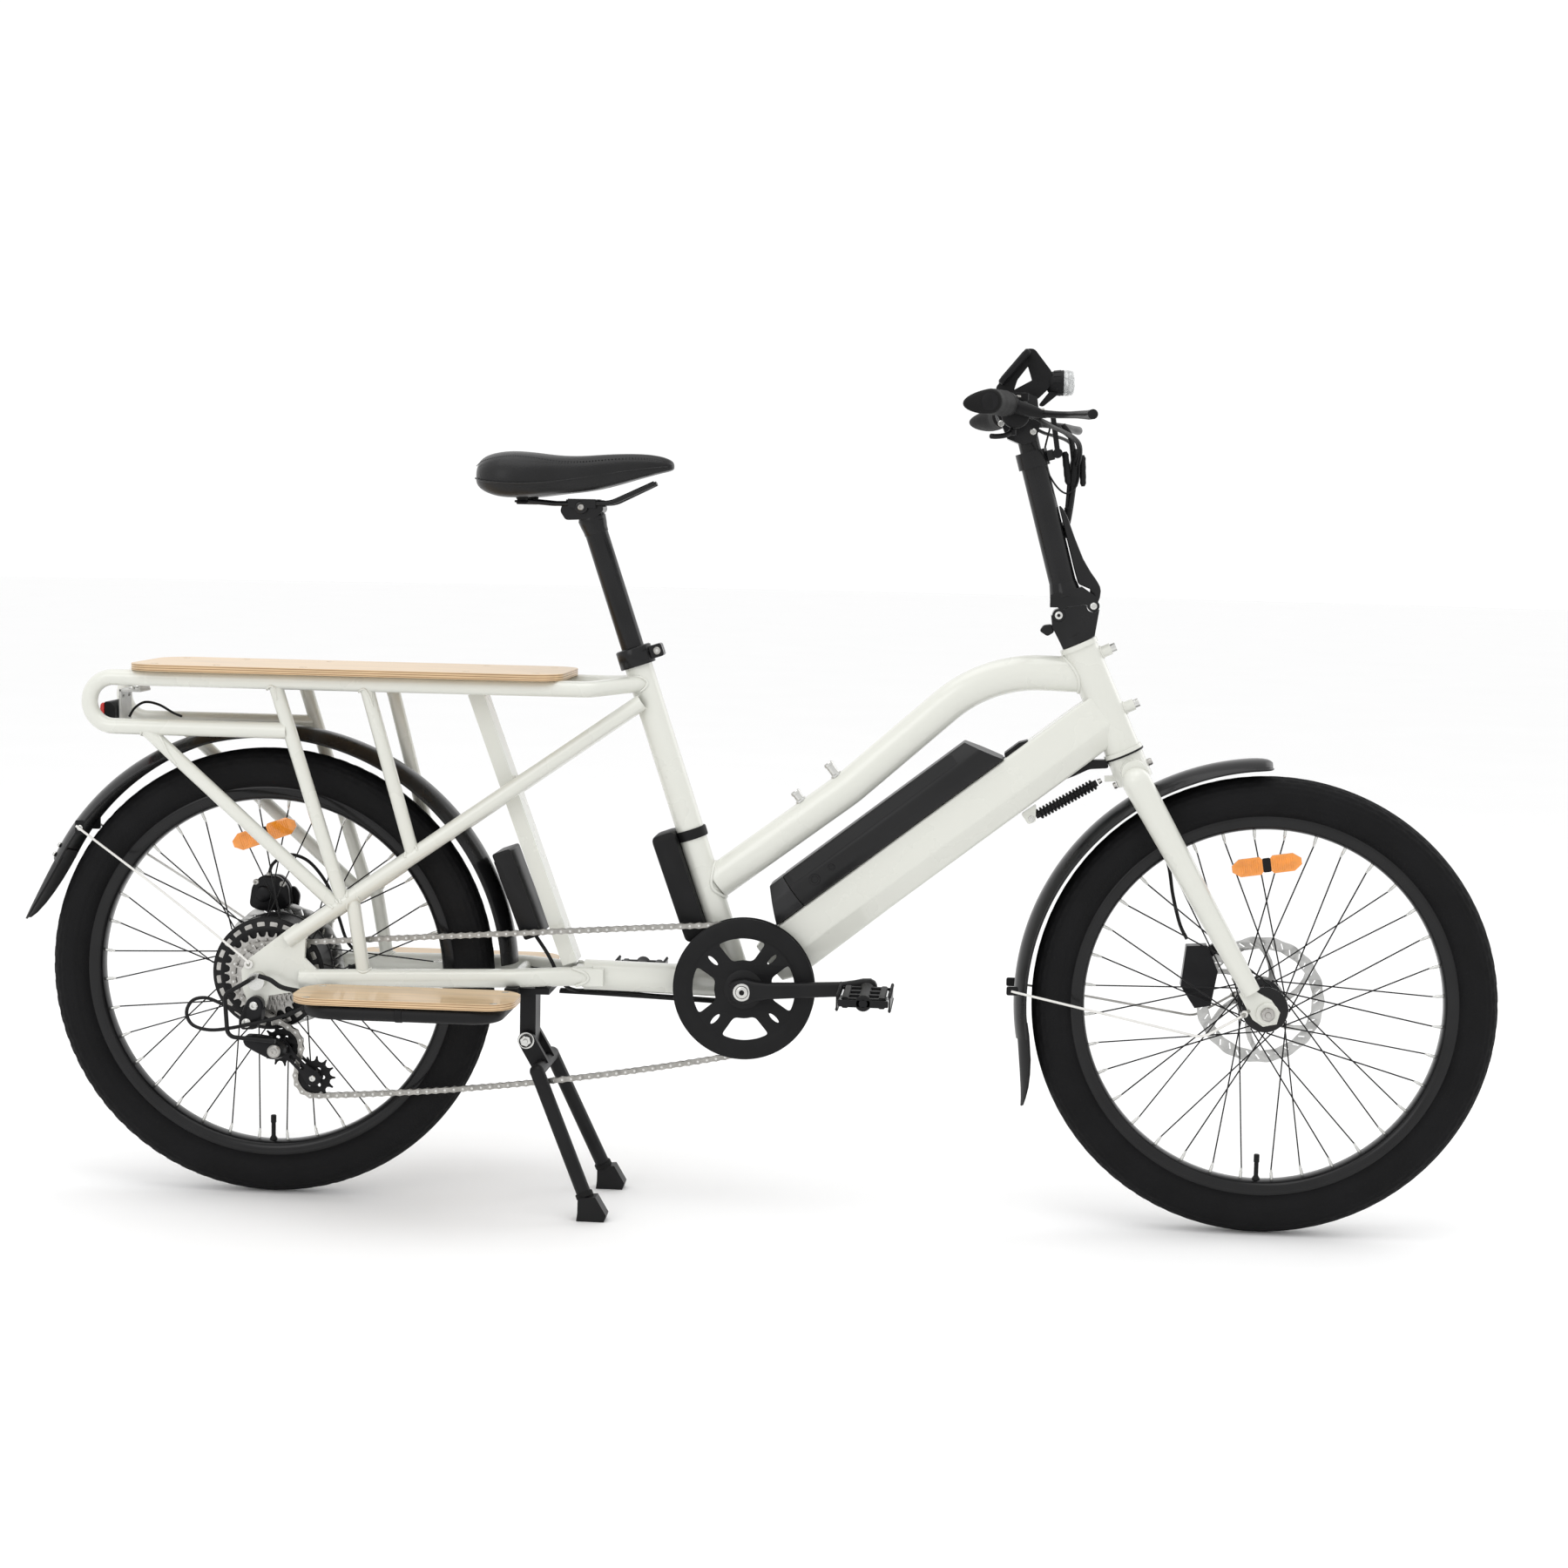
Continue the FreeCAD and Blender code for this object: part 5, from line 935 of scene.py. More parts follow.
def derailleur():
    """The hanger knuckle, moving knuckle, cage and two jockey wheels."""
    hook = Shape()
    hook.spin(at((-2, 280)), (0, 1, 0),
              [(0, -77.4), (11, -77.4), (12, -79), (12, -90), (10, -92), (0, -92.5)], 32,
              closed=False)
    hook.loft([[Vector((x, y, z)) for x, z in rounded(outline, 4)] for y, outline in (
        (-80.5, [(-16, 284), (12, 278), (10, 262), (0, 246), (-22, 244), (-26, 258)]),
        (-92.0, [(-14, 282), (9, 277), (8, 262), (-1, 247), (-20, 246), (-24, 258)]),
        (-94.0, [(-11, 279), (5, 274), (4, 263), (-3, 250), (-17, 249), (-20, 258)]))])
    hook.done("derailleur_upper", "black_anodised", "black_metal", "frame", ["derailleur_body"], bevel=0.8)
    trim = Shape()
    trim.bolt(at((-2, 280), -92.2), (0, -1, 0), 6.0, 4.0)
    trim.spin(at((-12, 256), -93.0), (0, -1, 0), [(0, 3.2), (5, 3.2), (6.4, 2.2), (6.8, 0), (6.8, -2)], 32,
              closed=False)
    trim.done("derailleur_bolts", "silver", "steel", "frame")
    knuckle = Shape()
    outline = rounded([(-21, 235), (-4, 235), (20, 232), (38, 222), (38, 208), (22, 203), (-2, 214),
                       (-20, 224)], 6)
    knuckle.layers(outline, (8, 219), ((-58, 0.9), (-62, 1.0), (-82, 1.0), (-88, 0.9), (-90, 0.7)))
    knuckle.done("derailleur_lower", "black_anodised", "black_metal", "derailleur", ["derailleur_knuckle"],
                 bevel=0.5)
    knob = Shape()
    knob.spin(at(PULLEYS[0], -86), (0, -1, 0), [(0, 7), (7, 7), (9, 5.4), (9.4, 0), (9.4, -2)], 36,
              closed=False)
    knob.bolt(at(PULLEYS[0], -92.5), (0, -1, 0), 4.6, 2.0)
    knob.done("derailleur_knob", "zinc", "steel", "derailleur")
    cage = Shape()
    upper, lower = PULLEYS
    run = math.degrees(math.atan2(lower[1] - upper[1], lower[0] - upper[0]))
    length = math.dist(upper, lower)
    middle = ((upper[0] + lower[0]) / 2, (upper[1] + lower[1]) / 2)
    for y, r in ((-54.5, 11.0), (-36.5, 10.0)):
        outline = [(length / 2 + r * math.cos(math.radians(a)), r * math.sin(math.radians(a)))
                   for a in range(-90, 91, 18)]
        outline += [(8, 6.5), (-8, 6.5)]
        outline += [(-length / 2 + r * math.cos(math.radians(a)), r * math.sin(math.radians(a)))
                    for a in range(90, 271, 18)]
        outline += [(-8, -6.5), (8, -6.5)]
        window = block_outline(14, 3, 2.8)
        cage.sheet(turned(outline, middle, run), [turned(window, middle, run)], flat(y), 1.9, 0.4)
    cage.done("cage_plates", "black_anodised", "black_metal", "cage", ["derailleur_cage"])
    axles = Shape()
    for centre in PULLEYS:
        axles.rod(at(centre, -54), at(centre, -37), 2.9, sides=18)
    axles.bolt(at(lower, -55.4), (0, -1, 0), 4.4, 2.4)
    axles.rod(at(upper, -75), at(upper, -54), 3.9, sides=20)
    axles.done("cage_axles", "silver", "steel", "cage")
    for centre, name, body in ((upper, "jockey_upper", "pulley_upper"),
                               (lower, "jockey_lower", "pulley_lower")):
        holes = [ring_hole(centre, 3.2, 20)]
        holes += [[polar(polar(centre, 12.5, 60 * k), 3.2, a) for a in range(0, 360, 30)] for k in range(6)]
        wheel = Shape().sheet(cog(centre, PULLEY_TEETH), holes, flat(CHAIN_Y), 2.4, 0.4)
        wheel.spin(at(centre, CHAIN_Y), (0, 1, 0),
                   [(3.2, -4.5), (6.5, -4.5), (6.8, 0), (6.5, 4.5), (3.2, 4.5)], 24)
        wheel.done(name + "_teeth", "black_plastic", "black_plastic", body, [name], angle=30)


# ---- Frame -------------------------------------------------------------------------------
def node_tree(*names):
    """A ray-casting tree over CAD nodes, in the design's millimetres."""
    verts, faces = [], []
    for name in names:
        mesh = frame["nodes"][name].data
        base = len(verts)
        verts += [(v.co - Vector((AXLE_X, 0, 0))) * 1000 for v in mesh.vertices]
        faces += [[base + i for i in face.vertices] for face in mesh.polygons]
    return BVHTree.FromPolygons(verts, faces)


def ring_section(radius, height=None):
    """The outline of a round or oval tube."""
    return [(radius * x, (height or radius) * z) for x, z in circle(1.0, 72)]


def weld_bead(shape, start, end, section, tree, size=2.1):
    """A rippled bead where a tube, followed from start to end, first meets the metal it is welded to."""
    start, end = Vector(start), Vector(end)
    ahead = (end - start).normalized()
    side = Vector((0, 1, 0))
    side = (side - ahead * side.dot(ahead)).normalized() if abs(ahead.y) < 0.95 else Vector((1, 0, 0))
    up = side.cross(ahead).normalized()
    hits = []
    for across, high in section:
        origin = start + side * across + up * high
        found = tree.ray_cast(origin, ahead, (end - start).length)
        hits.append(found[0] - ahead * size * 0.25 if found[0] else None)
    runs, current = [], []
    first_gap = next((k for k, hit in enumerate(hits) if hit is None), None)
    order = hits if first_gap is None else hits[first_gap:] + hits[:first_gap]
    for hit in order:
        if hit is None or (current and (hit - current[-1]).length > 22):
            runs.append(current)
            current = [hit] if hit is not None else []
        else:
            current.append(hit)
    runs.append(current)
    for run in runs:
        if len(run) < 6:
            continue
        closed = first_gap is None and len(runs) == 1
        line = run + [run[0]] if closed else run
        lengths = [(b - a).length for a, b in zip(line, line[1:])]
        total = sum(lengths)
        count = max(12, int(total / 1.5))
        points, radii, travelled, index = [], [], 0.0, 0
        for k in range(count if closed else count + 1):
            want = total * k / count
            while index < len(lengths) - 1 and travelled + lengths[index] < want:
                travelled += lengths[index]
                index += 1
            points.append(line[index].lerp(line[index + 1],
                                           min(1.0, (want - travelled) / max(lengths[index], 1e-6))))
            radii.append(size * (0.86 + 0.16 * abs(math.sin(math.pi * want / 4.2))))
        shape.tube(points, radii, 8, loop=closed)


def over(side, x, y, z):
    """A point on one side of the frame."""
    return (x, side * y, z)


def welds():
    """Beads where the frame's tubes meet."""
    beads = Shape()
    head = node_tree("head_tube")
    seat = node_tree("seat_tube")
    weld_bead(beads, (1052, 0, 758.4), (1130, 0, 756.8), ring_section(18, 24), head, 2.6)
    weld_bead(beads, (700, 0, 518), (600, 0, 442), ring_section(18, 24), seat, 2.6)
    weld_bead(beads, at(on_seat(-340)), at(on_seat(-460)), ring_section(19.2),
              node_tree("main_tube", "down_tube"), 2.4)
    stays, rack = node_tree("rear_stays"), node_tree("rack")
    cross_tubes = (-185, -60, 60, 284, 400)
    for side in (-1, 1):
        weld_bead(beads, over(side, 420, 36, 637), over(side, 517, 24, 706), ring_section(11), seat, 1.9)
        weld_bead(beads, over(side, 345, 58, 324.5), over(side, 470, 8, 323), ring_section(13),
                  node_tree("main_tube"), 2.4)
        weld_bead(beads, over(side, 470, 56, 725.8), over(side, 520, 6, 730.5), ring_section(11), seat, 1.9)
        for start, end in (((24, 72, 690), (17, 72, 730)), ((151, 73, 690), (144, 71, 730)),
                           ((-110, 71, 610), (-170, 73, 664))):
            weld_bead(beads, over(side, *start), over(side, *end), ring_section(9.5), rack, 1.8)
        for start, end in (((60, 72, 560), (124, 72, 410)), ((175, 72, 590), (218, 68, 470)),
                           ((0, 72, 520), (118, 72, 412)), ((137, 71, 380), (126, 71, 450)),
                           ((140, 70, 380), (148, 70, 310))):
            weld_bead(beads, over(side, *start), over(side, *end), ring_section(9.5), stays, 1.8)
        weld_bead(beads, over(side, 120, 70, 425.5), over(side, 20, 78, 354.8), ring_section(11), stays,
                  1.9)
        for x in cross_tubes:
            weld_bead(beads, (x, side * 40, 724), (x, side * 72, 724), ring_section(8), rack, 1.5)
    weld_bead(beads, (396, 0, 412), (424, 0, 336), block_outline(20, 10.5, 3, 5), node_tree("main_tube"),
              2.0)
    for height in (58.4, 139.8):
        start, end = at(on_head(height, 34)), at(on_head(height, 4))
        tree = BVHTree.FromPolygons(*tube_mesh(at(HEAD_BOTTOM), at(HEAD_TOP), 24.5))
        weld_bead(beads, start, end, ring_section(8), tree, 1.8)
    beads.done("frame_welds", "ivory", "ivory_paint", "frame", angle=60)
    fork = Shape()
    for side in (-1, 1):
        crown = BVHTree.FromPolygons(*tube_mesh(at(on_head(-22, 2), -64), at(on_head(-22, 2), 64), 17))
        weld_bead(fork, (1240, side * 64, 528), (1180, side * 64, 632), ring_section(19), crown, 1.8)
    fork.done("fork_welds", "ivory", "ivory_paint", "fork", angle=60)


def tube_mesh(start, end, radius):
    """The mesh of a round tube, for finding where another tube meets it."""
    tube = Shape().rod(start, end, radius, sides=48)
    return tube.verts, tube.faces


DOWN_FOOT, DOWN_HEAD = Vector((700, 0, 352)), Vector((1140, 0, 697))
DOWN_AHEAD = (DOWN_HEAD - DOWN_FOOT).normalized()
DOWN_UP = Vector((-DOWN_AHEAD.z, 0, DOWN_AHEAD.x))


def mirrored_section(half):
    """A closed (side, up) outline from its right half, listed from the top down."""
    return half + [(-a, b) for a, b in reversed(half)]


def down_place(travel, across, up):
    """A point along, across and above the down tube."""
    return DOWN_FOOT + DOWN_AHEAD * travel + DOWN_UP * up + Vector((0, across, 0))


def down_tube():
    """The pressed main beam: a flat top, sides with a long crease and a narrower belly."""
    length = (DOWN_HEAD - DOWN_FOOT).length
    shape = Shape()
    rings = []
    stations = ((-2, 0.82, 30, -30), (14, 0.94, 34, -36), (40, 1.0, 35.6, -38.5), (90, 1.0, 36, -38),
                (180, 1.0, 36, -36.5), (length - 120, 1.0, 36, -36), (length - 62, 1.0, 36, -36),
                (length - 44, 0.985, 36, -36), (length - 28, 0.94, 36, -35.6),
                (length - 12, 0.87, 35.5, -35),
                (length + 10, 0.79, 34.5, -34))
    for travel, wide, top, low in stations:
        half = rounded([(0, top), (26.6, top), (31.0, -9), (29.2, -13.5), (20, low), (0, low)], 5, 5)
        full = mirrored_section([(a * wide, b) for a, b in half if a > 0.01])
        rings.append([down_place(travel, a, b) for a, b in full])
    shape.loft(rings)
    shape.done("down_beam", "ivory", "ivory_paint", "frame", ["down_tube"], angle=55)


def battery():
    """The battery: a long case with chamfered shoulders, an end cap and slanted ends."""
    half = [(12, 49.8), (22.8, 49.8), (34.9, 30.5), (35.4, 27), (35.4, 14), (34.6, 10.5), (30, 0.2),
            (12, 0.2)]
    full = rounded(mirrored_section(half), 2.6, 3)
    middle = BATTERY_HEIGHT / 2

    def block(first, last, first_slant, last_slant, scale=1.0):
        rings = []
        steps = ((first, scale * 0.985, first_slant), (first + 1.6, scale, first_slant),
                 (last - 1.6, scale, last_slant), (last, scale * 0.985, last_slant))
        for travel, size, slant in steps:
            ring = []
            for across, height in full:
                up = middle + (height - middle) * size
                ring.append(down_place(travel + slant * up / BATTERY_HEIGHT, across * size,
                                       BATTERY_FLOOR + up))
            rings.append(ring)
        return Shape().loft(rings)

    block(86.0, 423.0, 0.0, -29.5).done("battery_case", "battery", "battery_case", "battery_pack",
                                        ["battery"], angle=30)
    block(38.8, 84.8, 24.5, 0.0, 0.985).done("battery_cap", "battery_edge", "battery_case", "battery_pack",
                                             angle=30)
    trims = Shape()
    for side in (-1, 1):
        rings = []
        for travel, inset in ((94, 0.06), (97, 0.0), (366, 0.0), (370, 0.06)):
            ring = []
            for share, out in ((0.1 + inset, -0.4), (0.14 + inset, 0.45), (0.9 - inset, 0.45),
                               (0.94 - inset, -0.4)):
                across = 34.9 + (22.8 - 34.9) * share
                up = 30.5 + (49.8 - 30.5) * share
                ring.append(down_place(travel, side * (across + out * 0.87),
                                       BATTERY_FLOOR + up + out * 0.5))
            rings.append(ring)
        trims.loft(rings)
    trims.done("battery_strips", "battery", "battery_case", "battery_pack", angle=30)
    lock = Shape()
    for travel, radius in ((120, 7.5), (148, 4.8)):
        profile = [(0, 0.6), (radius * 0.6, 0.6), (radius * 0.65, 1.4), (radius, 1.2), (radius + 0.5, 0),
                   (radius, -1)]
        lock.spin(down_place(travel, -34.9, BATTERY_FLOOR + 21), (0, -1, 0), profile, 32, closed=False)
    lock.done("battery_lock", "black_gloss", "battery_case", "battery_pack")
    rail = Shape()
    for half, stations in ((17, ((30, 0), (32, 0), (428, 0), (430, 0))),
                           (13, ((426, 3.5), (428, 5.5), (452, 5.5), (463, 1.0)))):
        rail.loft([[down_place(travel, a, BEAM_TOP + b)
                    for a, b in ((-half, height), (-half, -1.0), (half, -1.0), (half, height))]
                   for travel, height in stations])
    rail.done("battery_rail", "black_satin", "black_metal", "frame", bevel=0.5)
    bosses = Shape()
    normal = Vector((-0.604, 0, 0.797))
    for x, z, reach in ((774.3, 622.7, 14.8), (729.8, 582.7, 9.8)):
        foot = Vector((x, 0, z)) - normal * reach
        bosses.spin(foot, normal, [(0, -1), (8.2, -1), (8.2, 1.6), (7.4, 2.4), (6.0, 2.6),
                                   (6.0, reach + 1.0),
                                   (7.0, reach + 1.4), (7.0, reach + 4.8), (5.8, reach + 6.2),
                                   (0, reach + 6.2)],
                    28, closed=False)
    bosses.done("bottle_screws", "silver", "steel", "frame")


def electronics():
    """The finned motor controller, and the converter strapped to the seat tube."""
    box = Shape()
    outline = rounded([(314, 491), (339, 500), (384.4, 382), (361, 373.4)], 4)
    box.layers(outline, (349, 437), ((-35.8, 0.95), (-34, 1.0), (34, 1.0), (35.8, 0.95)))
    ahead = Vector((-0.36, 0, 0.933))
    out = Vector((-0.933, 0, -0.36))
    for k in range(9):
        y = -30 + 7.5 * k
        root = Vector((349, y, 437)) + out * 12.2
        box.loft([[root + ahead * a + out * b + Vector((0, c, 0))
                   for c, b in ((-1, -1), (1, -1), (0.8, 2.6), (-0.8, 2.6))]
                  for a in (-52, 52)])
    box.done("controller_case", "black_satin", "black_metal", "frame", ["electronics_boxes"], angle=30)
    converter = Shape()
    outline = rounded([(532, 520), (564, 531.5), (615.5, 386.5), (584, 375)], 9)
    converter.layers(outline, (574, 453),
                     ((-29.5, 0.9), (-26, 0.985), (-22, 1.0), (22, 1.0), (26, 0.985), (29.5, 0.9)))
    converter.done("converter_case", "black_plastic", "black_plastic", "frame", angle=30)
    strap = Shape()
    centre = at(on_seat(-242))
    up = Vector((-0.3192, 0, 0.9477))
    strap.spin(centre, up, [(19.4, -7), (21.4, -7), (22, -5), (22, 5), (21.4, 7), (19.4, 7)], 48)
    strap.done("converter_strap", "black_plastic", "black_plastic", "frame", bevel=0.3)
    Shape().bolt(at(on_seat(-242, -24), -6), (0, -1, 0), 5, 4).done("strap_bolt", "zinc", "steel", "frame")


def arch(centre, stations, steps, roundness, skin, inset):
    """A curved strip with both ends closed; stations hold (angle, crest radius, drop, half width)."""
    shares = [k / steps for k in range(-steps, steps + 1)]
    rings = []
    for angle, crest, drop, half in stations:
        outer = [(crest - drop * abs(share) ** roundness, half * share) for share in shares]
        inner = [(r - skin, y * (1 - inset / half)) for r, y in reversed(outer)]
        rings.append([at(polar(centre, r, angle), y) for r, y in outer + inner])
    shape = Shape().loft(rings, caps=False)
    last = 2 * len(shares) - 1
    for ring in (rings[0], rings[-1]):
        shape.add(ring, [(k, k + 1, last - 1 - k, last - k) for k in range(len(shares) - 1)])
    return shape


def fender(name, centre, stations, body, node, bracket=None):
    """An arched fender with rolled edges."""
    shape = arch(centre, stations, 9, 2.4, 2.4, 1.4)
    for side in (-1, 1):
        shape.tube([at(polar(centre, crest - drop - 0.9, angle), side * (half - 0.9))
                    for angle, crest, drop, half in stations], 1.7, 8)
    if bracket:
        shape.bar(at(bracket[0]), at(bracket[1]), block_outline(9, 1.5, 1))
    shape.done(name, "fender", "fender_plastic", body, [node], angle=50)


def flap(name, centre, stations, body):
    """The soft flap under a fender's end, which narrows to a tip."""
    arch(centre, stations, 6, 2.0, 2.6, 1.0).done(name, "black_plastic", "fender_plastic", body, angle=60)


def guards():
    """Both fenders with their flaps, rivets, clips and wire stays."""
    rear = [(4.0 + 1.5 * k, 347.0, 15.0, 34.0) for k in range(101)]
    fender("rear_fender_shell", REAR, rear, "frame", "rear_fender")
    front = [(90.0 + a, 338.0 - drop, 13.0 - drop, half) for a, half, drop in
             ((0, 12, 5.5), (0.5, 20, 3.4), (1.2, 26, 1.8), (2.2, 30, 0.8), (3.6, 33, 0.2))]
    front += [(95.0 + 1.5 * k, 338.0, 13.0 + min(2.0, k * 0.2), 34.0) for k in range(64)]
    fender("front_fender_shell", FRONT, front, "fork", "front_fender",
           (on_head(-36.0, 8.0), polar(FRONT, 337.0, 121.0)))
    flap("rear_flap", REAR, [(152.0, 344.4, 13.0, 32.0), (156.0, 345.6, 13.0, 32.5),
                             (160.0, 348.0, 12.0, 31.5),
                             (163.5, 351.2, 10.0, 29.0), (166.5, 355.0, 7.5, 24.5),
                             (168.8, 358.6, 4.5, 17.0),
                             (170.0, 361.2, 2.0, 8.0)], "frame")
    flap("front_flap", FRONT, [(187.5, 335.4, 13.0, 32.0), (191.0, 336.4, 14.0, 32.5),
                               (194.5, 339.0, 14.0, 31.5),
                               (198.0, 343.0, 12.0, 29.0), (201.0, 347.8, 9.0, 24.5),
                               (203.4, 353.0, 5.0, 17.0),
                               (205.0, 357.6, 2.0, 8.0)], "fork")
    rivets = Shape()
    for degrees in (150.5, 153.0):
        for y in (-18, 0, 18):
            place = at(polar(REAR, 346.4, degrees), y)
            out = (place - at(REAR, y)).normalized()
            rivets.spin(place - out * 1.0, out, [(0, 2.2), (2.4, 1.8), (3.6, 0.6), (3.6, -1)], 16,
                        closed=False)
    for side in (-1, 1):
        place = at(polar(REAR, 330.0, 143.4), side * 34.0)
        rivets.bolt(place, (0, side, 0), 4.2, 3.0)
    rivets.done("fender_rivets", "silver", "steel", "frame")
    clips = Shape()
    for side in (-1, 1):
        place = at(polar(REAR, 331.0, 143.4), side * 33.2)
        clips.box(place, (13, 3.4, 20), 3)
    clips.done("stay_clips", "black_plastic", "black_plastic", "frame", bevel=0.6)
    stays = Shape()
    for side in (-1, 1):
        stays.tube(smooth_path([(-266.7, side * 37.2, 511.3), (-258, side * 38.5, 505),
                                (-130, side * 60, 421),
                                (-22, side * 79.5, 345), (-14, side * 81, 336)]), 1.7, 10)
        stays.spin((-13, side * 79, 335), (0, side, 0), [(3, 0), (6, 0), (6, 2.6), (3, 2.6)], 20)
    stays.done("fender_stays", "wire_white", "steel", "frame", ["rear_lines"])


def rear_brake():
    """The rear caliper astride the rotor: two half bodies, a bridge, bolts, and its hose."""
    outline = rounded([(-47, 397), (-43, 426), (-30, 441), (-4, 441), (9, 427), (12, 399), (-4, 392),
                       (-30, 390)], 7, 5)
    body = Shape()
    for low, high in ((38.5, 48.2), (51.8, 63.5)):
        body.layers(outline, (-18, 417), ((low, 0.9), (low + 2, 1.0), (high - 2, 1.0), (high, 0.9)))
    body.plate(rounded([(-38, 410), (-36, 434), (0, 434), (4, 412)], 5), 47, 53)
    body.spin((-26, 38.6, 415), (0, -1, 0), [(0, 3.4), (9, 3.2), (11, 2), (12, 0), (12, -2)], 36,
              closed=False)
    body.plate(rounded([(-8, 342), (10, 349), (20, 412), (12, 424), (-10, 420)], 5), 64.0, 69.6)
    body.done("rear_caliper_body", "black_anodised", "black_metal", "frame", ["rear_caliper"], bevel=0.6)
    bolts = Shape()
    for x, z in ((-36, 432), (2, 430)):
        bolts.bolt((x, 38.8, z), (0, -1, 0), 4.4, 3.4)
    for x, z in ((4, 360), (8, 404)):
        bolts.bolt((x, 69.4, z), (0, 1, 0), 4.4, 3.4)
    bolts.bolt((-20, 46, 440.6), (0, 0, 1), 4.0, 4.2, hexagon=True)
    bolts.done("rear_caliper_bolts", "zinc", "steel", "frame")
    hose = Shape()
    hose.tube(smooth_path([(-20, 46, 443), (-14, 48, 458), (6, 54, 470), (34, 60, 460), (60, 66, 425),
                           (74, 70, 382),
                           (92, 68, 340), (130, 64, 322)]), 2.4, 10)
    hose.done("rear_hose", "cable", "cable_black", "frame")


def tail_light():
    """A slanted red lens in a black shell, on a pressed bracket with notches and bolts."""
    lens = Shape()
    outline = [(-235.6, 661.8), (-236.8, 664), (-234.4, 684), (-232, 686), (-229, 686), (-229, 661)]
    lens.layers(outline, (-231, 673.5),
                ((-37.6, 0.86), (-36, 0.97), (-33, 1.0), (33, 1.0), (36, 0.97), (37.6, 0.86)))
    for k in range(-9, 10):
        lens.tube([(-236.6, k * 3.5, 664.5), (-234.6, k * 3.5, 683.5)], 0.7, 6)
    lens.done("rear_lens", "red_lens", "red_lens", "frame", ["tail_light"], angle=25)
    shell = Shape()
    outline = rounded([(-229.2, 660), (-229.2, 687), (-222, 687), (-214.2, 680), (-214.2, 662),
                       (-218, 660)], 2)
    shell.loft([[Vector((x, y, 673.5 + (z - 673.5) * s)) for x, z in outline]
                for y, s in ((-35.8, 0.9), (-34.5, 1.0), (34.5, 1.0), (35.8, 0.9))])
    shell.done("rear_lamp_shell", "black_plastic", "black_plastic", "frame", bevel=0.5)
    bracket = Shape()
    face = [(-21.5, 656.5), (-12, 656.5), (-10, 661), (10, 661), (12, 656.5), (21.5, 656.5), (21.5, 704),
            (-21.5, 704)]
    slots = [rounded([(a - 5, 692), (a + 5, 692), (a + 5, 696.5), (a - 5, 696.5)], 2.2) for a in (-12, 12)]
    bracket.sheet(face, slots, lambda u, v, w: (-211.5 + w, u, v), 3.4, 0.4)
    bracket.sheet([(-212, -21.5), (-183, -21.5), (-183, 21.5), (-212, 21.5)],
                  [rounded([(-205, a - 3), (-192, a - 3), (-192, a + 3), (-205, a + 3)], 2.8)
                   for a in (-11, 11)],
                  lambda u, v, w: (u, v, 702 + w), 3.2, 0.4)
    bracket.sheet([(-21.5, 701), (21.5, 701), (18, 715), (-18, 715)], [], lambda u, v,
                  w: (-184.6 + w, u, v), 3.0, 0.4)
    bracket.done("lamp_bracket", "bracket_grey", "steel", "frame")
    bolts = Shape()
    for y in (-12, 12):
        bolts.bolt((-198, y, 703.8), (0, 0, 1), 4.4, 3.4)
        bolts.bolt((-213.4, y, 694), (-1, 0, 0), 3.8, 2.6)
    bolts.done("lamp_bolts", "silver", "steel", "frame")


def cables():
    """Cables that the frame carries, and the guard wire round the derailleur."""
    wires = Shape()
    wires.tube(route([(-4, -94.5, 318), (-4, -122, 318), (-34, -122, 300), (-30, -122, 242),
                      (36, -122, 238)], 12), 3.0, 14)
    wires.done("derailleur_guard", "black_satin", "steel", "frame")
    lines = Shape()
    for offset, radius in ((0, 3.4), (7.4, 2.6), (-6.6, 2.6)):
        lines.tube(smooth_path([(404, 12 + offset, 297), (470, 9 + offset, 298 - abs(offset) * 0.3),
                                (560, 5 + offset, 294),
                                (620, 4 + offset, 292), (650, 4 + offset, 291)]), radius, 10)
    lines.tube(smooth_path([(6, -96, 322), (22, -98.5, 318), (40, -99.5, 308), (70, -95, 302)]), 3.4, 10)
    lines.tube(smooth_path([(88, -96, 292), (52, -99, 273), (18, -101, 262), (-30, -101, 250),
                            (-62, -101, 246),
                            (-86, -99, 252), (-95, -96, 268), (-88, -92, 284), (-70, -89, 288),
                            (-48, -87.5, 280),
                            (-28, -87, 272), (-18, -88, 266)]), 2.5, 10)
    lines.tube(smooth_path([(-206, 0, 664), (-200, 6, 676), (-188, 14, 684), (-172, 26, 680),
                            (-158, 44, 668),
                            (-150, 58, 662)]), 1.8, 10)
    lines.tube(smooth_path([(372, -12, 378), (392, -16, 350), (412, -14, 312), (430, 4, 299),
                            (452, 8, 298)]), 2.6, 10)
    lines.tube(smooth_path([(600, -10, 378), (618, -8, 360), (640, -4, 352)]), 2.4, 10)
    lines.done("frame_cables", "cable", "cable_black", "frame")


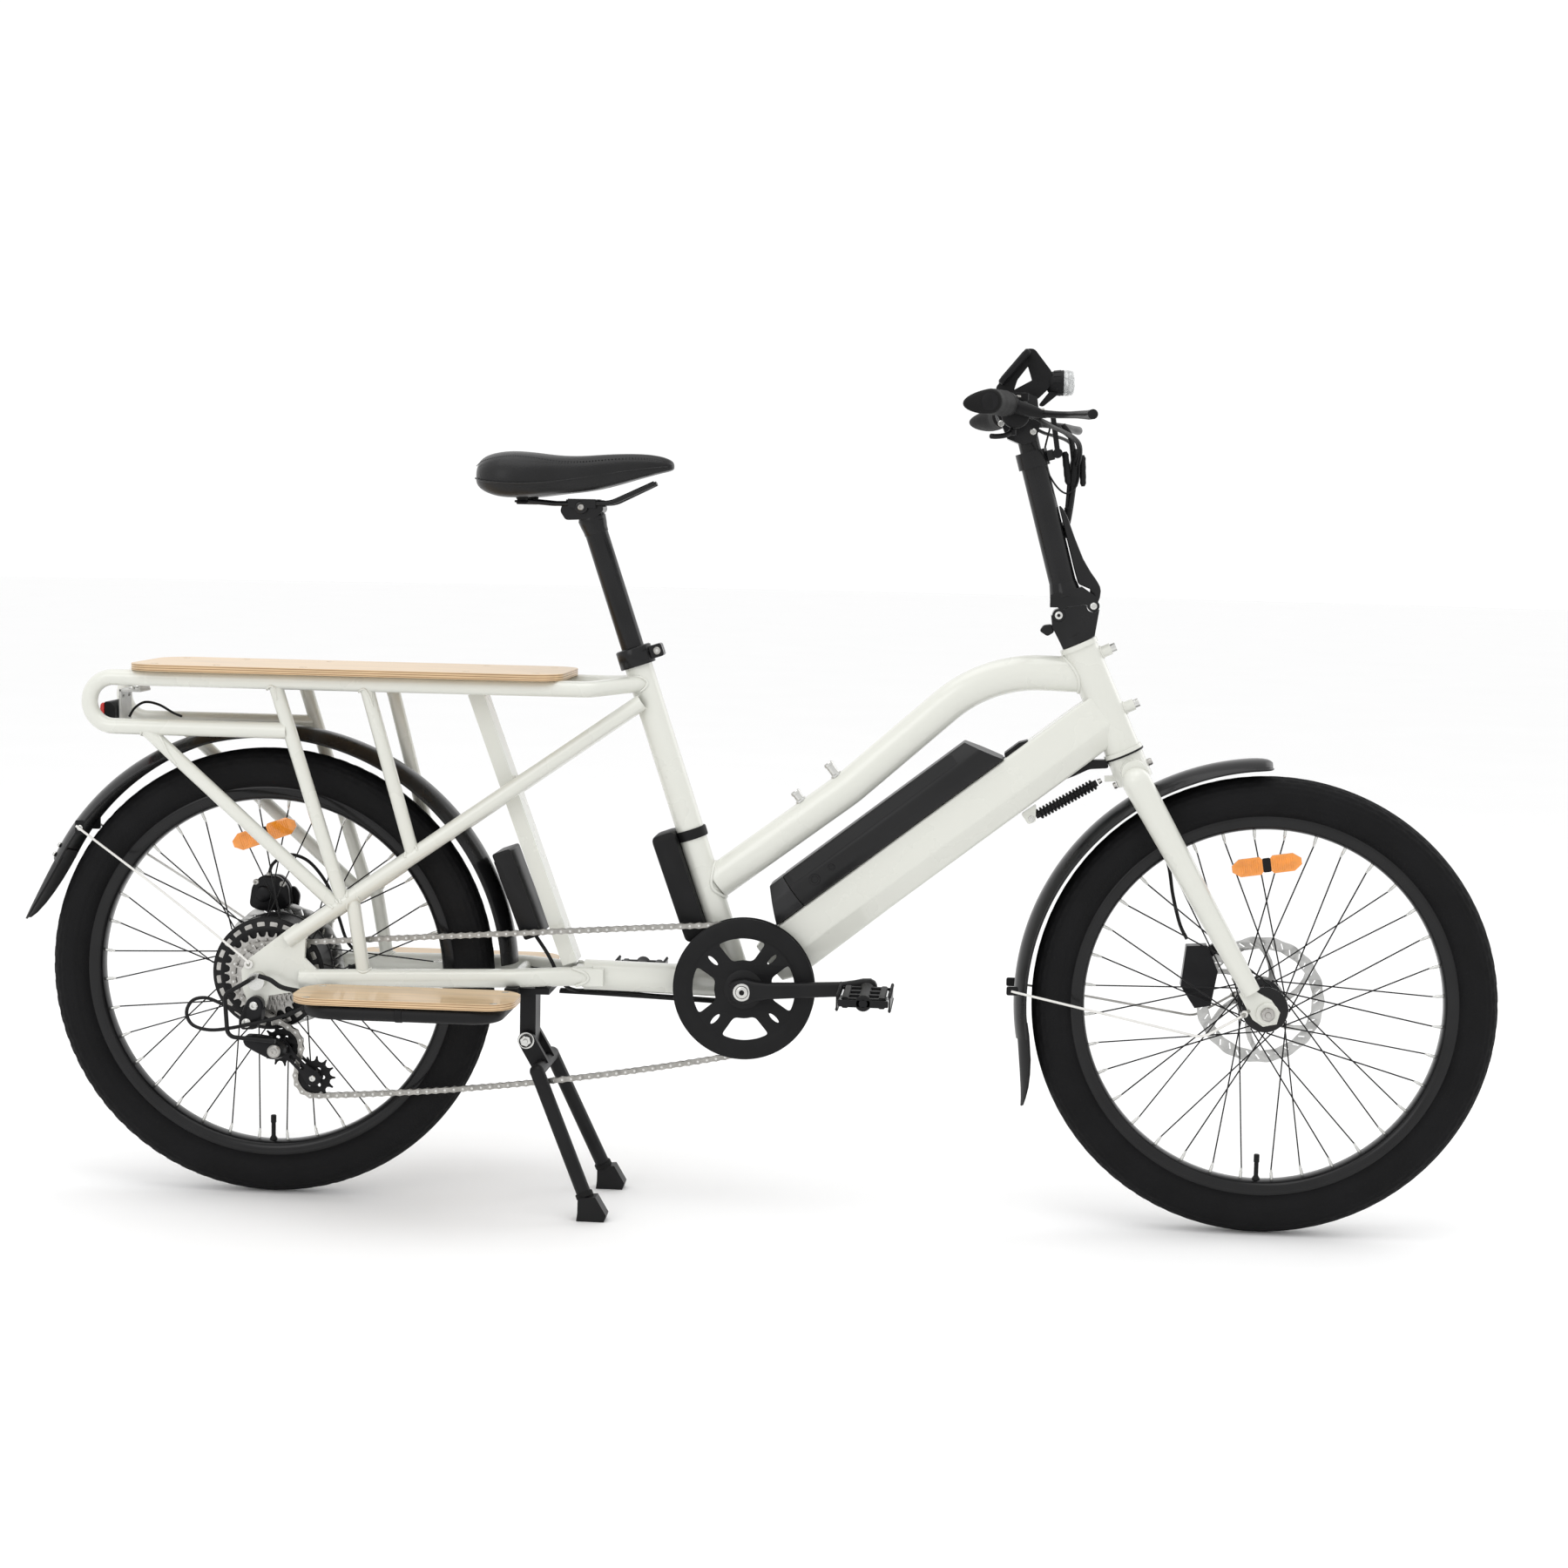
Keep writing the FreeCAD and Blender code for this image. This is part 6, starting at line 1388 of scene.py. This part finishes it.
def damper():
    """The steering damper: a coil spring between two small eyes."""
    start, end = Vector((1056, 0, 563.4)), Vector((1137, 0, 611.2))
    ahead = (end - start).normalized()
    side = Vector((0, 1, 0))
    up = ahead.cross(side)
    coil = []
    turns, steps = 17, 18
    for k in range(turns * steps + 1):
        angle = math.tau * k / steps
        t = k / (turns * steps)
        out = (side * math.cos(angle) + up * math.sin(angle)) * 6.6
        coil.append(start + (end - start) * (0.04 + 0.92 * t) + out)
    spring = Shape().tube(coil, 1.55, 8)
    spring.tube([start, end], 4.6, 12)
    spring.done("damper_coil", "black_satin", "spring_steel", "frame", ["damper_spring"])
    eyes = Shape()
    for place, way in ((start - ahead * 2, -1), (end + ahead * 2, 1)):
        eyes.rod(place, place + ahead * way * 5, 4.2, 3.2, 16)
    eyes.spin(start - ahead * 7 + Vector((0, -4, 0)), (0, 1, 0), [(2.4, 0), (5.2, 0), (5.2, 8), (2.4, 8)],
              20)
    eyes.bolt(start - ahead * 7 + Vector((0, -4, 0)), (0, -1, 0), 4.6, 3, hexagon=True)
    eyes.done("damper_eyes", "silver", "steel", "frame", bevel=0.3)
    bracket = Shape()
    bracket.plate(rounded([(1036, 566), (1056, 580), (1056, 556), (1046, 552)], 3), -6, 6)
    bracket.done("damper_lug", "ivory", "ivory_paint", "frame", bevel=0.6)
    limiter = Shape()
    limiter.plate(rounded([(1086, 612), (1098, 622), (1128, 642), (1150, 643), (1152, 632), (1126, 630),
                           (1106, 620)], 4), -9, 9)
    limiter.done("steering_limiter", "black_satin", "black_metal", "frame", bevel=0.8)
    line = Shape()
    axis = (at(HEAD_TOP) - at(HEAD_BOTTOM)).normalized()
    line.spin(at(on_head(0.2)), axis,
              [(20, -0.6), (27.1, -0.6), (27.5, 0), (27.5, 1.6), (27.1, 2.2), (20, 2.2)], 64)
    line.done("headset_seal", "black_satin", "black_metal", "frame")


def fork_parts():
    """Nuts, stay wires and the brake hose that ride on the fork."""
    stays = Shape()
    for side in (-1, 1):
        stays.tube(route([(1029.7, side * 36.5, 327), (1285, side * 78, 281), (1336, side * 79, 312)], 30),
                   1.7, 10)
        stays.bolt((1340, side * 72, 314), (0, side, 0), 4.6, 3.4)
    stays.done("front_fender_stays", "wire_white", "steel", "fork")
    clips = Shape()
    for side in (-1, 1):
        clips.box((1031, side * 35.4, 327.4), (16, 3.4, 12), 3)
    clips.done("front_stay_clips", "black_plastic", "black_plastic", "fork", bevel=0.5)
    rings = Shape()
    for side in (-1, 1):
        rings.spin(at(FRONT), (0, side, 0),
                   [(9.2, 62.6), (14.5, 62.6), (15.4, 63.6), (15.4, 65.4), (14.5, 66.4), (9.2, 66.4)], 48)
    rings.done("dropout_rings", "ivory", "ivory_paint", "fork")
    nuts = Shape()
    for side in (-1, 1):
        nuts.bolt(at(FRONT, side * 66.2), (0, side, 0), 9.6, 7.5, hexagon=True)
        nuts.spin(at(FRONT), (0, side, 0),
                  [(4.6, 50.6), (12, 50.6), (13, 52), (13, 55.4), (12, 56.8), (4.6, 56.8)], 40)
    nuts.done("front_nuts", "zinc", "steel", "fork", bevel=0.3)
    hose = Shape()
    hose.tube(smooth_path([(1270, 58, 392), (1260, 66, 412), (1250, 76, 450), (1243, 82, 490),
                           (1228, 84, 535),
                           (1210, 81, 566), (1194, 66, 600), (1180, 44, 626)]), 2.5, 10)
    hose.done("front_hose", "cable", "cable_black", "fork")
    bolt = Shape()
    bolt.bolt(at(on_head(-22, 25)), (0.9, 0, 0.42), 5.0, 6.0)
    bolt.bolt(at(on_head(-34, -26)), (-0.9, 0, -0.42), 4.6, 4.0)
    bolt.done("crown_bolt", "zinc", "steel", "fork")


def stem_parts():
    """Fasteners and cast ribs of the folding joint."""
    pins = Shape()
    for side in (-1, 1):
        pins.bolt(at(FOLD_PIN, side * 20.2), (0, side, 0), 5.2, 2.6)
    pins.done("fold_pin_caps", "silver", "steel", "fork")
    caps = Shape()
    for side in (-1, 1):
        caps.bolt(at(LATCH_PIN, side * 20.6), (0, side, 0), 4.6, 2.2)
    caps.done("latch_pin_caps", "silver", "steel", "latch")
    blade = Shape()
    rings = []
    for height, inner, outer, half in ((-13, 31, 39, 6.4), (-6, 30, 44, 6.4), (2, 32, 47, 8.4),
                                       (8, 33.5, 47.4, 9.4),
                                       (13, 27, 46.2, 9.5), (17, 21.6, 45, 9.4), (20, 19.8, 44.0, 9.4),
                                       (30, 19.2, 40, 9.2),
                                       (40, 19, 37, 9), (50, 19, 34.2, 9), (80, 19, 30, 8.6),
                                       (110, 19, 27, 8),
                                       (121, 19, 24, 7.2), (126, 19.2, 21.4, 6)):
        corners = rounded([(inner, -half), (outer, -half * 0.8), (outer, half * 0.8), (inner, half)],
                          min(3.0, (outer - inner) * 0.3), 3)
        rings.append([at(on_post(height, ahead), y) for ahead, y in corners])
    blade.loft(rings)
    blade.spin(at(LATCH_PIN), (0, 1, 0),
               [(3.6, -11.5), (7.4, -11.5), (8, -10.9), (8, 10.9), (7.4, 11.5), (3.6, 11.5)], 40)
    blade.done("latch_blade", "black_gloss", "black_paint", "latch", ["post_latch"], angle=35)
    collar = Shape()
    up = Vector((-POST_LEAN, 0, 1)).normalized()
    collar.spin(at(on_post(14)), up,
                [(18.2, -8), (21, -7), (21.6, -4), (20.6, 0), (19, 8), (18.3, 12), (18.1, 12)], 56)
    collar.done("post_root", "black_gloss", "black_paint", "post")
    Shape().layers(rounded([(1053, 815), (1058, 823), (1069, 824.5), (1073, 814), (1064, 808)], 3),
                   (1063, 816),
               ((-11, 1), (-8, 1), (8, 1), (11, 1))).done("safety_tab", "black_gloss", "black_paint",
                                                          "fork", bevel=1.4)


def seat_parts():
    """The saddle with its piping and bumpers, the post's head and the seat clamp's cover."""
    saddle()
    head = Shape()
    up = Vector((-SEAT_LEAN, 0, 1)).normalized()
    head.spin(at(on_seat(188)), up,
              [(15.9, 0), (16.6, 1), (16.8, 6), (18.4, 14), (19.4, 22), (17.0, 27), (0, 27)], 48,
              closed=False)
    cradle = rounded([(400, 962), (408, 950), (446, 952), (460, 964), (458, 974), (404, 973)], 4)
    head.plate(cradle, -19, 19)
    for side in (-1, 1):
        head.spin((430, side * 26.6, 968), (0, side, 0), [(0, 1.2), (7.6, 1.0), (9, 0), (9, -6), (0, -6)],
                  32, closed=False)
    head.done("post_head", "black_gloss", "black_metal", "seat", bevel=0.8)
    Shape().bolt((430, -27.6, 968), (0, -1, 0), 4.2, 2.6).done("saddle_clamp_bolt", "zinc", "steel", "seat")
    ring = Shape()
    ring.spin(at(on_seat(0)), up, [(19.3, -0.6), (24.2, -0.6), (24.8, 0.2), (24.8, 23.8), (24.2, 24.6),
                                   (22.6, 25.6),
                                   (16.2, 26.0), (16.2, 24)], 64)
    lug = rounded([(20, 3), (40, 3), (40, 21), (20, 21)], 4)
    for low, high in ((-11, -1.2), (1.2, 11)):
        ring.plate([on_seat(height, ahead) for ahead, height in lug], low, high)
    ring.done("clamp_band", "black_gloss", "black_metal", "frame", bevel=0.5)
    Shape().bolt(at(on_seat(12, 32), -10.8), (0, -1, 0), 5.2, 3.6).done("clamp_nut", "zinc", "steel",
            "frame")


def saddle():
    """A padded saddle: wide wings, a narrow nose, a shallow dip and rounded edges."""
    stations = [  # x, half width, top z, rim z, bottom z, crown
        (287, 30, 1019, 1004, 999, 4), (291, 56, 1028, 1003, 992, 6), (302, 72, 1036, 1000, 984, 7),
        (322, 84, 1041, 998, 978, 7), (345, 86.5, 1042.4, 997, 977, 6), (372, 80, 1040.5, 998, 980, 6),
        (400, 64, 1037, 1001, 984, 6), (430, 46, 1037, 1006, 987, 6), (462, 33, 1040.4, 1012, 993, 6),
        (498, 26, 1042, 1018, 1004, 5), (528, 22.5, 1041, 1022, 1013, 5), (546, 17, 1036, 1024, 1017, 4),
        (553.5, 9, 1030, 1024, 1020, 2)]
    shape = Shape()
    rings = []
    for x, half, top, edge, low, crown in stations:
        outline = [(0.0, top - crown * 0.5), (0.18, top - crown * 0.22), (0.42, top),
                   (0.66, top - crown * 0.4), (0.86, top - crown * 1.5),
                   (0.975, top - (top - edge) * 0.55), (1.0, edge + 1), (0.965, edge - 4), (0.86, low + 2),
                   (0.6, low + 1), (0.3, low + 2)]
        ring = [Vector((x, half * a, z)) for a, z in outline]
        ring.append(Vector((x, 0, low + 2)))
        ring += [Vector((x, -half * a, z)) for a, z in reversed(outline[1:])]
        rings.append(ring)
    shape.loft(rings)
    pad = shape.done("saddle_pad", "leather", "leather", "seat", ["saddle"], subdivide=2, angle=180)
    seams = Shape()
    for side in (-1, 1):
        line = smooth_path([(x, side * half * 0.992, edge + 0.5)
                            for x, half, top, edge, low, crown in stations[1:-1]], 6)
        seams.tube(line, 1.1, 8)
    seams.done("saddle_piping", "leather", "leather", "seat")
    stitches = Shape()
    for side in (-1, 1):
        line = smooth_path([(x, side * half * 0.875, top - crown * 1.42 + 0.5)
                            for x, half, top, edge, low, crown in stations[1:-1]], 16)
        for a, b in list(zip(line, line[1:]))[::2]:
            stitches.tube([a + (b - a) * 0.05, a + (b - a) * 0.8], 0.55, 6)
    stitches.done("saddle_stitches", "black_satin", "leather", "seat")
    base = Shape()
    for side in (-1, 1):
        base.spin((352, side * 40, 976), (0, 0, 1),
                  [(0, -6), (7, -6), (8.4, -3), (6.6, 0), (8.4, 3), (7, 6.4), (0, 6.4)], 28,
                  closed=False)
    base.done("saddle_bumpers", "grip", "grip_rubber", "seat")


# ---- Handlebar ---------------------------------------------------------------------------
def sleeve(shape, y_start, y_end, profile, steps=28):
    """Rings round the bar from one y to another; profile holds (share, radius, back, drop)."""
    rings = []
    direction = (bar_point(y_end) - bar_point(y_start)).normalized()
    side = direction.cross(Vector((0, 0, 1))).normalized()
    other = side.cross(direction)
    for share, radius, back, drop in profile:
        middle = bar_point(y_start + (y_end - y_start) * share)
        ring = []
        for x, y in circle(1.0, steps):
            point = middle + (side * x + other * y) * radius
            if (side * x).x < 0:
                point += Vector((-back * abs(x) ** 1.5, 0, -drop * abs(x)))
            ring.append(point)
        rings.append(ring)
    shape.loft(rings)


def handlebar():
    """The bar, its lever perches, the shifter's pod and the display in its loop."""
    bar = Shape()
    points = [bar_point(y) for y in (-331, -60, 60, 331)]
    bar.tube(route(points, 150, 12), 11.1, 28)
    x, z = on_post(BAR_HEIGHT)
    bar.spin((x, 0, z), (0, 1, 0), [(11.0, -44), (12.4, -43.6), (12.7, -43), (12.7, 43), (12.4, 43.6),
                                    (11.0, 44)], 40)
    bar.done("bar_tube", "black_anodised", "black_metal", "bar", ["handlebar"], angle=40)
    perch, steel = Shape(), Shape()
    for side in (-1, 1):
        sleeve(perch, side * 172, side * 192,
               [(0, 13, 0, 0), (0.06, 15, 0, 0), (0.94, 15, 0, 0), (1, 13, 0, 0)])
        root = bar_point(side * 180)
        perch.loft([[root + Vector((ahead, side * out + u * r, v * r - ahead * 0.27))
                     for u, v in circle(1.0, 16)]
                    for ahead, r, out in ((6, 9.5, 0), (18, 9, 0), (30, 8.2, 0), (40, 7, 1), (46, 4.5, 2))])
        perch.rod(root + Vector((20, -side * 4, -5)), root + Vector((34, -side * 44, -12)), 7.6, 6.0, 20)
        steel.bolt(root + Vector((44, 0, -7)), (0, 0, 1), 3.6, 2.4)
        steel.bolt(root + Vector((14, side * 3, 9)), (0, 0, 1), 3.0, 2.0)
    x, z = bar_point(-159).x, bar_point(-159).z
    perch.layers(turned(circle(18.6, 32), (x + 8, z - 12)), (x + 8, z - 12),
                 ((-149.6, 0.82), (-151, 0.95), (-153, 1.0), (-165, 1.0), (-167.4, 0.94), (-168.8, 0.8)))
    perch.loft([[Vector((x + 8 + a, -159 + b, z + c))
                 for a, b in rounded([(-12, -7), (16, -7), (16, 7), (-12, 7)], 4)]
                for c in (5, 13, 14.5)])
    perch.done("bar_controls", "black_plastic", "black_plastic", "bar", bevel=0.5)
    steel.done("control_bolts", "zinc", "steel", "bar")
    x, z = on_post(BAR_HEIGHT)
    screen = Shape()
    tilt = math.degrees(math.atan2(46, 38))

    def tilted(a, b, c):
        point = turned([(a, b)], (x - 9, z + 53), tilt)[0]
        return Vector((point[0], c, point[1]))

    outline = block_outline(29, 35, 7)
    screen.loft([[tilted(u * s, h, v * s) for u, v in outline]
                 for h, s in ((-4.6, 0.9), (-2.5, 1.0), (2.5, 1.0), (4.6, 0.94))])
    loop = rounded([(x - 33, z + 25), (x + 6, z + 77), (x + 16, z + 77), (x + 40, z + 47), (x + 37, z + 28),
                    (x + 22, z + 13), (x - 20, z + 9)], 4)
    opening = rounded([(x - 11, z + 21), (x - 6, z + 38), (x + 9, z + 58), (x + 16, z + 36)], 2.5)
    screen.sheet(loop, [opening], flat(0), 26.0, 1.2)
    screen.plate(rounded([(x + 38, z + 48), (x + 40, z + 40), (x + 8, z + 12), (x - 4, z + 15)], 3), 26.5,
                 37.5)
    screen.plate(rounded([(x + 27, z + 50), (x + 39, z + 50), (x + 39, z + 39), (x + 27, z + 39)], 3), -12,
                 38)
    screen.spin((x, 32, z), (0, 1, 0), [(12.8, -6), (17, -6), (17.6, -5), (17.6, 5), (17, 6), (12.8, 6)],
                36)
    screen.done("display_housing", "black_plastic", "black_plastic", "bar", bevel=0.6)
    glass_face = Shape()
    glass_face.loft([[tilted(u, h, v) for u, v in block_outline(23, 30, 4)]
                     for h in (4.4, 5.1)])
    glass_face.done("display_glass", "display", "gloss_plastic", "bar", bevel=0.2)
    clamp = Shape()
    clamp.bolt((x - 25, -24.2, z - 22), (0, -1, 0), 4.2, 2.6)
    clamp.bolt((x + 18, -24.2, z - 32), (0, -1, 0), 4.2, 2.6)
    clamp.done("clamp_bolts", "silver", "steel", "bar")


def grips():
    """Ribbed grips that flare towards their ends."""
    rubber, ends = Shape(), Shape()
    for side in (-1, 1):
        profile = [(0.0, 14.0, 0, 0), (0.015, 16.4, 0, 0), (0.05, 16.6, 0, 0)]
        for k in range(26):
            share = 0.07 + 0.033 * k
            flare = max(0.0, (share - 0.40) / 0.6)
            ripple = 0.5 if k % 2 else -0.2
            profile.append((share, 15.6 + ripple * (share < 0.75),
                            17.5 * math.sin(math.pi * 0.5 * flare) ** 1.3, 3.0 * flare))
        profile += [(0.955, 15.4, 17.8, 3), (0.985, 14.6, 16, 3), (1.0, 12.2, 12, 2.4)]
        sleeve(rubber, side * 206, side * 330.5, profile, 36)
        ends.spin(bar_point(side * 329), (0, side, 0),
                  [(0, 2.6), (8.5, 2.6), (9.8, 1.8), (10.2, 0), (10.2, -3)], 32, closed=False)
    rubber.done("grip_sleeves", "grip", "grip_rubber", "bar", ["grips"], angle=60)
    ends.done("bar_ends", "black_plastic", "black_plastic", "bar")


def levers():
    """Both brake levers and the shifter's paddle."""
    for side, name in ((-1, "right"), (1, "left")):
        pivot = bar_point(side * 180) + Vector((44, 0, -12))
        path = smooth_path([pivot + Vector(p)
                            for p in ((-3, -side * 5, 0), (6, side * 4, 0), (20, side * 15, -1),
                           (34, side * 30, -1.5), (42, side * 52, -2), (49, side * 80, -3),
                           (56, side * 106, -4),
                           (60, side * 124, -4), (60.5, side * 130, -4))], 5)
        last = len(path) - 1
        radii = [5.4 - 1.3 * math.sin(math.pi * min(1, k / last * 1.3)) + 0.9 * (k / last)
                 for k in range(last + 1)]
        radii[0], radii[-1] = 3.0, 2.6
        lever = Shape().tube(path, radii, 16)
        lever.spin(pivot, (0, 0, 1), [(0, -5), (6, -5), (6.6, -4), (6.6, 4), (6, 5), (0, 5)], 28,
                   closed=False)
        lever.done("lever_" + name, "black_anodised", "black_metal", "brake_" + name[0],
                   ["brake_lever_" + name], angle=50)
    start = bar_point(-158) + Vector((4, 0, -31.6))
    thumb = Shape()
    thumb.tube(smooth_path([start + Vector(p)
                            for p in ((0, 0, 0), (-3, -4, -5), (-10, -13, -8.5), (-20, -21, -10),
                                      (-27, -27, -10))]),
               3.4, 14)
    thumb.rod(start + Vector((0, 0, -7.6)), start + Vector((0, 0, -0.6)), 5.0)
    thumb.done("shift_paddle", "black_plastic", "black_plastic", "shifter", ["shifter_lever"], bevel=0.5)


def headlight():
    """A round lamp: its shell, bowl and lens."""
    x, z = on_post(BAR_HEIGHT)
    shell, lens, bowl = Shape(), Shape(), Shape()
    shell.spin((x + 34, 0, z + 34), (1, 0, 0),
               [(0, 0), (9, 0.4), (12.5, 2.2), (14.8, 6), (15.8, 12), (16.8, 19),
                                                (17.1, 22.4), (16.4, 23.4), (15.4, 22.6), (15.4, 16)], 56,
                                                closed=False)
    for k in range(12):
        angle = math.tau * k / 12
        a, b = Vector((0, math.cos(angle), math.sin(angle))), 16.0
        shell.tube([Vector((x + 43, 0, z + 34)) + a * (b - 0.6),
                    Vector((x + 53, 0, z + 34)) + a * (b + 0.5)], 0.9, 6)
    shell.plate(rounded([(x + 24, z + 4), (x + 30, z + 2), (x + 50, z + 19), (x + 46, z + 24),
                         (x + 38, z + 22)], 3), -8, 8)
    shell.done("lamp_shell", "black_plastic", "black_plastic", "bar", ["headlight"], angle=35, bevel=0.2)
    bowl.spin((x + 48, 0, z + 34), (1, 0, 0), [(0, 2), (4, 2.5), (9, 5.0), (13, 9), (15.6, 15.8)], 40,
              closed=False)
    bowl.spin((x + 50, 0, z + 34), (1, 0, 0), [(0, 12), (2.6, 11), (3.4, 7), (3.4, 0)], 20, closed=False)
    bowl.done("lamp_bowl", "reflector_bowl", "clear_lens", "bar", angle=60)
    lens.spin((x + 56, 0, z + 34), (1, 0, 0),
              [(15.6, 0), (17.0, 1), (17.3, 5), (16.8, 10.5), (15.4, 13.4), (12, 15),
                                              (6, 15.8), (0, 16)], 56, closed=False)
    lens.done("lamp_lens", "clear_lens", "clear_lens", "bar", angle=60)


def front_cables():
    """Hoses and leads from the controls, gathered in front of the post, and their wraps."""
    wires, wraps = Shape(), Shape()
    for y, offset, radius in ((-176, 3, 2.4), (-150, 6, 2.2), (176, -3, 2.4), (60, 0, 2.0)):
        start = bar_point(y, 24, -10)
        side = math.copysign(1, y)
        wires.tube(smooth_path([start, start + Vector((26, -side * 14, -14)),
                                (1092 + offset, side * 34 + 6, 1066), (1090 + offset, 22 + offset, 1020),
                                (1085 + offset * 0.6, 18 + offset * 0.5, 960),
                                (1076, 24 + offset * 0.5, 915), (1082, 32, 884)], 10), radius, 10)
    wires.tube(smooth_path([(1060, 14, 1092), (1052, -6, 1046), (1066, -6, 1014), (1084, 10, 1000),
                            (1098, 14, 1014), (1100, 14, 1046)], 10), 1.3, 8)
    wires.tube(smooth_path([(1076, 20, 1092), (1088, 20, 1072), (1093, 18, 1020), (1085, 16, 960),
                            (1074, 24, 915), (1084, 34, 880)], 12),
               3.9, 14)
    wires.done("control_cables", "cable", "cable_black", "bar", ["front_cables"])
    for low, high, r in (((1096, 19, 1060), (1092, 19, 1006), 6.4),
                         ((1080, 14, 1056), (1086, 15, 1012), 4.6),
                         ((1104, 22, 1052), (1106, 20, 1010), 4.2),
                         ((1088, 17, 984), (1082, 17, 940), 5.6)):
        low, high = Vector(low), Vector(high)
        path = [low.lerp(high, k / 10) for k in range(11)]
        radii = [r * (0.55 if k in (0, 10) else 1.0 + 0.06 * math.sin(k * 2.1)) for k in range(11)]
        wraps.tube(path, radii, 14)
    wraps.done("cable_wraps", "black_plastic", "cable_black", "bar")


def stand_parts():
    """The stand's feet and pivot nuts, and the bands of the foot rests."""
    feet = Shape()
    for side in (-1, 1):
        middle = Vector((461, side * 87, 24))
        outline = rounded([(449.5, 31), (449, 1), (486, 0.6), (488, 9), (474, 33)], 4)
        feet.layers(outline, (468, 16), [(side * 88 + y, 1) for y in (-11.6, -10, 10, 11.6)])
        feet.spin(middle, (at(STAND_BAR, side * 60) - middle).normalized(),
                  [(10, 6), (12.2, 7), (12.2, 14), (10, 15)], 28)
    feet.done("stand_feet", "grip", "grip_rubber", "stand", bevel=1.0)
    bolt = Shape()
    for side in (-1, 1):
        bolt.spin(at(STAND_PIVOT, side * 29.4), (0, side, 0), [(5, 0), (11.4, 0), (11.4, 1.6), (5, 1.6)],
                  36)
        bolt.bolt(at(STAND_PIVOT, side * 31), (0, side, 0), 8.2, 5.6, hexagon=True)
    bolt.done("stand_bolt", "silver", "steel", "frame")
    bands = Shape()
    for side in (-1, 1):
        bands.spin((225, side * 202, 297), (1, 0, 0), [(10, -5), (10.9, -4.4), (10.9, 4.4), (10, 5)], 32)
    bands.done("footrest_bands", "black_plastic", "black_plastic", "frame")


# ---- Camera and light ----------------------------------------------------------------------
def camera():
    """The view from the drive side."""
    data = bpy.data.cameras.new("camera")
    data.sensor_width, data.lens = 36.0, 60.341
    data.clip_end = 60.0
    holder = bpy.data.objects.new("camera", data)
    bpy.context.scene.collection.objects.link(holder)
    yaw, pitch, roll = -0.0797, 0.1026, -0.0213
    ahead = Vector((math.sin(yaw) * math.cos(pitch), math.cos(yaw) * math.cos(pitch), -math.sin(pitch)))
    right = Vector((math.cos(yaw), -math.sin(yaw), 0))
    down = ahead.cross(right)
    x_axis = right * math.cos(roll) + down * math.sin(roll)
    y_axis = right * math.sin(roll) - down * math.cos(roll)
    turn = Matrix((x_axis, y_axis, -ahead)).transposed().to_4x4()
    holder.matrix_world = Matrix.Translation((0.33223, -3.56821, 0.96537)) @ turn
    bpy.context.scene.camera = holder


def area_light(name, place, aim, size, power):
    """A rectangular light that faces a point; sizes are in metres."""
    data = bpy.data.lights.new(name, "AREA")
    data.shape, data.size, data.size_y = "RECTANGLE", size[0], size[1]
    data.energy = power
    holder = bpy.data.objects.new(name, data)
    bpy.context.scene.collection.objects.link(holder)
    holder.location = place
    holder.rotation_euler = (Vector(aim) - Vector(place)).to_track_quat("-Z", "Y").to_euler()


def studio():
    """A pale floor, an even sky and three soft lights."""
    mesh = bpy.data.meshes.new("floor")
    outline = [(x, y, -0.0005) for x, y in circle(FLOOR_RADIUS, 96)]
    mesh.from_pydata(outline, [], [tuple(range(96))])
    floor = bpy.data.objects.new("floor", mesh)
    mesh.materials.append(MATERIALS["floor"])
    bpy.context.scene.collection.objects.link(floor)
    world = bpy.data.worlds.new("studio")
    world.use_nodes = True
    world.node_tree.nodes["Background"].inputs["Color"].default_value = (1.0, 1.0, 1.0, 1)
    world.node_tree.nodes["Background"].inputs["Strength"].default_value = 1.05
    bpy.context.scene.world = world
    bpy.context.scene.view_settings.view_transform = "Standard"
    area_light("overhead", (-0.3, -0.6, 3.6), (0, 0, 0.4), (3.2, 2.4), 34)
    area_light("front", (-2.4, -3.8, 2.6), (0, 0, 0.5), (2.0, 2.0), 20)
    area_light("edge", (2.8, 1.8, 2.2), (0.2, 0, 0.6), (1.6, 2.4), 14)


finish_kept()
wheels()
chain()
chainset()
pedals()
cassette()
derailleur()
welds()
down_tube()
battery()
electronics()
guards()
rear_brake()
tail_light()
cables()
damper()
fork_parts()
stem_parts()
seat_parts()
handlebar()
grips()
levers()
headlight()
front_cables()
stand_parts()
camera()
studio()
